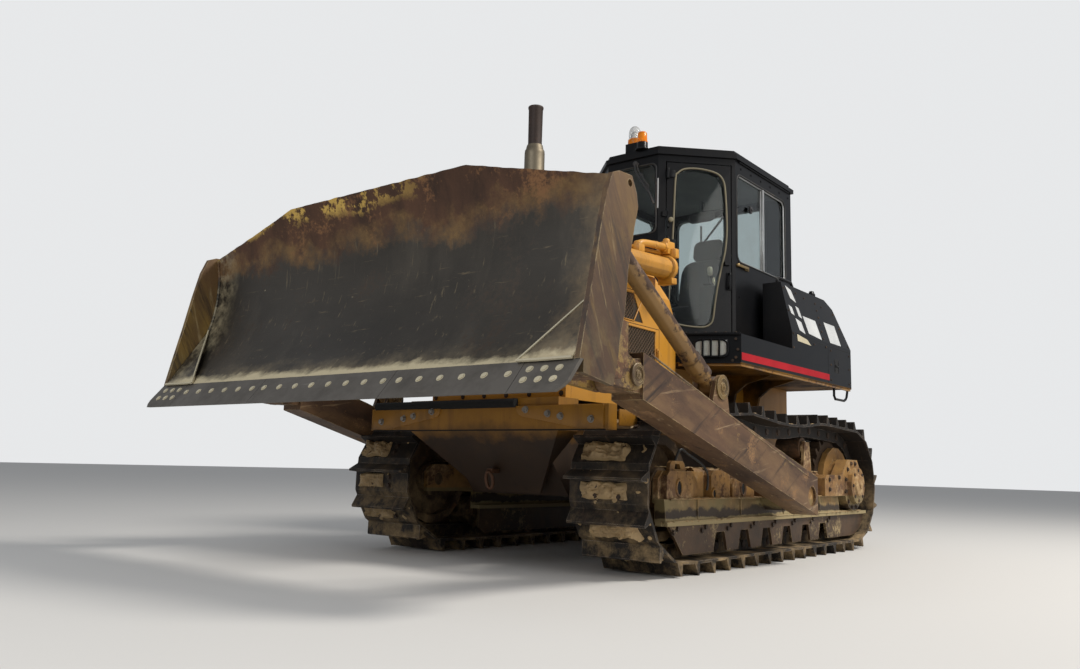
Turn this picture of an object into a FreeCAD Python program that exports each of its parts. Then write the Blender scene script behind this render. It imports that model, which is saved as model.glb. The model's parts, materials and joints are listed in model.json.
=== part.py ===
# Crawler bulldozer: a straight blade with end plates on two outside push arms, tracks with one-bar shoes,
# a six-sided cab and a low hood. Millimetres; X forward, Y left, Z up; origin on the ground, mid length.
import FreeCAD, Part
import math
import os
import Sketcher
from FreeCAD import Placement, Rotation, Vector

doc = FreeCAD.newDocument("Bulldozer")
sheet = doc.addObject("Spreadsheet::Sheet", "Sizes")

# Driving sizes: name, value, what it is
SIZES = [
    ("track_gauge", 2000, "middle of one track to middle of the other"),
    ("shoe_width", 560, "width of a shoe"),
    ("shoe_count", 41, "shoes on a track"),
    ("tooth_count", 25, "sprocket teeth, every second one carries a pin"),
    ("sprocket_x", -2060, "sprocket axle"),
    ("track_base", 3050, "sprocket axle to idler axle"),
    ("idler_pin_radius", 400, "pin line round the idler"),
    ("grouser_height", 72, "bar on a shoe"),
    ("grouser_root", 26, "thickness of the bar at the shoe"),
    ("grouser_tip", 15, "thickness of the bar at its tip"),
    ("shoe_top", 60, "pin line to the outer face of a shoe"),
    ("shoe_plate", 18, "thickness of a shoe"),
    ("shoe_lip", 8, "step where one shoe overlaps the next"),
    ("rail_depth", 50, "pin line to the running face of a link"),
    ("rail_gap", 100, "between the two rows of links"),
    ("rail_thickness", 45, "one row of links"),
    ("bushing_radius", 34, "bushing on a pin"),
    ("sprocket_thickness", 80, "toothed ring"),
    ("tooth_clearance", 3, "bushing to a tooth gap"),
    ("carrier_rear_x", -1290, "rear carrier roller"),
    ("carrier_front_x", -20, "front carrier roller"),
    ("carrier_pin_height", 1004, "pin line over the carrier rollers"),
    ("track_sag", 48, "dip of the upper run between the carrier rollers"),
    ("carrier_radius", 90, "tread of a carrier roller"),
    ("carrier_gap", 12, "upper run above a carrier roller"),
    ("carrier_shaft_end", 15, "end of a carrier roller's shaft"),
    ("roller_radius", 105, "tread of a track roller"),
    ("roller_flange", 20, "flange above the tread"),
    ("roller_count", 7, "track rollers on a side"),
    ("roller_first_x", -1500, "rearmost track roller"),
    ("roller_pitch", 335, "spacing of the track rollers"),
    ("roller_half_width", 100, "roller, middle to flange"),
    ("flange_width", 12, "roller flange"),
    ("roller_shaft", 34, "shafts of the rollers"),
    ("seat_gap", 0.3, "gap where round faces meet"),
    ("frame_rear_x", -1590, "rear end of the track frame's box"),
    ("frame_front_x", 590, "front end of the track frame's box"),
    ("frame_top", 660, "top of the track frame"),
    ("frame_roof", 430, "underside of the track frame's box"),
    ("frame_half_width", 140, "track frame, middle to side"),
    ("frame_wall", 20, "track frame's side plates"),
    ("skirt_bottom", 250, "lower edge of the side plates"),
    ("ledge_top", 330, "outer ledge of the track frame"),
    ("ledge_thickness", 26, "outer ledge"),
    ("band_top", 465, "side band of the track frame above its ledge"),
    ("band_rear_x", -1800, "rear end of the side band"),
    ("band_lip", 22, "lip of the ledge outside the roller guard"),
    ("recoil_block_width", 46, "cast blocks on the side band"),
    ("lifting_eye", 62, "lifting eye on the front block"),
    ("guard_half_width", 215, "track frame, middle to the roller guard's face"),
    ("guard_thickness", 20, "roller guard"),
    ("guard_bottom", 122, "lower edge of the roller guard"),
    ("guard_rear_x", -2400, "rear end of the ledge"),
    ("guard_front_x", 1140, "front end of the ledge"),
    ("guard_clearance", 30, "ledge to the shoes that come round the sprocket"),
    ("scallop_width", 200, "cut-outs along the roller guard"),
    ("scallop_depth", 125, "cut-outs along the roller guard"),
    ("scallop_count", 6, "cut-outs along the roller guard"),
    ("yoke_front_x", 1110, "front end of the idler's yoke"),
    ("yoke_bottom", 440, "idler's yoke"),
    ("yoke_height", 200, "idler's yoke"),
    ("idler_half_width", 100, "idler"),
    ("idler_clearance", 14, "idler to its yoke"),
    ("idler_axle_radius", 48, "idler axle"),
    ("idler_hub_radius", 130, "idler's hub"),
    ("idler_axle_reach", 30, "idler axle in its yoke"),
    ("drive_case_radius", 285, "final drive case beside the hull"),
    ("drive_hub_radius", 200, "hub that carries the sprocket"),
    ("drive_cover_radius", 222, "final drive's outer cover"),
    ("drive_dish_radius", 330, "dish outside the sprocket"),
    ("drive_bracket_front", 660, "outer bracket of the final drive, from its axle forward"),
    ("drive_bracket_rise", 175, "front end of the outer bracket"),
    ("drive_bracket_width", 95, "outer bracket of the final drive"),
    ("drive_cover_face", 288, "track middle to the cover's outer face"),
    ("pivot_x", -1300, "cross shaft of the track frames"),
    ("pivot_height", 545, "cross shaft of the track frames"),
    ("pivot_radius", 95, "cross shaft of the track frames"),
    ("equalizer_x", 330, "equalizer bar"),
    ("equalizer_depth", 130, "equalizer bar along the machine"),
    ("equalizer_bottom", 500, "equalizer bar"),
    ("equalizer_height", 130, "equalizer bar"),
    ("equalizer_clearance", 8, "equalizer bar to its slot in the hull"),
    ("hull_half_width", 430, "hull between the tracks"),
    ("hull_rear_x", -2560, "rear face of the hull"),
    ("hull_front_x", 1280, "front face of the hull"),
    ("hull_bottom", 450, "belly"),
    ("hull_top", 1080, "hull under the engine"),
    ("hull_step_x", -330, "front of the high rear part of the hull"),
    ("rear_bolt_width", 600, "rear mounting holes across the machine"),
    ("rear_bolt_rise", 420, "rear mounting holes up and down"),
    ("rear_bolt_height", 1080, "middle of the rear mounting holes"),
    ("rear_bolt_radius", 13.5, "rear mounting holes"),
    ("rear_bolt_depth", 60, "rear mounting holes"),
    ("deck_bottom", 1455, "underside of the platform"),
    ("deck_top", 1684, "top of the platform"),
    ("deck_half_width", 1050, "outer face of the fenders"),
    ("fender_front_x", -265, "front corner of a fender"),
    ("fender_nose", 200, "how far the fender's slanted front reaches forward"),
    ("fender_rear_x", -2640, "rear end of the fenders"),
    ("gusset_x", -1150, "front gusset under the platform"),
    ("gusset_spacing", 470, "gusset to gusset"),
    ("gusset_depth", 330, "height of a gusset"),
    ("gusset_thickness", 34, "gusset"),
    ("lamp_inset", 90, "fender lamp to the fender's corner"),
    ("lamp_width", 250, "fender lamp"),
    ("lamp_height", 124, "fender lamp"),
    ("lamp_depth", 32, "fender lamp"),
    ("lamp_corner", 40, "cut corners of a fender lamp"),
    ("hood_half_width", 600, "hood"),
    ("hood_shoulder", 1930, "where the hood's side turns in"),
    ("hood_top", 2200, "top of the hood"),
    ("hood_top_half_width", 480, "flat top of the hood"),
    ("hood_rear_x", -60, "lower rear edge of the hood"),
    ("hood_slant_bottom", 1750, "start of the slanted rear edge"),
    ("hood_slant_x", 240, "how far the rear edge slants forward"),
    ("mesh_rear_x", 244, "rear end of the lower mesh in a hood side"),
    ("mesh_bottom", 1400, "lower mesh in a hood side"),
    ("mesh_split", 1681, "bar between the two meshes"),
    ("cowl_top", 2170, "housing between the hood and the cab"),
    ("cowl_half_width", 240, "housing between the hood and the cab"),
    ("sheet_wall", 12, "hood panels"),
    ("engine_half_width", 300, "engine"),
    ("engine_length", 1150, "engine"),
    ("engine_height", 820, "engine"),
    ("exhaust_x", 988, "exhaust stack"),
    ("exhaust_top", 3304, "top of the exhaust pipe"),
    ("exhaust_sleeve_top", 2992, "top of the wide sleeve"),
    ("exhaust_sleeve_radius", 72, "wide sleeve"),
    ("exhaust_radius", 52, "upper pipe"),
    ("exhaust_wall", 5, "upper pipe's wall"),
    ("beam_half_width", 1050, "front cross beam"),
    ("beam_front_x", 1510, "front cross beam"),
    ("beam_depth", 90, "front cross beam"),
    ("beam_bottom", 872, "front cross beam"),
    ("beam_height", 155, "front cross beam"),
    ("prow_half_width", 660, "lower guard at its top"),
    ("prow_keel_half_width", 250, "lower guard at its keel"),
    ("cab_front_x", -360, "cab's front wall"),
    ("cab_front_half_width", 255, "cab's front wall"),
    ("door_wall", 670, "length of the slanted wall that holds a door"),
    ("cab_rear_x", -2010, "cab's rear wall"),
    ("cab_wall", 50, "cab walls"),
    ("roof_bottom", 3292, "underside of the roof"),
    ("roof_thickness", 78, "roof"),
    ("roof_overhang", 22, "roof beyond the walls"),
    ("beacon_side", 78, "beacons beside the middle"),
    ("beacon_foot", 60, "lower beacon above the roof"),
    ("beacon_radius", 60, "beacons"),
    ("beacon_low", 76, "dome of the lower beacon"),
    ("beacon_tall", 152, "dome of the taller beacon"),
    ("glass", 6, "window panes"),
    ("window_corner", 70, "corners of the cab's windows"),
    ("front_window_half", 222, "front window, middle to side"),
    ("front_window_bottom", 2620, "front window"),
    ("front_window_top", 3215, "front window"),
    ("side_window_front", -880, "side window's front edge"),
    ("side_window_rear", -1865, "side window's rear edge"),
    ("side_window_bottom", 2410, "side window"),
    ("side_window_top", 3170, "side window"),
    ("rear_window_half", 480, "rear window, middle to side"),
    ("rear_window_bottom", 2330, "rear window"),
    ("door_front_margin", 66, "door opening to the wall's front end"),
    ("door_rear_margin", 30, "door opening to the wall's rear end"),
    ("door_gap", 9, "gap round a door"),
    ("door_bottom", 1715, "lower edge of a door"),
    ("door_top", 3235, "upper edge of a door"),
    ("door_thickness", 50, "door"),
    ("seat_x", -1480, "middle of the seat's base"),
    ("seat_width", 520, "seat"),
    ("seat_rise", 300, "seat's base"),
    ("seat_cushion", 130, "seat's cushion"),
    ("seat_back", 550, "seat's back"),
    ("seat_head", 190, "seat's head rest"),
    ("stand_height", 560, "consoles beside the seat"),
    ("hinge_radius", 12, "door hinge"),
    ("hinge_inset", 6, "hinge axis behind the door's front edge"),
    ("hinge_clearance", 3, "hinge knuckle to the door's face"),
    ("hinge_length", 90, "door hinge's knuckle"),
    ("box_front_x", -1230, "side box's front face"),
    ("box_inner", 790, "side box beside the cab"),
    ("box_outer", 1050, "side box's foot"),
    ("box_lean", 95, "how far the side box leans in"),
    ("box_top", 2270, "top of a side box"),
    ("rail_front_x", -1290, "hand rail on a side box"),
    ("rail_length", 330, "hand rail on a side box"),
    ("rail_height", 60, "hand rail on a side box"),
    ("step_drop", 110, "rod step below the platform"),
    ("tank_front_x", -2085, "fuel tank's front face"),
    ("tank_top", 2240, "top of the fuel tank"),
    ("tank_half_width", 780, "fuel tank"),
    ("drawbar_rear_x", -2897, "rear end of the drawbar"),
    ("drawbar_height", 560, "middle of the drawbar"),
    ("drawbar_width", 220, "drawbar"),
    ("drawbar_pin_radius", 29, "drawbar pin hole"),
    ("trunnion_x", -350, "axis the blade lifts about"),
    ("trunnion_height", 485, "axis the blade lifts about"),
    ("trunnion_radius", 70, "trunnion"),
    ("arm_gap", 70, "shoes to a push arm"),
    ("arm_width", 200, "push arm"),
    ("arm_rear_x", -455, "rear end of a push arm"),
    ("arm_rear_bottom", 349, "push arm's rear end"),
    ("arm_rear_top", 621, "push arm's rear end"),
    ("arm_front_x", 1930, "push arm's front end"),
    ("arm_front_bottom", 1004, "push arm's front end"),
    ("arm_front_top", 1253, "push arm's front end"),
    ("arm_pin_x", 2041, "pin that holds the blade"),
    ("arm_pin_height", 1124, "pin that holds the blade"),
    ("arm_pin_radius", 45, "pin that holds the blade"),
    ("arm_eye_radius", 92, "push arm's eye"),
    ("arm_neck_inset", 20, "push arm's side to its neck"),
    ("lug_thickness", 40, "lugs on the blade's back"),
    ("lug_radius", 84, "lugs on the blade's back"),
    ("brace_foot_x", 1000, "brace's pin on the arm"),
    ("brace_foot_height", 1152, "brace's pin on the arm"),
    ("brace_head_x", 2200, "brace's pin on the blade"),
    ("brace_head_height", 1900, "brace's pin on the blade"),
    ("brace_radius", 55, "brace tube"),
    ("tilt_barrel_radius", 80, "tilt cylinder"),
    ("brace_pin_radius", 32, "brace pins"),
    ("brace_eye_radius", 66, "brace eyes"),
    ("brace_eye_width", 90, "brace eyes"),
    ("lug_clearance", 2, "brace eye to the lugs beside it"),
    ("brace_lug_thickness", 30, "lugs of the braces"),
    ("rib_thickness", 40, "ribs behind the blade"),
    ("blade_overhang", 162, "blade beyond the push arms"),
    ("end_plate", 30, "end plates"),
    ("end_plate_hole", 20, "hole in an end plate"),
    ("blade_foot_x", 2763, "lower end of the curved plate"),
    ("blade_foot_height", 1120, "lower end of the curved plate"),
    ("blade_head_x", 2532, "upper end of the curved plate"),
    ("blade_head_height", 2259, "upper end of the curved plate"),
    ("blade_bow", 200.05, "depth of the plate's curve"),
    ("blade_plate", 30, "curved plate"),
    ("blade_flat_share", 0.454, "level middle of the top edge, of the blade's half width"),
    ("blade_corner_height", 2052, "top edge at the end plates"),
    ("edge_reach", 134, "cutting edge ahead of the curved plate"),
    ("edge_drop", 157, "cutting edge below the curved plate"),
    ("edge_thickness", 26, "cutting edge plates, along the ground"),
    ("edge_joint_share", 0.333, "seam of the middle plate, of the blade's half width"),
    ("bit_joint_share", 0.835, "seam of the end bits, of the blade's half width"),
    ("edge_gap", 3, "seam between the plates"),
    ("back_x", 2330, "rear face of the blade's box beams"),
    ("lift_y", 730, "middle of a lift cylinder"),
    ("lift_pivot_x", 1040, "lift cylinder's pivot"),
    ("lift_pivot_height", 2070, "lift cylinder's pivot"),
    ("lift_eye_x", 2190, "rod's eye on the blade"),
    ("lift_eye_height", 2000, "rod's eye on the blade"),
    ("lift_barrel_radius", 78, "lift cylinder"),
    ("lift_barrel_wall", 12, "lift cylinder"),
    ("lift_rear", 760, "lift cylinder behind its pivot"),
    ("lift_front", 560, "lift cylinder before its pivot"),
    ("lift_rod_radius", 36, "lift rod"),
    ("lift_rod_clearance", 0.4, "lift rod in its gland"),
    ("lift_eye_radius", 58, "eye of the lift rod"),
    ("lift_eye_width", 70, "eye of the lift rod"),
    ("lift_clevis_gap", 12, "eye to the lugs beside it"),
    ("lift_lug_thickness", 34, "lugs of the lift rods"),
    ("lift_pin_radius", 30, "pins of the lift cylinders"),
    ("piston_start", 190, "piston before the cylinder's rear end"),
    ("piston_length", 70, "piston of a lift cylinder"),
    ("collar", 10, "collars round a lift cylinder"),
]


class Size:
    """A length that knows its number and the sheet's words for it."""

    def __init__(self, value, text):
        self.value = float(value)
        self.text = text

    def join(self, other, sign, value):
        return Size(value, "(%s %s %s)" % (self.text, sign, as_size(other).text))

    def __add__(self, other):
        return self.join(other, "+", self.value + as_size(other).value)

    def __sub__(self, other):
        return self.join(other, "-", self.value - as_size(other).value)

    def __mul__(self, other):
        return self.join(other, "*", self.value * as_size(other).value)

    def __truediv__(self, other):
        return self.join(other, "/", self.value / as_size(other).value)

    def __radd__(self, other):
        return as_size(other) + self

    def __rsub__(self, other):
        return as_size(other) - self

    def __rmul__(self, other):
        return as_size(other) * self

    def __neg__(self):
        return Size(-self.value, "(-1 * %s)" % self.text)


def as_size(number):
    if isinstance(number, Size):
        return number
    return Size(number, "(%.9g)" % number)


class Names:
    """Every driving size by its name."""


def write_sizes(sizes):
    names = Names()
    for row, (alias, value, note) in enumerate(sizes, start=1):
        sheet.set("A%d" % row, alias)
        sheet.set("B%d" % row, str(value))
        sheet.set("C%d" % row, note)
        sheet.setAlias("B%d" % row, alias)
        setattr(names, alias, Size(value, "Sizes." + alias))
    doc.recompute()
    return names


def add_size(names, alias, value, note):
    """A size that follows from the others, kept in the sheet beside them."""
    row = len(SIZES) + 2 + len(derived)
    derived.append(alias)
    sheet.set("A%d" % row, alias)
    sheet.set("B%d" % row, "%.6f" % value)
    sheet.set("C%d" % row, note)
    sheet.setAlias("B%d" % row, alias)
    doc.recompute()
    setattr(names, alias, Size(value, "Sizes." + alias))


derived = []
s = write_sizes(SIZES)
pieces = {}


def bind(item, path, size):
    """Set a property from a size, as an expression where the sheet drives it."""
    item.setExpression(path, as_size(size).text)


def hold(sketch, kind, points, size):
    """A driving constraint on a sketch, bound to the sheet."""
    size = as_size(size)
    number = sketch.addConstraint(Sketcher.Constraint(kind, *points, size.value))
    if "Sizes." in size.text:
        sketch.setExpression("Constraints[%d]" % number, size.text)


def arc_between(start, end, radius):
    """An arc from start to end; a positive radius bulges to the right of the way it runs."""
    middle = (start + end) * 0.5
    chord = end - start
    side = Vector(-chord.y, chord.x, 0)
    side.normalize()
    rise = math.sqrt(radius * radius - (chord.Length / 2) ** 2)
    turn = 1 if radius > 0 else -1
    centre = middle + side * rise * turn
    circle = Part.Circle(centre, Vector(0, 0, 1), abs(radius))
    first = math.atan2(start.y - centre.y, start.x - centre.x)
    last = math.atan2(end.y - centre.y, end.x - centre.x)
    if turn < 0:
        first, last = last, first
    return Part.ArcOfCircle(circle, first, last)


def draw_outline(sketch, corners):
    """Closed outline. A corner is (u, v), or (u, v, radius) where an arc runs on to the next corner."""
    first = sketch.GeometryCount
    spots = [Vector(as_size(c[0]).value, as_size(c[1]).value, 0) for c in corners]
    ends = []
    for i, corner in enumerate(corners):
        start = spots[i]
        end = spots[(i + 1) % len(corners)]
        if len(corner) == 3:
            radius = as_size(corner[2])
            sketch.addGeometry(arc_between(start, end, radius.value))
            ends.append((1, 2) if radius.value > 0 else (2, 1))
        else:
            sketch.addGeometry(Part.LineSegment(start, end))
            ends.append((1, 2))
    count = len(corners)
    for i in range(count):
        after = (i + 1) % count
        joint = Sketcher.Constraint("Coincident", first + i, ends[i][1], first + after, ends[after][0])
        sketch.addConstraint(joint)
    for i, corner in enumerate(corners):
        hold(sketch, "DistanceX", (-1, 1, first + i, ends[i][0]), corner[0])
        hold(sketch, "DistanceY", (-1, 1, first + i, ends[i][0]), corner[1])
        if len(corner) == 3:
            radius = as_size(corner[2])
            hold(sketch, "Radius", (first + i,), radius if radius.value > 0 else -radius)


def draw_circle(sketch, u, v, radius):
    number = sketch.GeometryCount
    centre = Vector(as_size(u).value, as_size(v).value, 0)
    sketch.addGeometry(Part.Circle(centre, Vector(0, 0, 1), as_size(radius).value))
    hold(sketch, "DistanceX", (-1, 1, number, 3), u)
    hold(sketch, "DistanceY", (-1, 1, number, 3), v)
    hold(sketch, "Radius", (number,), radius)


PLANES = {
    "XY": (Rotation(), "z", Vector(0, 0, 1)),
    "XZ": (Rotation(Vector(1, 0, 0), 90), "y", Vector(0, 1, 0)),
    "YZ": (Rotation(Vector(0, 1, 0), Vector(0, 0, 1), Vector(1, 0, 0), "XYZ"), "x", Vector(1, 0, 0)),
}


def facet(radius, sides):
    """Reach of a polygon's corners where its flats lie at the radius."""
    return radius * (1 / math.cos(math.pi / sides))


def first_corner(sides):
    """Turn of a polygon's first corner that gives it a level flat."""
    return math.pi / sides if sides % 4 == 0 else 0.0


def polygon(u, v, reach, sides):
    """Corners of a regular polygon with a level flat."""
    start = first_corner(sides)
    turns = [start + 2 * math.pi * k / sides for k in range(sides)]
    return [(u + reach * math.cos(a), v + reach * math.sin(a)) for a in turns]


def loose_sketch(name, plane, outlines, start=0, circles=()):
    """A sketch on a plane square to an axis, at a distance along that axis."""
    sketch = doc.addObject("Sketcher::SketchObject", name)
    turn, letter, way = PLANES[plane]
    sketch.Placement = Placement(way * as_size(start).value, turn)
    bind(sketch, "Placement.Base." + letter, start)
    for corners in outlines:
        draw_outline(sketch, corners)
    for circle in circles:
        draw_circle(sketch, *circle)
    return sketch


def slab(name, plane, outline, start, end, holes=(), circles=()):
    """An outline on a plane, extruded from start to end along the plane's own axis."""
    sketch = loose_sketch(name + "_outline", plane, [outline] + list(holes), start, circles)
    block = doc.addObject("Part::Extrusion", name)
    block.Base = sketch
    block.DirMode = "Custom"
    block.Dir = PLANES[plane][2]
    block.Solid = True
    bind(block, "LengthFwd", as_size(end) - start)
    return block


def disc(name, x, y, z, radius, length, way="y"):
    """A round bar from a point along an axis."""
    bar = doc.addObject("Part::Cylinder", name)
    turns = {"x": Rotation(Vector(0, 1, 0), 90), "y": Rotation(Vector(1, 0, 0), -90), "z": Rotation()}
    bar.Placement = Placement(Vector(0, 0, 0), turns[way])
    bind(bar, "Radius", radius)
    bind(bar, "Height", length)
    for letter, size in zip("xyz", (x, y, z)):
        bind(bar, "Placement.Base." + letter, size)
    return bar


def block(name, x, y, z, length, width, height):
    """A rectangular block from its low corner."""
    solid = doc.addObject("Part::Box", name)
    bind(solid, "Length", length)
    bind(solid, "Width", width)
    bind(solid, "Height", height)
    for letter, size in zip("xyz", (x, y, z)):
        bind(solid, "Placement.Base." + letter, size)
    return solid


def bar(name, x, y, z, radius, length, sides=12, way="y"):
    """A bar of many flats from a point along an axis; its corners lie at the radius."""
    solid = doc.addObject("Part::Prism", name)
    turns = {"x": Rotation(Vector(0, 1, 0), 90), "y": Rotation(Vector(1, 0, 0), -90), "z": Rotation()}
    level = Rotation(Vector(0, 0, 1), math.degrees(first_corner(sides)))
    solid.Placement = Placement(Vector(0, 0, 0), turns[way] * level)
    solid.Polygon = sides
    bind(solid, "Circumradius", radius)
    bind(solid, "Height", length)
    for letter, size in zip("xyz", (x, y, z)):
        bind(solid, "Placement.Base." + letter, size)
    return solid


def turned(name, x, z, sections, sides=12):
    """Bars of many flats end to end along Y: (start, end, radius) each, with its corners at the radius."""
    bars = [bar("%s_%d" % (name, number), x, start, z, radius, as_size(end) - start, sides)
            for number, (start, end, radius) in enumerate(sections)]
    return fuse(name, bars)


def tidy(shape_object, name):
    """The same solid with its coplanar faces joined."""
    refined = doc.addObject("Part::Refine", name)
    refined.Source = shape_object
    return refined


def fuse(name, parts):
    joined = doc.addObject("Part::MultiFuse", name + "_union")
    joined.Shapes = parts
    return tidy(joined, name)


def group(name, parts):
    """Like solids on one body that don't touch, kept in one piece."""
    together = doc.addObject("Part::Compound", name)
    together.Links = parts
    return together


def cut(name, base, tools):
    if len(tools) > 1:
        tool = doc.addObject("Part::MultiFuse", name + "_tools")
        tool.Shapes = tools
    else:
        tool = tools[0]
    rest = doc.addObject("Part::Cut", name)
    rest.Base = base
    rest.Tool = tool
    return rest


def mirrored(source, name):
    """The same piece on the other side of the machine."""
    twin = doc.addObject("Part::Mirroring", name)
    twin.Source = source
    twin.Normal = Vector(0, 1, 0)
    return twin


def row_of(name, source, count, step):
    """Copies of a solid in a straight row along X."""
    row = doc.addObject("Part::Compound", name)
    copies = [source]
    for number in range(1, int(count.value)):
        copy = doc.addObject("Part::Compound", "%s_%d" % (name, number))
        copy.Links = [source]
        bind(copy, "Placement.Base.x", step * number)
        copies.append(copy)
    row.Links = copies
    return row


def keep(name, item):
    item.Label = name
    pieces[name] = item


def keep_pair(name, left):
    keep(name + "_left", left)
    keep(name + "_right", mirrored(left, name + "_right_side"))


def keep_both(name, left):
    """A left piece and its twin in one node, where both stay on one body."""
    keep(name, group(name + "_both", [left, mirrored(left, name + "_right_side")]))


# Track chain: pin places along the closed loop

def pin_places(pitch_radius):
    """Pins at even spacing along the loop, first one at the sprocket's rear, with the spacing."""
    rear = s.sprocket_x.value
    front = rear + s.track_base.value
    ground = s.grouser_height.value + s.shoe_top.value
    low_rear = Vector(rear, 0, ground + pitch_radius)
    low_front = Vector(front, 0, ground + s.idler_pin_radius.value)
    path = []
    steps = 90
    for i in range(steps + 1):
        turn = math.pi + math.pi / 2 * i / steps
        path.append(low_rear + Vector(math.cos(turn), 0, math.sin(turn)) * pitch_radius)
    for i in range(2 * steps + 1):
        turn = -math.pi / 2 + math.pi * i / (2 * steps)
        path.append(low_front + Vector(math.cos(turn), 0, math.sin(turn)) * s.idler_pin_radius.value)
    height = s.carrier_pin_height.value
    span = s.carrier_front_x.value - s.carrier_rear_x.value
    for i in range(steps + 1):
        share = i / steps
        dip = 4 * s.track_sag.value * share * (1 - share)
        path.append(Vector(s.carrier_front_x.value - span * share, 0, height - dip))
    for i in range(steps + 1):
        turn = math.pi / 2 + math.pi / 2 * i / steps
        path.append(low_rear + Vector(math.cos(turn), 0, math.sin(turn)) * pitch_radius)
    total = sum((b - a).Length for a, b in zip(path, path[1:]))
    spacing = total / s.shoe_count.value
    pins = []
    walked = 0.0
    target = 0.0
    for a, b in zip(path, path[1:]):
        length = (b - a).Length
        while target <= walked + length and len(pins) < int(s.shoe_count.value):
            share = (target - walked) / length if length else 0
            pins.append(a + (b - a) * share)
            target += spacing
        walked += length
    return pins, spacing


def find_pitch_radius():
    """The pin radius at which one pitch of chain is two tooth spaces of the sprocket."""
    radius = s.idler_pin_radius.value
    for _ in range(25):
        spacing = pin_places(radius)[1]
        radius = spacing / (4 * math.pi / s.tooth_count.value)
    return radius


add_size(s, "sprocket_pin_radius", find_pitch_radius(), "pin line round the sprocket, from the pitch")
pins, pitch = pin_places(s.sprocket_pin_radius.value)
add_size(s, "shoe_pitch", pitch, "pin to pin, from the length of the loop")
half_turn = math.asin(pitch / 2 / s.idler_pin_radius.value)
add_size(s, "idler_flat", s.idler_pin_radius.value * math.cos(half_turn), "idler axle to a link's middle")

ground_pins = s.grouser_height + s.shoe_top
sprocket_z = ground_pins + s.sprocket_pin_radius
idler_x = s.sprocket_x + s.track_base
idler_z = ground_pins + s.idler_pin_radius
side_y = s.track_gauge / 2
arm_inner = side_y + s.shoe_width / 2 + s.arm_gap
arm_outer = arm_inner + s.arm_width
arm_middle = arm_inner + s.arm_width / 2
blade_half = arm_outer + s.blade_overhang
tip_x = s.blade_foot_x + s.edge_reach
tip_height = s.blade_foot_height - s.edge_drop
blade_run = s.blade_foot_x - s.blade_head_x
blade_rise = s.blade_head_height - s.blade_foot_height
half_chord_squared = (blade_run * blade_run + blade_rise * blade_rise) / 4
blade_curve = (half_chord_squared + s.blade_bow * s.blade_bow) / (s.blade_bow * 2)


def chain_outline(offset):
    """Closed outline beside the pin line, mitred at each pin; a positive offset lies outside."""
    corners = []
    count = len(pins)
    for i in range(count):
        before = (pins[i] - pins[i - 1]).normalize()
        after = (pins[(i + 1) % count] - pins[i]).normalize()
        out = (Vector(before.z, 0, -before.x) + Vector(after.z, 0, -after.x)).normalize()
        bend = out.dot(Vector(before.z, 0, -before.x))
        corners.append(pins[i] + out * (offset / bend))
    return corners


def shoe_outline():
    """Outer outline of the whole track: each shoe with its one upright bar."""
    top = s.shoe_top.value
    tip = top + s.grouser_height.value
    root = s.grouser_root.value / 2
    edge = s.grouser_tip.value / 2
    half = s.shoe_pitch.value / 2
    bar_place = half * 0.44
    lip = s.shoe_lip.value
    profile = [(-half + lip, top), (bar_place - root, top), (bar_place - edge, tip),
               (bar_place + edge, tip), (half - lip, top - lip)]
    corners = []
    count = len(pins)
    for i in range(count):
        ahead = (pins[(i + 1) % count] - pins[i]).normalize()
        out = Vector(ahead.z, 0, -ahead.x)
        middle = (pins[i] + pins[(i + 1) % count]) * 0.5
        corners += [middle + ahead * along + out * away for along, away in profile]
    return corners


def ring(outer, inner, start, width):
    """The band between two closed outlines, as wide as stated along Y."""
    wires = []
    for corners in (outer, inner):
        spots = [Vector(c.x, start, c.z) for c in corners]
        wires.append(Part.makePolygon(spots + spots[:1]))
    face = Part.makeFace(wires, "Part::FaceMakerBullseye")
    return face.extrude(Vector(0, width, 0))


def make_track():
    middle = side_y.value
    shoes = ring(shoe_outline(), chain_outline(s.shoe_top.value - s.shoe_plate.value),
                 middle - s.shoe_width.value / 2, s.shoe_width.value)
    bands = []
    for side in (-1, 1):
        start = middle + side * (s.rail_gap.value + s.rail_thickness.value) / 2 - s.rail_thickness.value / 2
        bands.append(ring(chain_outline(s.shoe_top.value - s.shoe_plate.value),
                          chain_outline(-s.rail_depth.value), start, s.rail_thickness.value))
    radius = s.bushing_radius.value
    count = len(pins)
    for i, pin in enumerate(pins):
        ahead = (pins[(i + 1) % count] - pins[i - 1]).normalize()
        out = Vector(ahead.z, 0, -ahead.x)
        corners = [pin + ahead * radius, pin - out * radius, pin - ahead * radius, pin + out * radius]
        spots = [Vector(c.x, middle - s.rail_gap.value / 2, c.z) for c in corners]
        bushing = Part.Face(Part.makePolygon(spots + spots[:1]))
        bands.append(bushing.extrude(Vector(0, s.rail_gap.value, 0)))
    track = doc.addObject("Part::Feature", "track")
    track.Shape = shoes.multiFuse(bands).removeSplitter()
    keep_pair("track", track)


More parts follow.
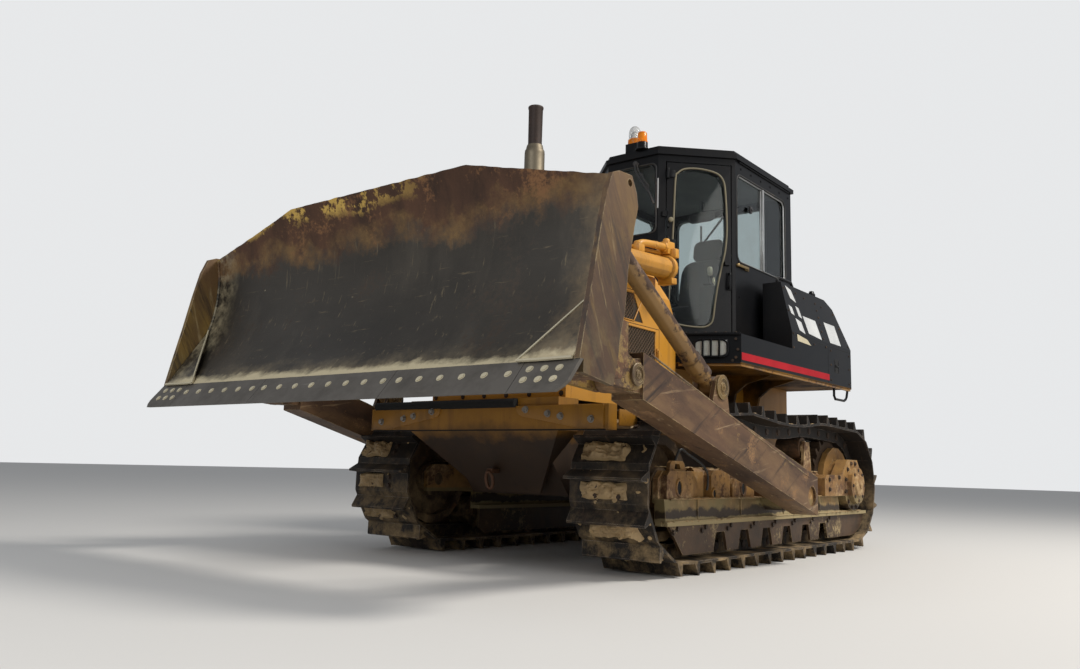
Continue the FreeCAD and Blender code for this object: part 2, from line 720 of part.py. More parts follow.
def make_sprocket():
    """Toothed ring: a disc with a flat-bottomed gap at every tooth space."""
    body = doc.addObject("PartDesign::Body", "sprocket")
    plane = [p for p in body.Origin.OriginFeatures if p.Role == "XZ_Plane"][0]
    blank = body.newObject("Sketcher::SketchObject", "sprocket_blank")
    blank.AttachmentSupport = [(plane, "")]
    blank.MapMode = "FlatFace"
    teeth = int(s.tooth_count.value)
    tips = s.sprocket_pin_radius + s.bushing_radius * 0.75
    draw_outline(blank, polygon(as_size(0), as_size(0), tips, teeth))
    draw_outline(blank, polygon(as_size(0), as_size(0), facet(s.drive_hub_radius + s.seat_gap, 16), 16))
    pad = body.newObject("PartDesign::Pad", "sprocket_disc")
    pad.Profile = blank
    bind(pad, "Length", s.sprocket_thickness)
    pad.SideType = "Symmetric"
    doc.recompute()
    gap = body.newObject("Sketcher::SketchObject", "tooth_gap")
    gap.AttachmentSupport = [(plane, "")]
    gap.MapMode = "FlatFace"
    root = s.bushing_radius + s.tooth_clearance
    out = s.sprocket_pin_radius + s.bushing_radius * 1.4
    floor = root - s.sprocket_pin_radius
    draw_outline(gap, [(-out, -root * 1.5), (floor, -root * 0.62), (floor, root * 0.62), (-out, root * 1.5)])
    pocket = body.newObject("PartDesign::Pocket", "tooth_gap_cut")
    pocket.Profile = gap
    pocket.SideType = "Symmetric"
    bind(pocket, "Length", s.sprocket_thickness * 2)
    doc.recompute()
    pattern = body.newObject("PartDesign::PolarPattern", "tooth_gaps")
    pattern.Originals = [pocket]
    axis = [p for p in body.Origin.OriginFeatures if p.Role == "Y_Axis"][0]
    pattern.Axis = (axis, [""])
    pattern.Angle = 360
    bind(pattern, "Occurrences", s.tooth_count)
    body.Tip = pattern
    bind(body, "Placement.Base.x", s.sprocket_x)
    bind(body, "Placement.Base.y", side_y)
    bind(body, "Placement.Base.z", sprocket_z)
    keep_both("sprockets", body)


def make_idler():
    half = s.idler_half_width
    sides = 16
    rim = s.idler_flat - s.rail_depth - s.seat_gap
    tread = s.rail_gap / 2 - 5
    web = half * 0.35
    axle = half + s.idler_clearance + s.idler_axle_reach
    parts = [
        bar("idler_tread", idler_x, side_y - half, idler_z, rim, half * 2, sides),
        bar("idler_ridge", idler_x, side_y - tread, idler_z, rim + 14, tread * 2, sides),
        bar("idler_axle", idler_x, side_y - axle, idler_z, s.idler_axle_radius, axle * 2, 10),
    ]
    hollows = [bar("idler_hollow_%d" % number, idler_x, start, idler_z, rim - 60, half - web + 1, sides)
               for number, start in enumerate((side_y - half - 1, side_y + web))]
    wheel = cut("idler_hollowed", fuse("idler_blank", parts[:2]), hollows)
    hub = bar("idler_hub", idler_x, side_y - half, idler_z, s.idler_hub_radius, half * 2, 12)
    keep_both("idlers", fuse("idler", [wheel, hub, parts[2]]))


def make_rollers():
    half = s.roller_half_width
    tread = facet(s.roller_radius, 8)
    flange = facet(s.roller_radius + s.roller_flange, 8)
    reach = s.frame_half_width - s.frame_wall
    height = ground_pins + s.rail_depth + s.roller_radius + s.seat_gap
    roller = fuse("track_roller", [
        bar("roller_tread", s.roller_first_x, side_y - half, height, tread, half * 2, 8),
        bar("roller_flange_in", s.roller_first_x, side_y - half - s.flange_width, height, flange,
            s.flange_width, 8),
        bar("roller_flange_out", s.roller_first_x, side_y + half, height, flange, s.flange_width, 8),
        bar("roller_shaft", s.roller_first_x, side_y - reach, height, s.roller_shaft, reach * 2, 4),
    ])
    keep_both("track_rollers", row_of("track_roller_row", roller, s.roller_count, s.roller_pitch))
    top = s.carrier_pin_height - s.rail_depth - s.carrier_gap
    axle = top - s.carrier_radius
    carrier = fuse("carrier_roller", [
        bar("carrier_tread", s.carrier_rear_x, side_y - half, axle, s.carrier_radius, half * 2, 12),
        bar("carrier_shaft", s.carrier_rear_x, side_y - half, axle, s.roller_shaft,
            half * 2 + s.carrier_shaft_end, 6),
    ])
    two = row_of("carrier_roller_row", carrier, Size(2, "2"), s.carrier_front_x - s.carrier_rear_x)
    keep_both("carrier_rollers", two)


def make_track_frame():
    half = s.frame_half_width
    wall = s.frame_wall
    guard = s.guard_half_width
    box = slab("track_frame_box", "YZ", [
        (side_y - half, s.skirt_bottom),
        (side_y - half + wall, s.skirt_bottom),
        (side_y - half + wall, s.frame_roof),
        (side_y + half - wall, s.frame_roof),
        (side_y + half - wall, s.skirt_bottom),
        (side_y + half, s.skirt_bottom),
        (side_y + half, s.frame_top - 40),
        (side_y + half - 40, s.frame_top),
        (side_y - half + 40, s.frame_top),
        (side_y - half, s.frame_top - 40),
    ], s.frame_rear_x, s.frame_front_x)
    parts = [box]
    low = s.ledge_top - s.ledge_thickness
    reach = s.sprocket_pin_radius + s.shoe_top - s.shoe_plate - s.guard_clearance
    bend = [(s.sprocket_x - reach * math.cos(a), sprocket_z - reach * math.sin(a))
            for a in (math.radians(58), math.radians(79))]
    outer_shape = [(s.guard_rear_x, s.ledge_top), (s.guard_rear_x, low)] + bend
    step = (s.frame_front_x - s.frame_rear_x) / s.scallop_count
    high = s.guard_bottom + s.scallop_depth
    outer_shape += [(s.sprocket_x + 30, s.guard_bottom)]
    for number in range(int(s.scallop_count.value)):
        middle = s.frame_rear_x + step * (number + 0.5)
        wide = s.scallop_width * 0.5
        narrow = s.scallop_width * 0.3
        outer_shape += [(middle - wide, s.guard_bottom), (middle - narrow, high),
                        (middle + narrow, high), (middle + wide, s.guard_bottom)]
    outer_shape += [(s.guard_front_x - 230, s.guard_bottom), (s.guard_front_x - 60, low),
                    (s.guard_front_x, s.ledge_top)]
    inner_shape = [(s.frame_rear_x, s.ledge_top), (s.frame_rear_x, s.guard_bottom + 40),
                   (s.frame_rear_x + 60, s.guard_bottom), (s.frame_front_x - 60, s.guard_bottom),
                   (s.frame_front_x, s.guard_bottom + 40), (s.frame_front_x, s.ledge_top)]
    for side in (-1, 1):
        outer = side_y + guard * side
        inner = side_y + (guard - s.guard_thickness) * side
        start, end = (inner, outer) if side > 0 else (outer, inner)
        shape = outer_shape if side > 0 else inner_shape
        parts.append(slab("roller_guard_%d" % (side + 1), "XZ", shape, start, end))
        near = side_y + half * side
        start, end = (near, inner) if side > 0 else (inner, near)
        parts.append(slab("ledge_%d" % (side + 1), "XY", [
            (s.frame_rear_x, start), (s.frame_front_x, start),
            (s.frame_front_x, end), (s.frame_rear_x, end),
        ], low, s.ledge_top))
        yoke_inner = s.idler_half_width + s.idler_clearance
        a = side_y + yoke_inner * side
        b = side_y + (half + 12) * side
        start, end = (a, b) if side > 0 else (b, a)
        arm = slab("idler_yoke_%d" % (side + 1), "XZ", [
            (s.frame_front_x - 60, s.yoke_bottom), (s.yoke_front_x, s.yoke_bottom),
            (s.yoke_front_x, s.yoke_bottom + s.yoke_height * 0.75),
            (s.yoke_front_x - 60, s.yoke_bottom + s.yoke_height),
            (s.frame_front_x - 60, s.yoke_bottom + s.yoke_height),
        ], start, end, holes=[polygon(idler_x, idler_z, s.idler_axle_radius + s.seat_gap, 10)])
        parts.append(arm)
    ledge_out = slab("ledge_outer", "XY", [
        (s.guard_rear_x, side_y + half + 12), (s.guard_front_x, side_y + half + 12),
        (s.guard_front_x, side_y + guard - s.guard_thickness),
        (s.guard_rear_x, side_y + guard - s.guard_thickness),
    ], low, s.ledge_top)
    parts.append(ledge_out)
    top = s.carrier_pin_height - s.rail_depth - s.carrier_gap
    axle = top - s.carrier_radius
    for number, x in enumerate((s.carrier_rear_x, s.carrier_front_x)):
        post = slab("carrier_post_%d" % number, "XZ", [
            (x - 95, s.frame_top - 60), (x + 95, s.frame_top - 60), (x + 48, axle + 50), (x - 48, axle + 50),
        ], side_y + s.roller_half_width + s.carrier_shaft_end, side_y + half)
        parts.append(post)
    parts += side_band(side_y + half, side_y + guard)
    stub = disc("trunnion_stub", s.trunnion_x, side_y + half - 20, s.trunnion_height,
                s.trunnion_radius, arm_outer - side_y - half)
    shoulder = bar("trunnion_shoulder", s.trunnion_x, side_y + half - 20, s.trunnion_height,
                   s.trunnion_radius * 1.6, arm_inner - side_y - half + 10, 12)
    parts += [stub, shoulder]
    keep_pair("track_frame", fuse("track_frame", parts))


# Cast blocks on the side band: front end ahead of the frame box, length, height
RECOIL_BLOCKS = [(490, 330, 175), (-90, 270, 185), (-400, 340, 130)]


def side_band(inner, outer):
    """The track frame's outer band with its lip, the cast blocks on it and the lifting eye on the first."""
    foot = s.ledge_top - 5
    parts = [slab("side_band", "YZ", [
        (inner - 5, foot), (outer, foot), (outer - 12, s.band_top), (inner - 5, s.band_top),
    ], s.band_rear_x, s.guard_front_x - 20)]
    low = s.ledge_top - s.ledge_thickness
    parts.append(slab("band_lip_bar", "XZ", [
        (s.guard_rear_x, low), (s.guard_front_x - 4, low),
        (s.guard_front_x, s.ledge_top), (s.guard_rear_x, s.ledge_top),
    ], outer - 2, outer + s.band_lip))
    face = inner + 12
    for number, (ahead, length, high) in enumerate(RECOIL_BLOCKS):
        end = s.frame_front_x + ahead
        start = end - length
        top = s.band_top + high
        parts.append(slab("recoil_block_%d" % number, "XZ", [
            (start, s.band_top - 5), (end, s.band_top - 5), (end, top - 35), (end - 35, top),
            (start + 35, top), (start, top - 35),
        ], face - 2 if ahead > 0 else inner - 5, face + s.recoil_block_width))
    front = s.frame_front_x + RECOIL_BLOCKS[0][0]
    foot = s.band_top + RECOIL_BLOCKS[0][2]
    crown = foot + s.lifting_eye
    parts.append(slab("lifting_eye_plate", "XZ", [
        (front - 270, foot - 5), (front - 60, foot - 5), (front - 80, crown - 14), (front - 105, crown),
        (front - 225, crown), (front - 250, crown - 14),
    ], face, face + 26, holes=[[
        (front - 205, foot + 10), (front - 125, foot + 10),
        (front - 140, crown - 18), (front - 190, crown - 18),
    ]]))
    return parts


def make_final_drive():
    face = side_y + s.drive_cover_face
    hub_start = side_y - s.sprocket_thickness / 2 - 10
    hub_end = side_y + s.sprocket_thickness / 2 + 5
    shapes = [
        (s.hull_half_width, s.hull_half_width + 80, s.drive_case_radius + 40),
        (s.hull_half_width + 80, hub_start, s.drive_case_radius),
        (hub_start, hub_end, facet(s.drive_hub_radius, 16)),
        (hub_end, hub_end + 50, s.drive_dish_radius),
        (hub_end + 50, face - 40, s.drive_cover_radius),
        (face - 40, face, s.drive_cover_radius - 60),
    ]
    drive = turned("final_drive_case", s.sprocket_x, sprocket_z, shapes, 16)
    front = s.sprocket_x + s.drive_bracket_front
    foot = s.band_top + s.seat_gap
    top = foot + s.drive_bracket_rise
    cover = s.drive_cover_radius
    start = side_y + s.frame_half_width + 10
    bracket = slab("drive_bracket", "XZ", [
        (front, foot), (front, top - 30), (front - 40, top), (s.sprocket_x + cover + 60, top),
        (s.sprocket_x + cover * 0.55, sprocket_z + cover), (s.sprocket_x - cover * 0.5, sprocket_z + cover),
        (s.sprocket_x - cover, sprocket_z + cover * 0.45), (s.sprocket_x - cover, foot),
    ], start, start + s.drive_bracket_width)
    keep_both("final_drives", fuse("final_drive", [drive, bracket]))


def make_hull():
    body = doc.addObject("PartDesign::Body", "hull")
    plane = [p for p in body.Origin.OriginFeatures if p.Role == "XZ_Plane"][0]
    side = body.newObject("Sketcher::SketchObject", "hull_side")
    side.AttachmentSupport = [(plane, "")]
    side.MapMode = "FlatFace"
    draw_outline(side, [
        (s.hull_rear_x, s.hull_bottom + 170), (s.hull_rear_x + 260, s.hull_bottom),
        (s.hull_front_x - 230, s.hull_bottom), (s.hull_front_x, s.beam_bottom - 150),
        (s.hull_front_x, s.hull_top), (s.hull_step_x, s.hull_top),
        (s.hull_step_x, s.deck_bottom), (s.hull_rear_x, s.deck_bottom),
    ])
    pad = body.newObject("PartDesign::Pad", "hull_block")
    pad.Profile = side
    pad.SideType = "Symmetric"
    bind(pad, "Length", s.hull_half_width * 2)
    doc.recompute()
    slot = body.newObject("Sketcher::SketchObject", "equalizer_slot")
    slot.AttachmentSupport = [(plane, "")]
    slot.MapMode = "FlatFace"
    gap = s.equalizer_clearance
    x0 = s.equalizer_x - s.equalizer_depth / 2 - gap
    x1 = s.equalizer_x + s.equalizer_depth / 2 + gap
    z0 = s.equalizer_bottom - gap
    z1 = s.equalizer_bottom + s.equalizer_height + gap
    draw_outline(slot, [(x0, z0), (x1, z0), (x1, z1), (x0, z1)])
    pocket = body.newObject("PartDesign::Pocket", "equalizer_slot_cut")
    pocket.Profile = slot
    pocket.SideType = "Symmetric"
    bind(pocket, "Length", s.hull_half_width * 4)
    doc.recompute()
    end = [p for p in body.Origin.OriginFeatures if p.Role == "YZ_Plane"][0]
    bolts = body.newObject("Sketcher::SketchObject", "rear_bolt_places")
    bolts.AttachmentSupport = [(end, "")]
    bolts.MapMode = "FlatFace"
    bind(bolts, "AttachmentOffset.Base.z", s.hull_rear_x)
    for across in (-1, 1):
        for up in (-1, 1):
            draw_circle(bolts, s.rear_bolt_width / 2 * across, s.rear_bolt_height + s.rear_bolt_rise / 2 * up,
                        s.rear_bolt_radius)
    holes = body.newObject("PartDesign::Pocket", "rear_bolt_holes")
    holes.Profile = bolts
    holes.Reversed = True
    bind(holes, "Length", s.rear_bolt_depth)
    body.Tip = holes
    keep("hull", body)
    equalizer = slab("equalizer_bar", "XZ", [
        (x0 + gap, z0 + gap), (x1 - gap, z0 + gap), (x1 - gap, z1 - gap), (x0 + gap, z1 - gap),
    ], -side_y + s.frame_half_width, side_y - s.frame_half_width)
    keep("equalizer_bar", equalizer)
    reach = side_y - s.frame_half_width - s.hull_half_width
    shaft = bar("cross_shaft", s.pivot_x, s.hull_half_width, s.pivot_height, s.pivot_radius, reach)
    keep("cross_shafts", group("cross_shafts", [shaft, mirrored(shaft, "cross_shaft_right")]))


def make_prow():
    """Cross beam and keel-shaped guard at the foot of the radiator."""
    front = s.beam_front_x - 20
    wedge = slab("prow_wedge", "XZ", [
        (s.hull_front_x, s.hull_top), (s.hull_front_x, s.hull_bottom + 195),
        (s.hull_front_x - 150, s.hull_bottom + 15), (s.hull_front_x - 130, s.hull_bottom + 15),
        (front, s.beam_bottom), (front, s.hull_top),
    ], -s.prow_half_width, s.prow_half_width)
    flank = slab("prow_flank", "YZ", [
        (s.prow_keel_half_width, s.hull_bottom), (s.prow_half_width, s.beam_bottom),
        (s.prow_half_width + 50, s.beam_bottom), (s.prow_half_width + 50, s.hull_bottom),
    ], s.hull_front_x - 200, s.beam_front_x + 50)
    keel = cut("prow_keel", wedge, [flank, mirrored(flank, "prow_flank_right")])
    beam = block("prow_beam", s.beam_front_x - s.beam_depth, -s.beam_half_width, s.beam_bottom,
                 s.beam_depth, s.beam_half_width * 2, s.beam_height)
    hull_copy = doc.addObject("Part::Compound", "hull_space")
    hull_copy.Links = [pieces["hull"]]
    keep("front_guard", cut("front_guard", fuse("prow_whole", [keel, beam]), [hull_copy]))


def hood_section(inset):
    half = s.hood_half_width - inset
    return [
        (-half, s.hull_top), (half, s.hull_top), (half, s.hood_shoulder),
        (s.hood_top_half_width - inset * 0.6, s.hood_top - inset),
        (-s.hood_top_half_width + inset * 0.6, s.hood_top - inset), (-half, s.hood_shoulder),
    ]


def side_windows():
    """The two mesh openings in a hood side, as outlines in X and Z."""
    front = s.hull_front_x - 190
    return [
        [(s.mesh_rear_x + 170, s.mesh_split + 20), (front, s.mesh_split + 20),
         (front, s.hood_shoulder - 25), (s.mesh_rear_x + 300, s.hood_shoulder - 25)],
        [(s.mesh_rear_x, s.mesh_bottom), (front, s.mesh_bottom),
         (front, s.mesh_split - 20), (s.mesh_rear_x, s.mesh_split - 20)],
    ]


def make_hood():
    wall = s.sheet_wall
    outer = slab("hood_outer", "YZ", hood_section(as_size(0)), s.hood_rear_x, s.hull_front_x)
    inner = slab("hood_inner", "YZ", hood_section(wall), s.hood_rear_x - 10, s.hull_front_x + 10)
    slant = slab("hood_slant", "XZ", [
        (s.hood_rear_x - 50, s.hood_slant_bottom), (s.hood_rear_x, s.hood_slant_bottom),
        (s.hood_rear_x + s.hood_slant_x, s.hood_top), (s.hood_rear_x + s.hood_slant_x, s.hood_top + 50),
        (s.hood_rear_x - 50, s.hood_top + 50),
    ], -s.hood_half_width - 20, s.hood_half_width + 20)
    tools = [inner, slant]
    for number, window in enumerate(side_windows()):
        tools.append(slab("hood_window_%d" % number, "XZ", window,
                          -s.hood_half_width - 20, s.hood_half_width + 20))
    keep("hood", cut("hood", outer, tools))
    meshes = [slab("hood_mesh_%d" % i, "XZ", w, s.hood_half_width - wall, s.hood_half_width - wall / 2)
              for i, w in enumerate(side_windows())]
    keep_both("hood_meshes", group("hood_meshes", meshes))
    engine = block("engine", s.hull_front_x - 170 - s.engine_length, -s.engine_half_width, s.hull_top,
                   s.engine_length, s.engine_half_width * 2, s.engine_height)
    keep("engine_block", engine)


def make_cowl():
    """Narrow housing between the hood and the cab."""
    engine_clear = s.hull_top + s.engine_height + 20
    keep("cowl", slab("cowl", "XZ", [
        (s.cab_front_x, s.deck_top), (s.hood_rear_x, s.deck_top), (s.hood_rear_x, engine_clear),
        (s.hood_rear_x + s.hood_slant_x, engine_clear), (s.hood_rear_x + s.hood_slant_x, s.cowl_top),
        (s.cab_front_x, s.cowl_top - 110),
    ], -s.cowl_half_width, s.cowl_half_width))


def make_radiator_guard():
    depth = 60
    half = s.hood_half_width
    rim = 70
    low = s.hull_top
    opening = [
        (-half + rim, low + rim), (half - rim, low + rim), (half - rim, s.hood_shoulder - 20),
        (s.hood_top_half_width - rim, s.hood_top - rim), (-s.hood_top_half_width + rim, s.hood_top - rim),
        (-half + rim, s.hood_shoulder - 20),
    ]
    frame = slab("guard_frame", "YZ", hood_section(as_size(0)), s.hull_front_x, s.hull_front_x + depth,
                 holes=[opening])
    slats = []
    count = 8
    step = (s.hood_top - rim * 2 - low) / count
    for number in range(1, count):
        z = low + rim + step * number - 22
        reach = half - rim
        if z.value > s.hood_shoulder.value:
            shoulder = (s.hood_shoulder - 20, half - rim)
            crown = (s.hood_top - rim, s.hood_top_half_width - rim)
            reach = on_line(shoulder, crown, z - 26)
        slats.append(slab("guard_slat_%d" % number, "XZ", [
            (s.hull_front_x + 12, z + 20), (s.hull_front_x + 22, z + 26),
            (s.hull_front_x + depth - 6, z - 20), (s.hull_front_x + depth - 16, z - 26),
        ], -reach - 2, reach + 2))
    keep("radiator_guard", fuse("radiator_guard", [frame] + slats))


def make_exhaust():
    inner = facet(s.exhaust_radius - s.exhaust_wall, 12)
    x, low = s.exhaust_x, s.hood_top
    pipe = fuse("exhaust_outside", [
        bar("exhaust_foot", x, 0, low, s.exhaust_sleeve_radius + 30, 14, 12, "z"),
        bar("exhaust_sleeve", x, 0, low + 14, facet(s.exhaust_sleeve_radius, 12),
            s.exhaust_sleeve_top - low - 14, 12, "z"),
        bar("exhaust_pipe", x, 0, s.exhaust_sleeve_top, facet(s.exhaust_radius, 12),
            s.exhaust_top - s.exhaust_sleeve_top, 12, "z"),
    ])
    bore = bar("exhaust_bore", x, 0, s.exhaust_top - 250, inner, 260, 12, "z")
    keep("exhaust_stack", cut("exhaust", pipe, [bore]))


def make_platform():
    middle = block("deck_middle", s.fender_rear_x, -s.hull_half_width, s.deck_bottom,
                   s.fender_front_x + s.fender_nose - s.fender_rear_x, s.hull_half_width * 2,
                   s.deck_top - s.deck_bottom)
    nose = s.fender_front_x + s.fender_nose
    plate = slab("fender_plate", "XY", [
        (s.fender_rear_x, s.hull_half_width), (nose, s.hull_half_width), (nose, s.hood_half_width + 20),
        (s.fender_front_x, s.deck_half_width), (s.fender_rear_x, s.deck_half_width),
    ], s.deck_bottom, s.deck_top)
    parts = [plate]
    foot = s.deck_bottom - s.gusset_depth
    for number, x in enumerate((s.gusset_x, s.gusset_x - s.gusset_spacing)):
        parts.append(slab("gusset_%d" % number, "YZ", [
            (s.hull_half_width, foot), (s.hull_half_width + 110, foot),
            (s.hull_half_width + 150, foot + s.gusset_depth * 0.55),
            (s.hull_half_width + 250, s.deck_bottom - s.gusset_depth * 0.2),
            (s.deck_half_width - 130, s.deck_bottom), (s.hull_half_width, s.deck_bottom),
        ], x, x + s.gusset_thickness))
    left = fuse("fender", parts)
    keep("platform", fuse("platform", [middle, left, mirrored(left, "fender_right")]))


SLANT = math.sqrt(0.5)


def cab_plan(inset):
    """The cab's six corners and the two of its flat rear, as plan points, moved in by a wall."""
    front = s.cab_front_x - inset
    run = s.door_wall * SLANT
    corner = inset * (math.sqrt(2) - 1)
    side = s.cab_front_half_width + run
    left = [(front, s.cab_front_half_width - corner), (s.cab_front_x - run - corner, side - inset),
            (s.cab_rear_x + inset, side - inset)]
    return left + [(x, -y) for x, y in reversed(left)]


def slanted_block(name, along, out, z, length, depth, height):
    """A block on the left door wall: along the wall from its front corner, out from its outer face."""
    solid = doc.addObject("Part::Box", name)
    bind(solid, "Length", length)
    bind(solid, "Width", depth)
    bind(solid, "Height", height)
    solid.Placement = Placement(Vector(0, 0, 0), Rotation(Vector(0, 0, 1), 135))
    bind(solid, "Placement.Base.x", s.cab_front_x - as_size(along) * SLANT + as_size(out) * SLANT)
    bind(solid, "Placement.Base.y", s.cab_front_half_width + as_size(along) * SLANT + as_size(out) * SLANT)
    bind(solid, "Placement.Base.z", z)
    return solid


def slanted_slab(name, outline, out, depth):
    """An outline of (along the left door wall, height), extruded outwards from a distance off its face."""
    sketch = doc.addObject("Sketcher::SketchObject", name + "_outline")
    turn = Rotation(Vector(-SLANT, SLANT, 0), Vector(0, 0, 1), Vector(SLANT, SLANT, 0), "XYZ")
    sketch.Placement = Placement(Vector(0, 0, 0), turn)
    bind(sketch, "Placement.Base.x", s.cab_front_x + as_size(out) * SLANT)
    bind(sketch, "Placement.Base.y", s.cab_front_half_width + as_size(out) * SLANT)
    draw_outline(sketch, outline)
    solid = doc.addObject("Part::Extrusion", name)
    solid.Base = sketch
    solid.DirMode = "Custom"
    solid.Dir = Vector(SLANT, SLANT, 0)
    solid.Solid = True
    bind(solid, "LengthFwd", depth)
    return solid


def softened(left, low, right, high, radius):
    """Corners of a rectangle whose corners are cut in two steps."""
    near = radius * (1 - math.cos(math.pi / 6))
    far = radius * (1 - math.sin(math.pi / 6))
    corners = []
    places = ((right, low, -1, 1), (right, high, -1, -1), (left, high, 1, -1), (left, low, 1, 1))
    for u, v, across, up in places:
        turn = [(radius, as_size(0)), (far, near), (near, far), (as_size(0), radius)]
        if across * up > 0:
            turn = turn[::-1]
        corners += [(u + a * across, v + b * up) for a, b in turn]
    return corners


def hinge_places():
    """Foot of each hinge knuckle of the left door."""
    start = s.door_front_margin + s.door_gap + s.hinge_inset
    out = s.hinge_radius + s.hinge_clearance
    height = s.door_top - s.door_bottom
    x = s.cab_front_x - start * SLANT + out * SLANT
    y = s.cab_front_half_width + start * SLANT + out * SLANT
    return [(x, y, s.door_bottom + height * share) for share in (0.18, 0.62)]


def wall_slab(name, number):
    """One straight wall of the cab, mitred with its neighbours."""
    outer = cab_plan(as_size(0))
    inner = cab_plan(s.cab_wall)
    after = (number + 1) % len(outer)
    corners = [outer[number], outer[after], inner[after], inner[number]]
    return slab(name, "XY", corners, s.deck_top, s.roof_bottom)


def make_cab():
    wall = s.cab_wall
    radius = s.window_corner
    side_y_outer = s.cab_front_half_width + s.door_wall * SLANT
    openings = {
        "front": (-s.front_window_half, s.front_window_bottom, s.front_window_half, s.front_window_top),
        "side": (s.side_window_rear, s.side_window_bottom, s.side_window_front, s.side_window_top),
        "rear": (-s.rear_window_half, s.rear_window_bottom, s.rear_window_half, s.side_window_top),
    }
    middle = wall / 2 - s.glass / 2
    front_x, rear_x = s.cab_front_x, s.cab_rear_x
    places = {
        "front": ("YZ", front_x - wall - 5, front_x + 5, front_x - middle - s.glass),
        "side": ("XZ", side_y_outer - wall - 5, side_y_outer + 5, side_y_outer - middle - s.glass),
        "rear": ("YZ", rear_x - 5, rear_x + wall + 5, rear_x + middle),
    }
    holes = {}
    panes = []
    for name, sides in openings.items():
        plane, start, end, pane_start = places[name]
        corners = softened(*sides, radius)
        holes[name] = slab("hole_" + name, plane, corners, start, end)
        panes.append(slab("pane_" + name, plane, corners, pane_start, pane_start + s.glass))
    panes.append(mirrored(panes[1], "pane_side_right"))
    front = cut("cab_front_wall", wall_slab("cab_front_blank", 5), [holes["front"]])
    side = cut("cab_side_wall", wall_slab("cab_side_blank", 1), [holes["side"]])
    rear = cut("cab_rear_wall", wall_slab("cab_rear_blank", 2), [holes["rear"]])
    keep("cab_windows", group("cab_windows", panes))
    length = s.door_wall - s.door_front_margin - s.door_rear_margin
    opening = slanted_block("door_opening", s.door_front_margin, 5, s.door_bottom,
                            length, wall + 10, s.door_top - s.door_bottom)
    frame = cut("door_frame_wall", wall_slab("door_wall_blank", 0), [opening])
    parts = [frame]
    start = s.door_front_margin + s.door_gap + s.hinge_inset
    out = s.hinge_radius + s.hinge_clearance
    for number, (x, y, z) in enumerate(hinge_places()):
        foot = z + s.hinge_length + s.seat_gap
        high = s.hinge_length / 2
        parts.append(bar("hinge_holder_%d" % number, x, y, foot, s.hinge_radius, high, 8, "z"))
        parts.append(slanted_block("hinge_strap_%d" % number, start - 48, out + 6, foot, 48, 16, high))
        parts.append(slanted_block("hinge_foot_%d" % number, start - 48, out - 9, foot, 30, out - 9, high))
    frame = fuse("cab_door_frame", parts)
    sides = [mirrored(side, "cab_side_right"), mirrored(frame, "cab_door_frame_right")]
    keep("cab_shell", group("cab_shell", [front, rear, side, frame] + sides))
    step = s.roof_bottom + s.roof_thickness / 2
    low = slab("roof_low", "XY", cab_plan(-s.roof_overhang), s.roof_bottom, step)
    high = slab("roof_high", "XY", cab_plan(s.roof_overhang * 0.5), step, s.roof_bottom + s.roof_thickness)
    keep("cab_roof", fuse("cab_roof", [low, high]))


# Corners of a door's window: share of the door's length and of its height
DOOR_WINDOW = [
    (0.135, 0.081), (0.225, 0.077), (0.585, 0.075), (0.665, 0.094), (0.705, 0.137), (0.764, 0.284),
    (0.885, 0.497), (0.912, 0.597), (0.908, 0.783), (0.878, 0.883), (0.800, 0.936), (0.674, 0.956),
    (0.466, 0.965), (0.279, 0.958), (0.185, 0.936), (0.155, 0.903), (0.126, 0.663), (0.092, 0.377),
    (0.059, 0.217), (0.077, 0.117),
]


def door_window(start, low, length, height):
    """The door's tall window, from its corners' shares of the door's length and height."""
    return [(start + length * u, low + height * v) for u, v in DOOR_WINDOW]


def make_door():
    gap = s.door_gap
    start = s.door_front_margin + gap
    length = s.door_wall - s.door_front_margin - s.door_rear_margin - gap * 2
    low = s.door_bottom + gap
    height = s.door_top - s.door_bottom - gap * 2
    leaf = slanted_block("door_leaf", start, 0, low, length, s.door_thickness, height)
    window = door_window(start, low, length, height)
    hole = slanted_slab("door_hole", window, -s.door_thickness - 5, s.door_thickness + 10)
    parts = [cut("door_leaf_cut", leaf, [hole])]
    out = s.hinge_radius + s.hinge_clearance
    for number, (x, y, z) in enumerate(hinge_places()):
        parts.append(disc("door_hinge_%d" % number, x, y, z, s.hinge_radius, s.hinge_length, "z"))
        parts.append(slanted_block("door_hinge_pad_%d" % number, start + s.hinge_inset - 4, out, z,
                                   18, out, s.hinge_length))
    parts.append(slanted_block("door_handle", start + length - 60, 28, low + height * 0.42, 44, 28, 34))
    keep_pair("door", fuse("door", parts))
    pane = slanted_slab("door_pane", window, -s.door_thickness / 2 - s.glass / 2, s.glass)
    keep_pair("door_glass", pane)


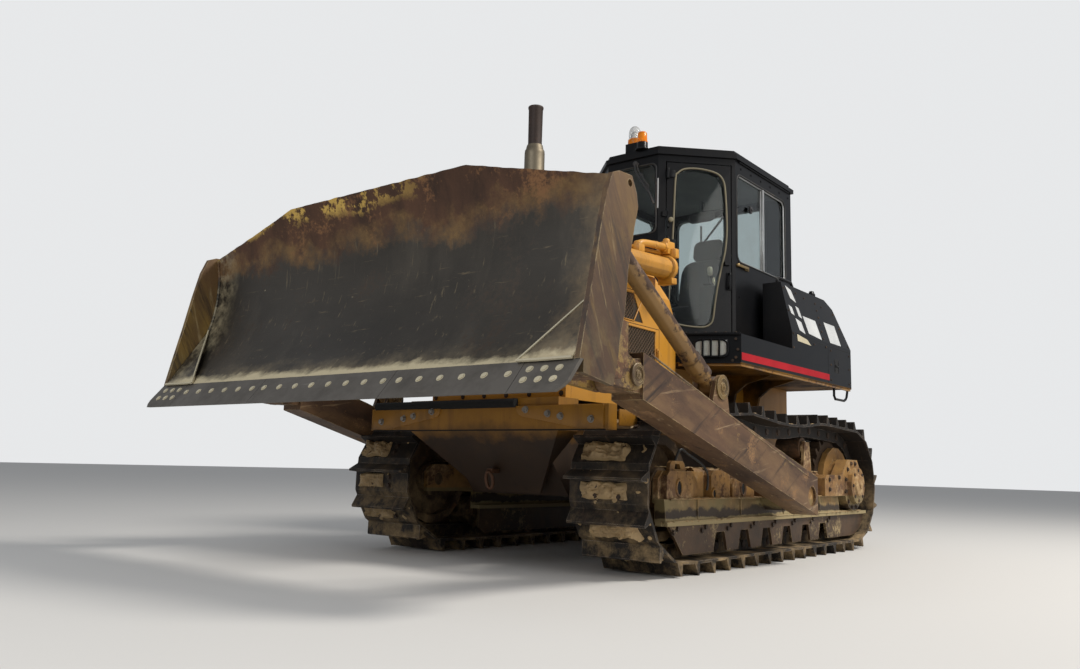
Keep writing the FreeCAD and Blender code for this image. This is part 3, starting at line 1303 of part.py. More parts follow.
def make_cab_inside():
    floor = s.deck_top
    x = s.seat_x
    half = s.seat_width / 2
    top = floor + s.seat_rise
    base = block("seat_base", x - 80, -half + 70, floor, 380, s.seat_width - 140, s.seat_rise)
    cushion = block("seat_cushion_block", x - 160, -half, top, 540, s.seat_width, s.seat_cushion)
    low = top + s.seat_cushion - 24
    high = low + s.seat_back
    back = slab("seat_back_block", "XZ", [(x - 160, low), (x - 20, low), (x - 110, high), (x - 220, high)],
                -half + 20, half - 20)
    crown = high + s.seat_head
    rest = [(x - 210, high), (x - 130, high), (x - 160, crown), (x - 235, crown)]
    head = slab("seat_head_block", "XZ", rest, -half * 0.54, half * 0.54)
    keep("seat", fuse("seat", [base, cushion, back, head]))
    stands = []
    for number, y in enumerate((-half - 210, half + 50)):
        stand = block("armrest_%d" % number, x - 120, y, floor, 620, 160, s.stand_height)
        lever = bar("lever_%d" % number, x + 420, y + 60, floor + s.stand_height - 10, 16, 190, 6, "z")
        stands.append(fuse("stand_%d" % number, [stand, lever]))
    front = s.cab_front_x - s.cab_wall
    tall = floor + s.stand_height
    dash = slab("dash", "XZ", [(front - 150, floor), (front - 60, floor), (front - 30, tall),
                               (front - 210, tall + 60), (front - 290, tall)], -200, 200)
    keep("controls", group("controls", stands + [dash]))


def make_side_box():
    lean = s.box_lean
    front = slab("side_box_front", "YZ", [
        (s.box_inner, s.deck_top), (s.box_outer, s.deck_top), (s.box_outer, s.deck_top + 150),
        (s.box_outer - lean, s.box_top), (s.box_inner, s.box_top),
    ], s.fender_rear_x, s.box_front_x)
    wedge = slab("side_box_wedge", "XZ", [
        (s.fender_rear_x - 50, s.deck_top + 150), (s.fender_rear_x, s.deck_top + 150),
        (s.fender_rear_x + 250, s.box_top - 70), (s.fender_rear_x + 420, s.box_top),
        (s.fender_rear_x + 420, s.box_top + 60), (s.fender_rear_x - 50, s.box_top + 60),
    ], s.box_inner - 30, s.box_outer + 30)
    keep_both("side_boxes", cut("side_box", front, [wedge]))
    tank = slab("tank", "XZ", [
        (s.fender_rear_x, s.deck_top), (s.tank_front_x, s.deck_top), (s.tank_front_x, s.tank_top),
        (s.fender_rear_x + 320, s.tank_top), (s.fender_rear_x, s.deck_top + 190),
    ], -s.tank_half_width, s.tank_half_width)
    keep("fuel_tank", tank)


def rod_path(name, points, radius):
    """A six-sided rod along straight runs whose corners are cut twice."""
    spots = [Vector(*p) for p in points]
    line = [spots[0]]
    for before, corner, after in zip(spots, spots[1:], spots[2:]):
        into = (corner - before).normalize()
        away = (after - corner).normalize()
        trim = radius * 2.5
        line += [corner - into * trim, corner + away * trim]
    line.append(spots[-1])
    wire = Part.makePolygon(line)
    way = (spots[1] - spots[0]).normalize()
    side = Vector(0, 1, 0) if abs(way.y) < 0.9 else Vector(1, 0, 0)
    other = way.cross(side).normalize()
    rim = [spots[0] + (side * math.cos(a) + other * math.sin(a)) * radius
           for a in (math.pi / 3 * k for k in range(7))]
    rod = doc.addObject("Part::Feature", name)
    rod.Shape = wire.makePipeShell([Part.makePolygon(rim)], True, False, 1)
    return rod


def make_rails():
    top = s.box_top.value
    y = s.box_outer.value - s.box_lean.value - 60
    rear = s.fender_rear_x.value
    low = s.deck_bottom.value
    front = s.rail_front_x.value
    back = front - s.rail_length.value
    high = top + s.rail_height.value
    rail = rod_path("box_rail", [(front, y, top), (front, y, high), (back, y, high), (back, y, top)], 13)
    side = s.deck_half_width.value - 60
    drop = s.step_drop.value
    end = rear - 50
    loop = rod_path("step_loop", [
        (rear + 300, side, low), (rear + 300, side, low - drop), (end + 60, side, low - drop),
        (end, side, low - 50), (end, side, low + 60), (rear, side, low + 60),
    ], 12)
    keep_both("hand_rails", group("rails", [rail, loop]))


def make_lamps():
    drop = s.deck_half_width - s.hood_half_width - 20
    turn = math.degrees(math.atan2(s.fender_nose.value, drop.value))
    inner = s.lamp_inset + s.lamp_width * math.cos(math.radians(turn))
    lamp = doc.addObject("Part::Box", "lamp")
    lamp.Placement = Placement(Vector(0, 0, 0), Rotation(Vector(0, 0, 1), turn))
    bind(lamp, "Length", s.lamp_depth)
    bind(lamp, "Width", s.lamp_width)
    bind(lamp, "Height", s.lamp_height)
    bind(lamp, "Placement.Base.x", s.fender_front_x + s.fender_nose / drop * inner)
    bind(lamp, "Placement.Base.y", s.deck_half_width - inner)
    bind(lamp, "Placement.Base.z", (s.deck_bottom + s.deck_top - s.lamp_height) / 2)
    facing = Vector(math.cos(math.radians(turn)), math.sin(math.radians(turn)), 0)
    doc.recompute()
    edges = []
    for number, edge in enumerate(lamp.Shape.Edges, start=1):
        if abs((edge.Vertexes[1].Point - edge.Vertexes[0].Point).normalize().dot(facing)) > 0.999:
            edges.append((number, s.lamp_corner.value, s.lamp_corner.value))
    cut_lamp = doc.addObject("Part::Chamfer", "lamp_cut")
    cut_lamp.Base = lamp
    cut_lamp.Edges = edges
    keep_both("fender_lamps", cut_lamp)
    roof = s.roof_bottom + s.roof_thickness
    beacons = []
    places = ((s.cab_front_x - 140, -s.beacon_side, s.beacon_foot + 50, s.beacon_tall),
              (s.cab_front_x - 20, s.beacon_side, s.beacon_foot, s.beacon_low))
    for number, (x, side, lift, tall) in enumerate(places):
        foot = bar("beacon_foot_%d" % number, x, side, roof, s.beacon_radius * 0.7, lift, 8, "z")
        base = bar("beacon_base_%d" % number, x, side, roof + lift, s.beacon_radius, 24, 10, "z")
        top = roof + lift + 24
        dome = bar("beacon_dome_%d" % number, x, side, top, s.beacon_radius * 0.85, tall, 10, "z")
        beacons.append(fuse("beacon_%d" % number, [foot, base, dome]))
    keep("beacons", group("beacons", beacons))


def make_drawbar():
    body = doc.addObject("PartDesign::Body", "drawbar_body")
    plane = [p for p in body.Origin.OriginFeatures if p.Role == "XZ_Plane"][0]
    side = body.newObject("Sketcher::SketchObject", "drawbar_side")
    side.AttachmentSupport = [(plane, "")]
    side.MapMode = "FlatFace"
    z = s.drawbar_height
    rear = s.drawbar_rear_x
    front = s.hull_rear_x
    draw_outline(side, [
        (front, z - 110), (front, z + 210), (front - 60, z + 210), (front - 120, z + 95),
        (rear + 40, z + 95), (rear, z + 60), (rear, z + 42), (front - 150, z + 42),
        (front - 150, z - 42), (rear, z - 42), (rear, z - 60), (rear + 40, z - 95), (front - 60, z - 95),
    ])
    pad = body.newObject("PartDesign::Pad", "drawbar_block")
    pad.Profile = side
    pad.SideType = "Symmetric"
    bind(pad, "Length", s.drawbar_width)
    doc.recompute()
    level = [p for p in body.Origin.OriginFeatures if p.Role == "XY_Plane"][0]
    bore = body.newObject("Sketcher::SketchObject", "drawbar_bore")
    bore.AttachmentSupport = [(level, "")]
    bore.MapMode = "FlatFace"
    draw_circle(bore, rear + 90, 0, s.drawbar_pin_radius)
    hole = body.newObject("PartDesign::Pocket", "drawbar_bore_cut")
    hole.Profile = bore
    hole.SideType = "Symmetric"
    bind(hole, "Length", s.drawbar_height * 4)
    body.Tip = hole
    keep("drawbar", body)


def make_blade():
    foot = (s.blade_foot_x, s.blade_foot_height)
    head = (s.blade_head_x, s.blade_head_height)
    plate = s.blade_plate
    curve = slab("blade_curve", "XZ", [
        (foot[0], foot[1], -blade_curve), (head[0], head[1]),
        (head[0] - plate, head[1], blade_curve), (foot[0] - plate, foot[1]),
    ], -blade_half, blade_half)
    corner = s.blade_corner_height
    above = s.blade_head_height + 100
    flat = blade_half * s.blade_flat_share
    side_cut = slab("blade_corner_cut", "YZ", [
        (flat, s.blade_head_height), (blade_half, corner),
        (blade_half + 50, corner), (blade_half + 50, above), (flat, above),
    ], s.back_x - 300, tip_x)
    keep("moldboard", cut("moldboard", curve, [side_cut, mirrored(side_cut, "blade_corner_cut_right")]))


def blade_front_space():
    """Everything before the back of the curved plate, to trim what is welded to its back."""
    back = -s.blade_plate
    return slab("blade_front_space", "XZ", [
        (s.blade_foot_x + back, s.blade_foot_height, -blade_curve),
        (s.blade_head_x + back, s.blade_head_height), (tip_x + 300, s.blade_head_height),
        (tip_x + 300, s.blade_foot_height - 400), (s.blade_foot_x + back, s.blade_foot_height - 400),
    ], -blade_half - 200, blade_half + 200)


def on_line(a, b, x):
    """Second value at the first value x of the straight line through two points."""
    return a[1] + (b[1] - a[1]) * ((as_size(x) - a[0]) / (as_size(b[0]) - a[0]))


def lug_faces(middle, gap, thickness):
    """Start and end along Y of the two lugs beside a gap's middle."""
    return [(middle - gap - thickness, middle - gap), (middle + gap, middle + gap + thickness)]


def make_blade_back():
    """Box beams, ribs and lugs behind the curved plate, each one welded to its neighbours."""
    half = blade_half
    back = s.back_x
    low = s.blade_foot_height - 55
    high = s.brace_head_height
    lower_top = [(back, low + 280), (s.blade_foot_x, low + 330)]
    upper_foot = [(back, high - 60), (s.blade_head_x, high - 100)]
    parts = [
        slab("lower_beam", "XZ", [
            (back + 60, low), (s.blade_foot_x, low), lower_top[1], lower_top[0], (back, low + 60),
        ], -half, half),
        slab("upper_beam", "XZ", [
            upper_foot[0], upper_foot[1], (s.blade_head_x, high + 85), (back, high + 45)], -half, half),
    ]
    for number, share in enumerate((-0.672, -0.222, 0.199, 0.648)):
        rear = back + 10
        parts.append(slab("rib_%d" % number, "XZ", [
            (rear, on_line(*lower_top, rear)), lower_top[1],
            upper_foot[1], (rear, on_line(*upper_foot, rear)),
        ], half * share, half * share + s.rib_thickness))
    lift_gap = s.lift_eye_width / 2 + s.lift_clevis_gap
    arm_gap = (s.arm_width) / 2 - s.arm_neck_inset + 5
    brace_gap = s.brace_eye_width / 2 + s.lug_clearance
    for side in (-1, 1):
        for number, (start, end) in enumerate(lug_faces(s.lift_y * side, lift_gap, s.lift_lug_thickness)):
            parts.append(slab("lift_lug_%d_%d" % (side + 1, number), "XZ", [
                (s.lift_eye_x - 75, s.lift_eye_height - 40), (s.lift_eye_x - 40, s.lift_eye_height - 75),
                upper_foot[0], (back, high + 45),
                (s.lift_eye_x + 30, s.lift_eye_height + 80), (s.lift_eye_x - 50, s.lift_eye_height + 60),
            ], start, end))
        middle = arm_middle * side
        for number, (start, end) in enumerate(lug_faces(middle, arm_gap, s.lug_thickness)):
            parts.append(slab("arm_lug_%d_%d" % (side + 1, number), "XZ", [
                (s.arm_pin_x - 60, s.arm_pin_height - 60), (s.arm_pin_x, s.arm_pin_height - s.lug_radius),
                (back + 60, low), (back, low + 60), (back, low + 250),
                (s.arm_pin_x + 40, s.arm_pin_height + s.lug_radius),
                (s.arm_pin_x - 50, s.arm_pin_height + 65),
            ], start, end, holes=[polygon(s.arm_pin_x, s.arm_pin_height, s.arm_pin_radius + s.seat_gap, 8)]))
        for number, (start, end) in enumerate(lug_faces(arm_middle * side, brace_gap, s.brace_lug_thickness)):
            parts.append(slab("brace_lug_%d_%d" % (side + 1, number), "XZ", [
                (s.brace_head_x - 60, high - 45), (s.brace_head_x + 10, high - 75), upper_foot[0],
                (back, high + 45), (s.brace_head_x, high + 70), (s.brace_head_x - 60, high + 45),
            ], start, end, holes=[polygon(s.brace_head_x, high, s.brace_pin_radius + s.seat_gap, 8)]))
    front = blade_front_space()
    beams = [cut("welded_%d" % number, part, [front]) for number, part in enumerate(parts[:6])]
    keep("blade_back", group("blade_back", beams + parts[6:]))


def make_end_plate():
    foot_x = s.blade_foot_x
    foot_z = s.blade_foot_height
    back = s.back_x
    behind_bit = foot_x - s.edge_thickness - s.seat_gap
    plate = slab("end_plate", "XZ", [
        (foot_x + 4, foot_z), (foot_x - 40, foot_z + 190), (foot_x - 95, foot_z + 415),
        (foot_x - 145, foot_z + 640), (foot_x - 190, foot_z + 815), (foot_x - 235, foot_z + 918),
        (foot_x - 290, s.blade_corner_height + 8), (back + 30, s.blade_corner_height + 14),
        (back - 14, foot_z + 865), (back - 28, foot_z + 800), (back + 4, foot_z + 690),
        (back + 55, foot_z + 468), (back + 77, foot_z + 265), (back + 117, foot_z + 135),
        (back + 131, foot_z + 40), (back + 170, foot_z - 100), (behind_bit, foot_z - 60),
        (behind_bit, foot_z),
    ], blade_half, blade_half + s.end_plate,
        holes=[polygon(back + 47, s.blade_corner_height - 28, s.end_plate_hole, 8)])
    keep_both("end_plates", plate)


def edge_section():
    """Section of a cutting edge plate in X and Z, its lower face level."""
    rise = s.edge_drop
    run = s.edge_reach
    back = s.edge_thickness
    return [(tip_x, tip_height), (tip_x - run, tip_height + rise),
            (tip_x - run - back, tip_height + rise), (tip_x - back, tip_height)]


def make_cutting_edge():
    joint = blade_half * s.edge_joint_share
    bit_joint = blade_half * s.bit_joint_share
    seams = [(-bit_joint, -joint - s.edge_gap), (-joint, joint), (joint + s.edge_gap, bit_joint)]
    plates = [slab("edge_plate_%d" % i, "XZ", edge_section(), a, b) for i, (a, b) in enumerate(seams)]
    keep("cutting_edge", group("cutting_edge", plates))
    outer = blade_half + s.end_plate
    bit = slab("end_bit", "XZ", edge_section(), bit_joint + s.edge_gap, outer)
    wear = slab("end_bit_wear", "YZ", [
        (outer - 55, tip_height - 10), (outer + 10, tip_height - 10), (outer + 10, tip_height + 70),
        (outer - 14, tip_height + 24),
    ], s.blade_foot_x - 100, tip_x + 50)
    worn = cut("end_bit_worn", bit, [wear])
    keep("end_bits", group("end_bits", [worn, mirrored(worn, "end_bit_right")]))


def make_push_arm():
    middle = arm_middle
    beam = slab("arm_beam", "XZ", [
        (s.arm_rear_x, s.arm_rear_bottom), (s.arm_front_x, s.arm_front_bottom),
        (s.arm_front_x, s.arm_front_top), (s.arm_rear_x, s.arm_rear_top),
    ], arm_inner, arm_outer,
        holes=[polygon(s.trunnion_x, s.trunnion_height, facet(s.trunnion_radius + 0.5, 16), 16)])
    width = (s.arm_width) / 2 - s.arm_neck_inset
    eye = bar("arm_eye", s.arm_pin_x, middle - width, s.arm_pin_height, s.arm_eye_radius, width * 2, 12)
    neck = slab("arm_neck", "XZ", [
        (s.arm_front_x - 60, s.arm_front_bottom + 35), (s.arm_pin_x, s.arm_pin_height - s.arm_eye_radius + 5),
        (s.arm_pin_x, s.arm_pin_height + s.arm_eye_radius - 5), (s.arm_front_x - 60, s.arm_front_top - 25),
    ], middle - width, middle + width)
    reach = width + 10 + s.lug_thickness
    pin = bar("arm_pin", s.arm_pin_x, middle - reach, s.arm_pin_height, s.arm_pin_radius, reach * 2, 8)
    parts = [beam, neck, eye, pin]
    gap = s.brace_eye_width / 2 + s.lug_clearance
    x, z = s.brace_foot_x, s.brace_foot_height
    for number, (start, end) in enumerate(lug_faces(arm_middle, gap, s.brace_lug_thickness)):
        parts.append(slab("foot_lug_%d" % number, "XZ", [
            (x - 120, z - 210), (x + 130, z - 150), (x + 62, z + 35), (x, z + 72), (x - 62, z + 35),
        ], start, end, holes=[polygon(x, z, s.brace_pin_radius + s.seat_gap, 8)]))
    keep_pair("push_arm", fuse("push_arm", parts))


def lean_bar(name, foot, way, radius, length, sides=10):
    """A bar of many flats from a point along any direction."""
    solid = doc.addObject("Part::Prism", name)
    solid.Polygon = sides
    bind(solid, "Circumradius", radius)
    bind(solid, "Height", length)
    solid.Placement = Placement(foot, Rotation(Vector(0, 0, 1), way))
    return solid


def strut(name, y, sections):
    """A brace from the arm's pin to the blade's pin: sections along its length and an eye at each end."""
    foot = Vector(s.brace_foot_x.value, y.value, s.brace_foot_height.value)
    head = Vector(s.brace_head_x.value, y.value, s.brace_head_height.value)
    way = head - foot
    parts = []
    for number, (start, end, radius) in enumerate(sections):
        parts.append(lean_bar("%s_section_%d" % (name, number), foot + way * start, way, radius,
                              way.Length * (end - start)))
    width = s.brace_eye_width
    reach = width / 2 + s.lug_clearance + s.brace_lug_thickness + 2
    ends = ((s.brace_foot_x, s.brace_foot_height), (s.brace_head_x, s.brace_head_height))
    for number, (x, z) in enumerate(ends):
        parts.append(bar("%s_eye_%d" % (name, number), x, y - width / 2, z, s.brace_eye_radius, width, 10))
        parts.append(bar("%s_pin_%d" % (name, number), x, y - reach, z, s.brace_pin_radius, reach * 2, 8))
    return fuse(name, parts)


def make_braces():
    left = strut("brace", arm_middle, [
        (0.03, 0.10, s.brace_radius * 0.8), (0.10, 0.90, s.brace_radius),
        (0.14, 0.20, s.brace_radius * 1.16), (0.90, 0.97, s.brace_radius * 0.8)])
    keep("brace_left", left)
    right = strut("tilt_cylinder", -arm_middle, [
        (0.03, 0.14, s.brace_radius * 0.8), (0.14, 0.62, s.tilt_barrel_radius),
        (0.62, 0.66, s.tilt_barrel_radius * 1.1), (0.66, 0.97, s.brace_radius * 0.72)])
    keep("tilt_cylinder_right", right)


def along_lift(start, end, radius, name, sides=12):
    """A section along the lift cylinder's axis, measured forward from its pivot."""
    pivot = Vector(s.lift_pivot_x.value, s.lift_y.value, s.lift_pivot_height.value)
    eye = Vector(s.lift_eye_x.value, s.lift_y.value, s.lift_eye_height.value)
    way = (eye - pivot).normalize()
    return lean_bar(name, pivot + way * as_size(start).value, way, radius, as_size(end) - start, sides)


def make_lift():
    wall = s.lift_barrel_wall
    tube = along_lift(-s.lift_rear, s.lift_front, s.lift_barrel_radius, "lift_tube")
    bore = along_lift(-s.lift_rear + 30, s.lift_front - 60, s.lift_barrel_radius - wall, "lift_bore")
    gland = along_lift(s.lift_front - 80, s.lift_front + 5, s.lift_rod_radius + s.lift_rod_clearance,
                       "lift_gland")
    collar = along_lift(as_size(-60), as_size(60), s.lift_barrel_radius + s.collar, "lift_collar")
    head = along_lift(s.lift_front - 70, s.lift_front, s.lift_barrel_radius + s.collar, "lift_head")
    cap = along_lift(-s.lift_rear, 60 - s.lift_rear, s.lift_barrel_radius + s.collar, "lift_cap")
    base = s.hood_half_width + 22
    pin = disc("lift_trunnion", s.lift_pivot_x, base - 20, s.lift_pivot_height, s.lift_pin_radius,
               s.lift_y - base - s.lift_barrel_radius + 40)
    outside = fuse("lift_outside", [tube, collar, head, cap, pin])
    keep_pair("lift_barrel", cut("lift_barrel", outside, [bore, gland]))
    reach = math.hypot(s.lift_eye_x.value - s.lift_pivot_x.value,
                       s.lift_eye_height.value - s.lift_pivot_height.value)
    rear = s.piston_start - s.lift_rear
    rod = along_lift(rear, as_size(reach), s.lift_rod_radius, "lift_rod_bar")
    piston = along_lift(rear, rear + s.piston_length,
                        s.lift_barrel_radius - wall - s.lift_rod_clearance, "lift_piston")
    eye = bar("lift_eye", s.lift_eye_x, s.lift_y - s.lift_eye_width / 2, s.lift_eye_height,
              s.lift_eye_radius, s.lift_eye_width, 12)
    pin_half = s.lift_eye_width / 2 + s.lift_clevis_gap - 5
    eye_pin = bar("lift_eye_pin", s.lift_eye_x, s.lift_y - pin_half, s.lift_eye_height,
                  s.lift_pin_radius, pin_half * 2, 8)
    keep_pair("lift_rod", fuse("lift_rod", [rod, piston, eye, eye_pin]))
    bracket = slab("lift_bracket", "XZ", [
        (s.lift_pivot_x - 160, s.hood_shoulder - 260), (s.lift_pivot_x + 160, s.hood_shoulder - 260),
        (s.lift_pivot_x + 75, s.lift_pivot_height + 60), (s.lift_pivot_x - 75, s.lift_pivot_height + 60),
    ], s.hood_half_width, base,
        holes=[polygon(s.lift_pivot_x, s.lift_pivot_height, facet(s.lift_pin_radius + 0.4, 12), 12)])
    keep_both("lift_brackets", bracket)


make_track()
make_sprocket()
make_idler()
make_rollers()
make_track_frame()
make_final_drive()
make_hull()
make_prow()
make_hood()
make_cowl()
make_radiator_guard()
make_exhaust()
make_platform()
make_cab()
make_door()
make_cab_inside()
make_side_box()
make_rails()
make_lamps()
make_drawbar()
make_blade()
make_blade_back()
make_end_plate()
make_cutting_edge()
make_push_arm()
make_braces()
make_lift()

doc.recompute()
failed = [o.Name for o in doc.Objects if "Invalid" in o.State or "Error" in o.State]
if failed:
    raise RuntimeError("failed: " + ", ".join(failed))
os.makedirs("parts", exist_ok=True)
for name, piece in pieces.items():
    shape = piece.Shape
    if shape.isNull() or not shape.isValid() or not shape.Solids:
        raise RuntimeError("bad shape: " + name)
for name, piece in pieces.items():
    piece.Shape.exportStep("parts/" + name + ".step")
    print(name, len(piece.Shape.Solids), "solids", round(piece.Shape.Volume / 1e6, 2), "litres")
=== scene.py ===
# Bulldozer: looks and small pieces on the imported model. Metres; X forward, Y left, Z up.
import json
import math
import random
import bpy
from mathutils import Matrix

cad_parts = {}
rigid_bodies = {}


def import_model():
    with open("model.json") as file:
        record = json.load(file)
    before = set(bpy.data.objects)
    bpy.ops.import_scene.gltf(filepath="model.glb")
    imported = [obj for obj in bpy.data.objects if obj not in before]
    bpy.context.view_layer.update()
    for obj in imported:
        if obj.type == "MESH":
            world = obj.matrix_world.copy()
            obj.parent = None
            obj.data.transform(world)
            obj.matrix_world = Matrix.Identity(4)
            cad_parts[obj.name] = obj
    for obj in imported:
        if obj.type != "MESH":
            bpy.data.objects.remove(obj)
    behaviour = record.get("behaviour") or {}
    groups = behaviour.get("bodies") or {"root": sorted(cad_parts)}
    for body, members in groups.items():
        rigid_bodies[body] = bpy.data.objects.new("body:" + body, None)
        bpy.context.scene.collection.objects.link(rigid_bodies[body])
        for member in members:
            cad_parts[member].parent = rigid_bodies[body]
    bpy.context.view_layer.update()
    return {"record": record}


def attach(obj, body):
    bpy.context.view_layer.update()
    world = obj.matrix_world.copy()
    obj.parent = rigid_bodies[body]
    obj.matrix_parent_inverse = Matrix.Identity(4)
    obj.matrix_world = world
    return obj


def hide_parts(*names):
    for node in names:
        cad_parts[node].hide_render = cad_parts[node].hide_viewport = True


bl_info = {
    "name": "Bulldozer",
    "version": (1, 0, 0),
    "blender": (4, 5, 0),
    "location": "3D View > Sidebar > Bulldozer",
    "description": "Materials, small pieces, stage and camera of a crawler bulldozer",
    "category": "Object",
}

import bmesh
import bpy
from bpy.props import FloatProperty, FloatVectorProperty, IntProperty, PointerProperty
from mathutils import Matrix, Vector, noise

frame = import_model()


def colour(name, default, text):
    return FloatVectorProperty(name=name, description=text, default=default, subtype="COLOR", size=3,
                               min=0, max=1)


class DOZER_PG_colours(bpy.types.PropertyGroup):
    """Colours a user would change."""
    paint: colour("Paint", (0.50, 0.225, 0.018), "Yellow paint of the hood, lift cylinders and hull")
    black: colour("Black", (0.005, 0.0052, 0.006), "Paint of the cab and the fenders")
    stripe: colour("Stripe", (0.33, 0.010, 0.016), "Stripe along the fenders")
    rust: colour("Rust", (0.10, 0.042, 0.018), "Rust on the blade and the arms")
    ochre: colour("Worn paint", (0.215, 0.130, 0.030), "Dirty paint of the arms and the blade's ends")
    steel: colour("Steel", (0.048, 0.040, 0.030), "Scoured face of the blade")
    mud: colour("Mud", (0.40, 0.275, 0.135), "Dried mud on the tracks")
    floor: colour("Floor", (0.60, 0.585, 0.56), "Floor of the stage")


class DOZER_PG_sizes(bpy.types.PropertyGroup):
    """Sizes and numbers a user would change."""
    gasket: FloatProperty(name="Gasket", description="Half width of the rubber round a window", default=0.011,
                          unit="LENGTH", min=0)
    clods: IntProperty(name="Clods", description="Lumps of dried mud on each track", default=150, min=0)
    lens: FloatProperty(name="Lens", description="Focal length of the camera in mm", default=29.77, min=1)


# Materials

def new_node(tree, kind, values=(), **settings):
    """A node with its settings; values fill its inputs, by name or number, or link them to other nodes."""
    node = tree.nodes.new(kind)
    for key, value in settings.items():
        setattr(node, key, value)
    for key, value in dict(values).items():
        feed(tree, node.inputs[key], value)
    return node


def feed(tree, socket, value):
    """A constant for a socket, or a link from another socket or from a node's first output."""
    if isinstance(value, bpy.types.Node):
        value = value.outputs[0]
    if isinstance(value, bpy.types.NodeSocket):
        tree.links.new(value, socket)
    else:
        socket.default_value = value


def tint(rgb, share):
    """A colour made darker or lighter."""
    return [c * share for c in rgb]


class Paint:
    """A layered procedural material in Object coordinates."""

    def __init__(self, name, base, rough=0.5, metal=0.0, coat=0.0):
        self.material = bpy.data.materials.new(name)
        self.material.use_nodes = True
        self.shader = self.material.node_tree.nodes["Principled BSDF"]
        self.shader.inputs["Coat Weight"].default_value = coat
        self.place = self.add("ShaderNodeTexCoord").outputs["Object"]
        self.axes = self.add("ShaderNodeSeparateXYZ", {0: self.place}).outputs
        self.base = (*base[:3], 1)
        self.rough = rough
        self.metal = metal
        self.height = None

    def add(self, kind, values=(), **settings):
        return new_node(self.material.node_tree, kind, values, **settings)

    def noise(self, scale, detail=5.0, rough=0.6, stretch=(1, 1, 1), turn=0.0):
        """Noise stretched along the axes, which turn about Y first."""
        place = self.place
        if turn:
            place = self.add("ShaderNodeMapping", {"Vector": place, "Rotation": (0, turn, 0)})
        place = self.add("ShaderNodeMapping", {"Vector": place, "Scale": stretch})
        values = {"Vector": place, "Scale": scale, "Detail": detail, "Roughness": rough}
        return self.add("ShaderNodeTexNoise", values).outputs[0]

    def span(self, value, low, high, start=0.0, end=1.0):
        """A value between low and high brought between start and end."""
        values = {"Value": value, "From Min": low, "From Max": high, "To Min": start, "To Max": end}
        return self.add("ShaderNodeMapRange", values).outputs[0]

    def maths(self, kind, a, b):
        return self.add("ShaderNodeMath", {0: a, 1: b}, operation=kind).outputs[0]

    def product(self, value, *others):
        for other in others:
            value = self.maths("MULTIPLY", value, other)
        return value

    def lean(self, first, first_share, second, second_share):
        """A distance along a slanting way between two axes."""
        return self.maths("ADD", self.product(self.axes[first], first_share),
                          self.product(self.axes[second], second_share))

    def roughen(self, value, scale, ragged):
        """A distance with a ragged border."""
        return self.maths("ADD", value, self.span(self.noise(scale, 8, 0.7), 0.3, 0.7, -ragged, ragged))

    def above(self, letter, low, high, ragged=0.0):
        """Mask that runs from 0 to 1 along an axis, with a ragged border."""
        value = self.axes["XYZ".index(letter)]
        if ragged:
            value = self.roughen(value, 3.5, ragged)
        return self.span(value, low, high)

    def below(self, letter, low, high, ragged=0.0):
        """Mask that runs from 1 to 0 along an axis."""
        return self.maths("SUBTRACT", 1.0, self.above(letter, low, high, ragged))

    def blend(self, mask, a, b):
        """Numbers or sockets mixed by a mask."""
        return self.maths("ADD", self.product(self.maths("SUBTRACT", 1.0, mask), a), self.product(mask, b))

    def layer(self, rgb, mask, rough=None, metal=None, raised=0.0):
        """A colour over the ones before it, with a roughness, metal and height of its own."""
        values = {0: mask, 6: self.base, 7: (*rgb[:3], 1)}
        self.base = self.add("ShaderNodeMix", values, data_type="RGBA").outputs[2]
        if rough is not None:
            self.rough = self.blend(mask, self.rough, rough)
        if metal is not None:
            self.metal = self.blend(mask, self.metal, metal)
        if raised:
            self.raise_by(mask, raised)

    def raise_by(self, value, amount):
        part = self.product(value, amount)
        self.height = part if self.height is None else self.maths("ADD", self.height, part)

    def patches(self, rgb, scale, low, high, *feel, stretch=(1, 1, 1), turn=0.0, within=()):
        """Patches where one noise is high; feel is roughness, metal and height."""
        mask = self.span(self.noise(scale, 7, 0.65, stretch, turn), low, high)
        self.layer(rgb, self.product(mask, *within), *feel)

    def worn(self, rgb, large, fine, start, width, *feel, within=()):
        """Ragged islands where a broad and a fine noise agree."""
        both = self.maths("ADD", self.product(self.noise(large, 6, 0.6), 0.62),
                          self.product(self.noise(fine, 8, 0.7), 0.38))
        self.layer(rgb, self.product(self.span(both, start, start + width), *within), *feel)

    def film(self, rgb, grain, low, high, amount, *feel):
        """A thin uneven film; grain is the scale, detail and roughness of its noise."""
        self.layer(rgb, self.span(self.noise(*grain), low, high, 0.0, amount), *feel)

    def edges(self, rgb, radius, rough, metal):
        """Bare metal along sharp edges."""
        bevel = self.add("ShaderNodeBevel", {"Radius": radius}, samples=4)
        flat = self.add("ShaderNodeNewGeometry")
        dot = self.add("ShaderNodeVectorMath", {0: bevel, 1: flat.outputs["Normal"]}, operation="DOT_PRODUCT")
        worn = self.span(dot.outputs["Value"], 0.995, 0.93)
        self.layer(rgb, self.product(worn, self.span(self.noise(9, 6), 0.42, 0.6)), rough, metal)

    def finish(self, bump, scale, distance, soft=0.0):
        """Fine grain in the bump, then the sockets; soft is how far the light rounds off facets."""
        self.raise_by(self.noise(scale, 4), 0.5)
        values = {"Strength": bump, "Distance": distance, "Height": self.height}
        if soft:
            values["Normal"] = self.add("ShaderNodeBevel", {"Radius": soft}, samples=6)
        grain = self.add("ShaderNodeBump", values)
        for name, value in (("Normal", grain), ("Base Color", self.base), ("Roughness", self.rough),
                            ("Metallic", self.metal)):
            feed(self.material.node_tree, self.shader.inputs[name], value)
        return self.material


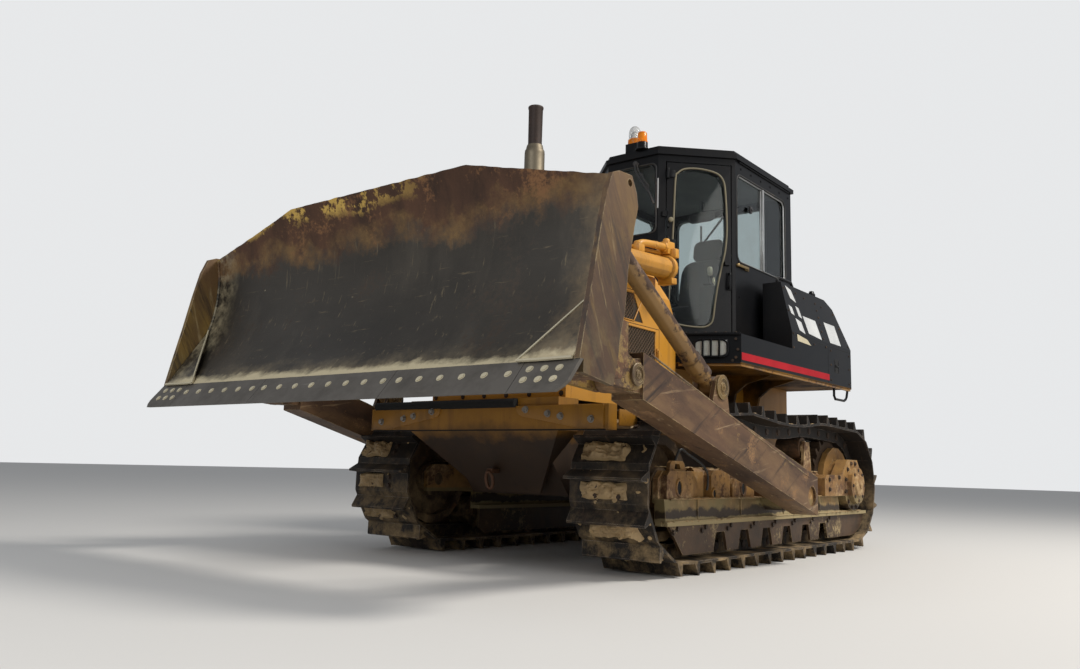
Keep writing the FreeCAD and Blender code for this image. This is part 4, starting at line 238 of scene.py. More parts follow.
looks = {}
DUST = (0.36, 0.27, 0.17)
DARK = (0.02, 0.015, 0.011)
RUN_DOWN = (2.6, 2.6, 0.16)
ARM_LEAN = math.radians(16.3)
STREAK_LEAN = math.radians(-28)
FENDER_FOOT = 1.463


def painted(name, base, rust, dirt, chips, grime, soft=0.0):
    """Yellow or ochre paint with sun-faded patches, rust chips, streaks of grime and dust."""
    paint = Paint(name, base, 0.40)
    paint.patches(tint(base, 1.18), 1.7, 0.42, 0.75, 0.5)
    paint.patches(tint(base, 0.62), 4.5, 0.50, 0.85, 0.5, stretch=(1.5, 1.5, 0.25))
    paint.worn(rust, 2.6, 21, 0.64 - chips, 0.04, 0.85, 0.1, -0.5)
    paint.worn(tint(rust, 0.5), 4.0, 48, 0.67 - chips, 0.03, 0.8, 0.2, -0.2)
    paint.patches(DARK, 3.0, 0.66 - grime, 1.05 - grime, 0.7, stretch=RUN_DOWN)
    paint.film(DUST, (9, 9, 0.75), 0.38, 0.8, dirt, 0.95, 0.0, 0.3)
    paint.edges(tint(rust, 0.8), 0.005, 0.7, 0.3)
    return paint.finish(0.28, 60, 0.003, soft)


def rusty(name, base, spots, light, mud_top=None, metal=0.5, edge=None):
    """Bare steel gone brown, with darker spots, a lighter bloom and dried mud low down."""
    paint = Paint(name, base, 0.58, metal)
    paint.patches(tint(base, 0.42), 1.8, 0.42, 0.75, 0.62)
    paint.worn(spots, 3.4, 30, 0.53, 0.10, 0.85, 0.1, 0.4)
    paint.worn(light, 6.0, 75, 0.60, 0.06, 0.8, 0.1, 0.4)
    paint.patches(tint(spots, 1.5), 34, 0.60, 0.68, 0.7, 0.3, 0.1, stretch=(0.12, 1, 0.12))
    if mud_top:
        mask = paint.below("Z", *mud_top, 0.30)
        patch = paint.span(paint.noise(4.2, 10, 0.75), 0.44, 0.62)
        mud = tint(bpy.context.scene.dozer_colours.mud, 0.8)
        paint.layer(mud, paint.product(mask, patch), 0.97, 0.0, 1.0)
    if edge:
        paint.edges(edge, 0.007, 0.42, 0.7)
    return paint.finish(0.45, 80, 0.004)


def steel(name, base, rough, scratch, stain=(0.16, 0.075, 0.03)):
    """Bright worn steel with scratches along one way."""
    paint = Paint(name, base, rough, 0.9)
    paint.patches(tint(base, 0.55), 4.0, 0.4, 0.75, rough + 0.15)
    paint.patches(scratch, 60, 0.64, 0.70, rough * 0.8, 1.0, 0.1, stretch=(1, 0.04, 1))
    paint.worn(stain, 3.0, 26, 0.62, 0.05, 0.8, 0.2)
    return paint.finish(0.2, 90, 0.002)


def plastic(name, base, rough, dusty=0.25, shine=0.5):
    """Plastic, rubber, cloth or a printed plate under some dust."""
    paint = Paint(name, base, rough)
    paint.shader.inputs["Specular IOR Level"].default_value = shine
    paint.patches([c * 1.4 + 0.004 for c in base], 3.0, 0.4, 0.8, rough + 0.1)
    paint.film(DUST, (6, 10, 0.8), 0.48, 0.85, dusty, 0.9)
    return paint.finish(0.10, 160, 0.001)


def glossy_black(name, base, foot=None):
    """Deep black paint with small scuffs and a film of dust; foot is a paint along the fender's foot."""
    paint = Paint(name, base, 0.34, 0.0, 0.04)
    paint.shader.inputs["Specular IOR Level"].default_value = 0.13
    paint.film(DUST, (2.4, 10, 0.8), 0.45, 0.95, 0.022, 0.6)
    paint.worn((0.035, 0.032, 0.027), 3.2, 60, 0.64, 0.04, 0.7)
    if foot:
        low = paint.below("Z", FENDER_FOOT - 0.003, FENDER_FOOT + 0.003)
        paint.layer(foot, low, 0.7)
        paint.patches((0.03, 0.017, 0.008), 2.6, 0.40, 0.62, 0.9, within=[low])
    return paint.finish(0.05, 120, 0.001)


def scraped_arm(name):
    """Brown rust scraped along the push arm, with ochre left on its edges."""
    paint = Paint(name, (0.120, 0.062, 0.031), 0.55, 0.2)
    paint.patches((0.040, 0.020, 0.011), 1.6, 0.40, 0.60, 0.6, stretch=(0.6, 1, 1.3), turn=ARM_LEAN)
    paint.patches((0.20, 0.115, 0.050), 2.6, 0.48, 0.66, 0.5, stretch=(0.22, 1, 1), turn=ARM_LEAN)
    paint.worn((0.30, 0.18, 0.06), 1.9, 30, 0.60, 0.05, 0.6, 0.0, 0.2)
    paint.patches((0.36, 0.25, 0.14), 24, 0.60, 0.70, 0.45, 0.3, 0.1, stretch=(0.05, 1, 1),
                  turn=-ARM_LEAN * 0.6)
    paint.patches((0.030, 0.016, 0.010), 17, 0.57, 0.70, 0.6, 0.2, -0.1, stretch=(0.07, 1, 1),
                  turn=-ARM_LEAN * 1.9)
    paint.worn((0.24, 0.13, 0.055), 5.0, 80, 0.57, 0.05, 0.8, 0.0, 0.2)
    paint.edges((0.42, 0.31, 0.15), 0.008, 0.5, 0.2)
    return paint.finish(0.35, 60, 0.003)


def streaked_ochre(name, base):
    """Olive-yellow end plates, brown above, with slanting streaks and steel showing near the foot."""
    paint = Paint(name, base, 0.52, 0.1)
    paint.patches((0.27, 0.185, 0.048), 1.8, 0.46, 0.70, 0.5)
    paint.patches((0.070, 0.036, 0.017), 2.3, 0.40, 0.57, 0.62, stretch=(1, 1, 0.30), turn=STREAK_LEAN)
    paint.patches((0.035, 0.020, 0.011), 12, 0.48, 0.60, 0.6, stretch=(1, 1, 0.10), turn=STREAK_LEAN)
    paint.patches((0.36, 0.27, 0.13), 22, 0.60, 0.72, 0.5, stretch=(1, 1, 0.08), turn=STREAK_LEAN * 0.6)
    paint.layer((0.125, 0.064, 0.024), paint.product(paint.above("Z", 1.68, 1.95, 0.16), 0.6), 0.6)
    paint.worn((0.055, 0.028, 0.015), 2.8, 34, 0.57, 0.08, 0.75, 0.1, -0.2)
    low = paint.below("Z", 1.18, 1.36, 0.10)
    paint.patches((0.17, 0.125, 0.060), 3.0, 0.44, 0.64, 0.42, 0.3, within=[low])
    paint.edges((0.40, 0.31, 0.17), 0.007, 0.5, 0.2)
    return paint.finish(0.28, 60, 0.003)


def brace_paint(name):
    """Worn yellow below and dark rust on the upper side of the slanting brace and tilt cylinder."""
    paint = Paint(name, (0.30, 0.165, 0.045), 0.5)
    paint.patches((0.20, 0.115, 0.04), 3.0, 0.42, 0.70, 0.55)
    across = paint.lean(0, -0.529, 2, 0.849)
    top = paint.span(paint.roughen(across, 9, 0.05), 0.428, 0.446)
    paint.layer((0.060, 0.031, 0.017), top, 0.6, 0.2)
    paint.worn((0.20, 0.12, 0.07), 4.0, 50, 0.55, 0.06, 0.6, 0.1, within=[top])
    paint.worn((0.05, 0.026, 0.014), 5.0, 34, 0.58, 0.05, 0.8, 0.1, -0.3)
    paint.patches(DARK, 3.0, 0.60, 0.95, 0.7, stretch=RUN_DOWN)
    return paint.finish(0.3, 60, 0.003, 0.03)


def frame_paint(name):
    """Muddy track frame: rusty orange blocks, an olive band with a dark wavy stripe, a pale lip, and a dark
    foot that is partly dirty brown paint and partly painted shade.
    """
    paint = Paint(name, (0.31, 0.165, 0.046), 0.6)
    paint.patches((0.13, 0.065, 0.028), 3.2, 0.42, 0.62, 0.65)
    paint.worn((0.085, 0.040, 0.018), 4.0, 30, 0.54, 0.06, 0.85, 0.1, -0.3)
    paint.worn((0.44, 0.30, 0.15), 3.4, 26, 0.53, 0.10, 0.95, 0.0, 0.5)
    band = paint.below("Z", 0.462, 0.470)
    paint.patches((0.19, 0.145, 0.062), 2.0, 0.30, 0.55, 0.7, within=[band])
    stripe = paint.below("Z", 0.392, 0.412, 0.045)
    paint.layer((0.035, 0.022, 0.012), paint.product(stripe, band), 0.6)
    paint.layer((0.30, 0.235, 0.120), paint.below("Z", 0.342, 0.352, 0.020), 0.9, 0.0, 0.4)
    # darker brown foot: partly the frame's own dirty colour, partly painted shade low on the frame
    foot = paint.below("Z", 0.298, 0.306)
    paint.layer((0.075, 0.040, 0.018), foot, 0.6)
    paint.patches((0.035, 0.020, 0.010), 3.6, 0.42, 0.64, 0.6, within=[foot])
    paint.worn((0.36, 0.27, 0.14), 3.0, 40, 0.56, 0.08, 0.9, 0.0, 0.3, within=[foot])
    paint.edges((0.36, 0.26, 0.13), 0.006, 0.6, 0.2)
    return paint.finish(0.4, 70, 0.004)


def hull_paint_with_painted_shade(name, yellow, rust):
    """Orange-yellow hull with rust spots, streaks of grime and painted shade that darkens everything low
    down.
    """
    paint = Paint(name, tint(yellow, 0.62), 0.45)
    paint.patches(tint(yellow, 0.42), 2.0, 0.44, 0.75, 0.5)
    paint.worn(rust, 2.8, 28, 0.60, 0.05, 0.8, 0.1, -0.3)
    # painted shade: below the beam the paint goes near black, with brown patches in it
    low = paint.below("Z", 0.80, 0.93, 0.05)
    paint.layer((0.022, 0.010, 0.004), paint.product(low, 0.97), 0.6)
    paint.patches((0.060, 0.033, 0.015), 3.0, 0.52, 0.80, 0.8, within=[low])
    paint.patches(DARK, 2.6, 0.52, 0.95, 0.7, stretch=(2.4, 2.4, 0.18))
    return paint.finish(0.28, 60, 0.003)


def clear(name, shade, rough=0.03, weight=1.0):
    """Glass with a film of dust."""
    paint = Paint(name, shade, rough)
    paint.film((0.55, 0.50, 0.42), (4, 8, 0.75), 0.5, 1.0, 0.35, 0.5)
    paint.shader.inputs["Transmission Weight"].default_value = weight
    paint.shader.inputs["IOR"].default_value = 1.25
    return paint.finish(0.02, 30, 0.001)


def blade_face(name, bare, rust, chips):
    """The scoured face: bare steel, rust above, paint chips on the top edge and a pale band at the foot."""
    paint = Paint(name, bare, 0.36, 0.42)
    paint.patches(tint(bare, 0.50), 1.3, 0.40, 0.72, 0.44, stretch=(1, 0.6, 1))
    paint.patches(tint(bare, 1.9), 2.2, 0.50, 0.80, 0.36, 0.5, stretch=(1, 1, 0.30))
    paint.patches((0.16, 0.125, 0.075), 30, 0.61, 0.72, 0.32, 0.5, 0.1, stretch=(1, 1.0, 0.10))
    paint.patches((0.15, 0.115, 0.070), 34, 0.63, 0.73, 0.34, 0.5, 0.1, stretch=(1, 0.10, 1))
    paint.patches((0.30, 0.25, 0.16), 16, 0.70, 0.73, 0.4, 0.2, 0.1)
    paint.worn((0.055, 0.035, 0.022), 2.2, 34, 0.56, 0.12, 0.6, 0.3)
    high = paint.above("Z", 1.88, 2.02, 0.10)
    fringe = paint.below("Z", 1.98, 2.08, 0.10)
    paint.layer(tint(rust, 0.78), high, 0.75, 0.1, 0.4)
    paint.patches(tint(rust, 0.32), 3.6, 0.42, 0.70, 0.8, 0.1, stretch=(1.5, 1.5, 0.4), within=[high])
    paint.patches((0.23, 0.135, 0.045), 5.0, 0.40, 0.66, 0.8, within=[high, fringe])
    paint.worn((0.21, 0.10, 0.04), 3.0, 40, 0.56, 0.08, 0.85, 0.1, 0.2, within=[high])
    rim = paint.above("Z", 2.13, 2.20, 0.06)
    far = paint.below("Y", -0.2, 0.6)
    paint.worn(chips, 4.5, 26, 0.50, 0.03, 0.5, 0.0, 0.4, within=[rim, far])
    slope = paint.maths("ADD", paint.axes[2], paint.product(paint.axes[1], -0.221))
    paint.worn(chips, 4.5, 26, 0.46, 0.03, 0.5, 0.0, 0.4, within=[paint.span(slope, 2.40, 2.44)])
    low = paint.below("Z", 1.14, 1.25, 0.07)
    paint.worn((0.22, 0.175, 0.105), 2.4, 18, 0.40, 0.20, 0.5, 0.15, within=[low])
    foot = paint.below("Z", 1.140, 1.175, 0.035)
    paint.layer((0.62, 0.53, 0.34), paint.product(foot, 0.85), 0.6, 0.1)
    end = paint.above("Y", -1.46, -1.66, 0.06)
    paint.worn((0.38, 0.32, 0.20), 2.4, 18, 0.44, 0.14, 0.5, 0.15, within=[end])
    near = paint.above("Y", 1.42, 1.72, 0.10)
    paint.worn((0.26, 0.175, 0.085), 2.6, 22, 0.36, 0.22, 0.6, 0.1, within=[near])
    return paint.finish(0.22, 70, 0.003)


def make_looks(colours):
    """Every material by the name that pieces and slots use."""
    rust, ochre = tuple(colours.rust), tuple(colours.ochre)
    yellow, black = tuple(colours.paint), tuple(colours.black)
    mud = tuple(colours.mud)
    looks.update({
        "yellow": painted("yellow_paint", yellow, rust, 0.10, 0.00, 0.06),
        "yellow_rust": painted("muddy_paint", tint(yellow, 0.55), rust, 0.60, 0.10, 0.12),
        "black": glossy_black("black_paint", black),
        "fender_black": glossy_black("fender_paint", black, tint(yellow, 0.38)),
        "arm": scraped_arm("scraped_arm"),
        "end_ochre": streaked_ochre("streaked_ochre", ochre),
        "brace": brace_paint("brace_paint"),
        "barrel": painted("barrel_yellow", tint(yellow, 0.92), rust, 0.10, 0.02, 0.06, 0.035),
        "frame": frame_paint("frame_paint"),
        "hull": hull_paint_with_painted_shade("hull_paint_with_painted_shade", yellow, rust),
        "blade_steel": blade_face("scoured_face", tuple(colours.steel), rust, (0.52, 0.33, 0.07)),
        "blade_ochre": painted("worn_ochre", ochre, rust, 0.22, 0.145, 0.12),
        "lamp_glass": clear("lens_glass", (0.95, 0.95, 0.88), 0.12, 0.6),
        "glass": clear("window_glass", (0.86, 0.93, 0.91)),
        "amber": clear("amber_lens", (0.95, 0.30, 0.02), 0.15, 0.5),
        "lens_clear": clear("clear_dome", (0.97, 0.97, 0.95), 0.06, 0.75),
    })
    # name, material, colour, darker spots, lighter bloom, then mud's top, metal and edge
    for look, *values in (
            ("track_steel", "track_steel", (0.022, 0.018, 0.015), (0.045, 0.028, 0.018), (0.11, 0.075, 0.048),
             (0.05, 0.75), 0.5, (0.30, 0.25, 0.20)),
            ("undercarriage", "muddy_steel", (0.085, 0.055, 0.034), (0.14, 0.07, 0.032), (0.28, 0.19, 0.11),
             (0.25, 0.9)),
            ("mesh", "wire", (0.05, 0.038, 0.025), (0.09, 0.05, 0.025), (0.16, 0.11, 0.06)),
            ("wire", "bare_wire", (0.10, 0.062, 0.035), (0.16, 0.09, 0.045), (0.25, 0.16, 0.09)),
            ("dark_bolt", "rusty_bolt", (0.06, 0.04, 0.028), (0.11, 0.06, 0.03), (0.2, 0.14, 0.09)),
            ("rust", "brown_rust", rust, tint(rust, 0.5), (0.2, 0.11, 0.05), None, 0.3),
            ("pipe_rust", "burnt_pipe", (0.035, 0.02, 0.014), (0.09, 0.035, 0.015), (0.06, 0.03, 0.02),
             None, 0.3),
            ("mud", "dried_mud", mud, tint(mud, 0.6), [min(1, c) for c in tint(mud, 1.4)], None, 0.0)):
        looks[look] = rusty(*values)
    # name, material, colour, roughness, scratches, then the stain
    for look, *values in (
            ("edge_steel", "edge_steel", (0.190, 0.172, 0.150), 0.50, (0.30, 0.28, 0.24)),
            ("chrome", "bright_rod", (0.62, 0.62, 0.63), 0.16, (0.8, 0.8, 0.8)),
            ("exhaust", "sleeve_steel", (0.185, 0.155, 0.110), 0.50, (0.28, 0.25, 0.19)),
            ("bolt", "bright_bolt", (0.38, 0.36, 0.33), 0.35, (0.6, 0.58, 0.55)),
            ("brass", "worn_brass", (0.34, 0.24, 0.11), 0.4, (0.5, 0.4, 0.25)),
            ("alloy", "alloy", (0.50, 0.50, 0.49), 0.35, (0.6, 0.6, 0.6), (0.3, 0.28, 0.25))):
        looks[look] = steel(*values)
    # name, material, colour, roughness, then dust and shine
    for look, *values in (
            ("black_interior", "black_trim", (0.02, 0.02, 0.022), 0.7),
            ("seat_fabric", "seat_cloth", (0.018, 0.018, 0.02), 0.85),
            ("rubber", "hose_rubber", (0.012, 0.012, 0.012), 0.55, 0.35),
            ("gasket", "old_gasket", (0.15, 0.13, 0.080), 0.7, 0.2),
            ("stripe", "red_stripe", tuple(colours.stripe), 0.5, 0.02, 0.12),
            ("white", "white_plate", (0.44, 0.45, 0.45), 0.45, 0.2),
            ("gap", "deep_black", (0.004, 0.004, 0.004), 0.9, 0.0),
            ("lining", "grey_lining", (0.11, 0.115, 0.12), 0.8, 0.15),
            ("cream", "cream_grip", (0.44, 0.39, 0.27), 0.5, 0.3)):
        looks[look] = plastic(*values)


# Mesh building

FACET = math.radians(32)
ROUNDED = math.radians(35)
SIDES = (1, -1)
NAMED_SIDES = ((1, "left"), (-1, "right"))


def angles(count, start=0.0):
    """Angles spread evenly over a turn; start is a share of one step."""
    return [2 * math.pi * (k + start) / count for k in range(count)]


def settle(item):
    """Turn what the modifiers give into the object's own plain mesh."""
    if item.modifiers:
        depsgraph = bpy.context.evaluated_depsgraph_get()
        mesh = bpy.data.meshes.new_from_object(item.evaluated_get(depsgraph))
        item.modifiers.clear()
        item.data = mesh


def new_item(name, mesh):
    item = bpy.data.objects.new(name, mesh)
    bpy.context.collection.objects.link(item)
    return item


def dress(item, body, look=None, smooth=True, facets=True):
    """Shading, material and body of a piece; facets keeps its sharp edges."""
    if smooth:
        for polygon in item.data.polygons:
            polygon.use_smooth = True
        if facets:
            item.data.set_sharp_from_angle(angle=FACET)
    if look:
        item.data.materials.clear()
        item.data.materials.append(looks[look])
    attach(item, body)
    return item


class Build:
    """Collects shapes in one mesh and turns them into a piece that rides on a body."""

    def __init__(self):
        self.bm = bmesh.new()

    def skin(self, rings, closed=False, ends=True):
        """Faces from ring to ring, and over both ends."""
        pairs = list(zip(rings, rings[1:]))
        if closed:
            pairs.append((rings[-1], rings[0]))
        for one, two in pairs:
            for k in range(len(one)):
                after = (k + 1) % len(one)
                self.bm.faces.new((one[k], one[after], two[after], two[k]))
        if ends and not closed:
            self.bm.faces.new(rings[0][::-1])
            self.bm.faces.new(rings[-1])
        return self

    def net(self, rows):
        """Faces between rows of points."""
        for one, two in zip(rows, rows[1:]):
            for a, b, c, d in zip(one, one[1:], two[1:], two):
                self.bm.faces.new((a, b, c, d))
        return self

    def circle(self, spot, side, other, radius, sides):
        return [self.bm.verts.new(spot + (side * math.cos(a) + other * math.sin(a)) * radius)
                for a in angles(sides)]

    def box(self, low, high, turn=None):
        """A box between two corners, turned about its middle."""
        middle = (Vector(low) + Vector(high)) / 2
        rings = []
        for x in (low[0], high[0]):
            corners = [Vector((x, low[1], low[2])), Vector((x, high[1], low[2])),
                       Vector((x, high[1], high[2])), Vector((x, low[1], high[2]))]
            if turn:
                corners = [middle + turn @ (c - middle) for c in corners]
            rings.append([self.bm.verts.new(c) for c in corners])
        return self.skin(rings)

    def block(self, middle, half, turn=None):
        """A box by its middle and half its size."""
        return self.box(middle - Vector(half), middle + Vector(half), turn)

    def tube(self, points, radius, sides=10, closed=False, ends=True):
        """A round section swept along points."""
        spots = [Vector(p) for p in points]
        last = len(spots) - 1
        rings = []
        side = None
        for i, spot in enumerate(spots):
            if closed:
                way = (spots[(i + 1) % (last + 1)] - spots[i - 1]).normalized()
            else:
                way = (spots[min(i + 1, last)] - spots[max(i - 1, 0)]).normalized()
            if side is None:
                side = way.orthogonal().normalized()
            side = (side - way * side.dot(way)).normalized()
            rings.append(self.circle(spot, side, way.cross(side), radius, sides))
        return self.skin(rings, closed, ends)

    def lathe(self, start, way, profile, sides=24):
        """A profile of (distance along, radius) turned about a line."""
        start, way = Vector(start), Vector(way).normalized()
        side = way.orthogonal().normalized()
        return self.skin([self.circle(start + way * along, side, way.cross(side), max(radius, 0.0005), sides)
                          for along, radius in profile])

    def slab(self, corners, depth):
        """A flat outline in space given a thickness by a vector."""
        return self.skin([[self.bm.verts.new(Vector(c) + off) for c in corners]
                          for off in (Vector(), Vector(depth))])

    def piece(self, name, slot, look=None, body="chassis", bevel=0.0, smooth=True, twin=False):
        """The collected mesh as an object; twin adds its mirror image on the other side."""
        bmesh.ops.recalc_face_normals(self.bm, faces=self.bm.faces)
        if twin:
            everything = self.bm.verts[:] + self.bm.edges[:] + self.bm.faces[:]
            copy = bmesh.ops.duplicate(self.bm, geom=everything)["geom"]
            for part in copy:
                if isinstance(part, bmesh.types.BMVert):
                    part.co.y = -part.co.y
            faces = [part for part in copy if isinstance(part, bmesh.types.BMFace)]
            bmesh.ops.reverse_faces(self.bm, faces=faces)
        mesh = bpy.data.meshes.new(name)
        self.bm.to_mesh(mesh)
        self.bm.free()
        item = new_item(name, mesh)
        if bevel:
            rounding = item.modifiers.new("rounding", "BEVEL")
            rounding.width = bevel
            rounding.segments = 2
            rounding.limit_method = "ANGLE"
            rounding.angle_limit = ROUNDED
        settle(item)
        return dress(item, body, look or slot, smooth)


def smooth_path(points, steps=8):
    """Points along a soft curve through the given ones."""
    spots = [Vector(p) for p in points]
    spots = [spots[0] * 2 - spots[1]] + spots + [spots[-1] * 2 - spots[-2]]
    path = []
    for a, b, c, d in zip(spots, spots[1:], spots[2:], spots[3:]):
        for k in range(steps):
            t = k / steps
            path.append(0.5 * ((2 * b) + (c - a) * t + (2 * a - 5 * b + 4 * c - d) * t * t
                               + (3 * b - a - 3 * c + d) * t * t * t))
    path.append(spots[-2])
    return path


# Geometry Nodes

def node_tree(name, inputs):
    """A tree with a geometry in and out and named inputs of (name, kind, default)."""
    tree = bpy.data.node_groups.new(name, "GeometryNodeTree")
    tree.interface.new_socket("Geometry", in_out="INPUT", socket_type="NodeSocketGeometry")
    for label, kind, default in inputs:
        socket = tree.interface.new_socket(label, in_out="INPUT", socket_type="NodeSocket" + kind)
        if default is not None:
            socket.default_value = default
    tree.interface.new_socket("Geometry", in_out="OUTPUT", socket_type="NodeSocketGeometry")
    return tree, tree.nodes.new("NodeGroupInput").outputs, tree.nodes.new("NodeGroupOutput")


def multiplied(tree, a, b):
    return new_node(tree, "ShaderNodeMath", {0: a, 1: b}, operation="MULTIPLY")


def spread_out(tree, given, part, scale=None):
    """The part on every point, turned along the point's own direction, as plain geometry."""
    way = new_node(tree, "GeometryNodeInputNamedAttribute", {"Name": "way"}, data_type="FLOAT_VECTOR")
    turn = new_node(tree, "FunctionNodeAlignRotationToVector", {"Vector": way}, axis="Z")
    values = {"Points": given["Geometry"], "Instance": part, "Rotation": turn}
    if scale:
        values["Scale"] = scale
    spread = new_node(tree, "GeometryNodeInstanceOnPoints", values)
    return new_node(tree, "GeometryNodeRealizeInstances", {0: spread})


def studs_tree():
    """A bolt head with its washer on every point, standing along the point's own direction."""
    tree, given, result = node_tree("studs", [
        ("Radius", "Float", 0.014), ("Height", "Float", 0.01), ("Sides", "Int", 6),
        ("Washer", "Float", 1.4), ("Material", "Material", None)])
    height = given["Height"]
    head = new_node(tree, "GeometryNodeMeshCylinder",
                    {"Vertices": given["Sides"], "Radius": given["Radius"], "Depth": height})
    washer = new_node(tree, "GeometryNodeMeshCylinder",
                      {"Vertices": 14, "Radius": multiplied(tree, given["Radius"], given["Washer"]),
                       "Depth": multiplied(tree, height, 0.3)})
    rise = new_node(tree, "ShaderNodeCombineXYZ", {2: multiplied(tree, height, 0.5)})
    lift = new_node(tree, "GeometryNodeTransform", {"Geometry": head, "Translation": rise})
    both = new_node(tree, "GeometryNodeJoinGeometry", {0: lift})
    feed(tree, both.inputs[0], washer)
    real = spread_out(tree, given, both)
    coat = new_node(tree, "GeometryNodeSetMaterial", {0: real, "Material": given["Material"]})
    feed(tree, result.inputs[0], coat)
    return tree


def clods_tree():
    """Lumps of mud on points, each turned and scaled at random and roughened by noise."""
    tree, given, result = node_tree("clods", [
        ("Size", "Float", 0.05), ("Flatness", "Float", 0.55), ("Roughness", "Float", 0.03),
        ("Seed", "Int", 3), ("Material", "Material", None)])
    lump = new_node(tree, "GeometryNodeMeshIcoSphere", {"Subdivisions": 3, "Radius": given["Size"]})
    share = new_node(tree, "FunctionNodeRandomValue", data_type="FLOAT_VECTOR")
    for key, value in ((0, (0.7, 0.7, 0.7)), (1, (2.2, 1.9, 1.1)), ("Seed", given["Seed"])):
        feed(tree, share.inputs[key], value)
    flat = new_node(tree, "ShaderNodeCombineXYZ", {0: 1.0, 1: 1.0, 2: given["Flatness"]})
    scale = new_node(tree, "ShaderNodeVectorMath", {0: share, 1: flat}, operation="MULTIPLY")
    real = spread_out(tree, given, lump, scale)
    bumps = new_node(tree, "ShaderNodeTexNoise", {"Scale": 26, "Detail": 4})
    centred = new_node(tree, "ShaderNodeVectorMath", {0: bumps.outputs[1], 1: (0.5, 0.5, 0.5)},
                       operation="SUBTRACT")
    shift = new_node(tree, "ShaderNodeVectorMath", {0: centred, "Scale": given["Roughness"]},
                     operation="SCALE")
    rough = new_node(tree, "GeometryNodeSetPosition", {0: real, "Offset": shift})
    coat = new_node(tree, "GeometryNodeSetMaterial", {0: rough, "Material": given["Material"]})
    feed(tree, result.inputs[0], coat)
    return tree


trees = {}


def grown(name, kind, body, look, values, spots, ways):
    """Points run through one of the trees and kept as a plain mesh on a body."""
    if kind not in trees:
        trees[kind] = {"studs": studs_tree, "clods": clods_tree}[kind]()
    tree = trees[kind]
    mesh = bpy.data.meshes.new(name)
    mesh.from_pydata([tuple(p) for p in spots], [], [])
    attribute = mesh.attributes.new("way", "FLOAT_VECTOR", "POINT")
    for i, way in enumerate(ways):
        attribute.data[i].vector = Vector(way).normalized()
    item = new_item(name, mesh)
    modifier = item.modifiers.new(kind, "NODES")
    modifier.node_group = tree
    values = dict(values, Material=looks[look])
    for socket in tree.interface.items_tree:
        if socket.item_type == "SOCKET" and socket.in_out == "INPUT" and socket.name in values:
            modifier[socket.identifier] = values[socket.name]
    settle(item)
    if "way" in item.data.attributes:
        item.data.attributes.remove(item.data.attributes["way"])
    return dress(item, body)


class Points:
    """Places with the way out at each, for bolts, pins and lumps of mud."""

    def __init__(self):
        self.spots, self.ways = [], []

    def add(self, spot, way):
        self.spots.append(tuple(spot))
        self.ways.append(tuple(way))

    def both(self, x, y, z, way):
        """A place and its mirror image; the way is given for the left side."""
        for side in SIDES:
            self.add((x, side * y, z), (way[0], side * way[1], way[2]))

    def studs(self, name, radius, height, look="dark_bolt", slot="undercarriage", body="chassis", sides=6,
              washer=1.4):
        values = {"Radius": radius, "Height": height, "Sides": sides, "Washer": washer}
        grown(name, "studs", body, look, values, self.spots, self.ways)

    def clods(self, name, slot, size, flat, rough, seed):
        values = {"Size": size, "Flatness": flat, "Roughness": rough, "Seed": seed}
        grown(name, "clods", "chassis", "mud", values, self.spots, self.ways)


# Blade and its frame

FACE_MIDDLE = Vector((3.3765, 0, 1.8374))
FACE_RADIUS = 0.944
BLADE_HALF = 1.712
BLADE_FOOT = 1.120
BLADE_THICK = 0.030
TOP_FLAT = 0.777
EDGE_OUT = (0.157, 0, 0.134)
# x, z, |y| of the outer end, |y| of the inner end, radius
FRAME_PINS = ((2.041, 1.124, 1.580, 1.320, 0.060), (0.992, 1.150, 1.527, 1.373, 0.076),
              (2.200, 1.900, 1.527, 1.373, 0.046), (2.190, 2.000, 0.811, 0.649, 0.046))
BRACE_WAY = Vector((1.2, 0, 0.748)).normalized()
BRACE_FOOT = Vector((1.000, 1.45, 1.152))


def blade_top(y):
    """Height of the blade's top edge."""
    over = max(0.0, abs(y) - TOP_FLAT) / (BLADE_HALF - TOP_FLAT)
    return 2.259 - 0.207 * over


def blade_point(y, z, off=0.0):
    """A point on the curved face, off its surface to the front."""
    a = math.pi - math.asin(max(-1, min(1, (z - FACE_MIDDLE.z) / FACE_RADIUS)))
    r = FACE_RADIUS - off
    return Vector((FACE_MIDDLE.x + r * math.cos(a), y, FACE_MIDDLE.z + r * math.sin(a)))


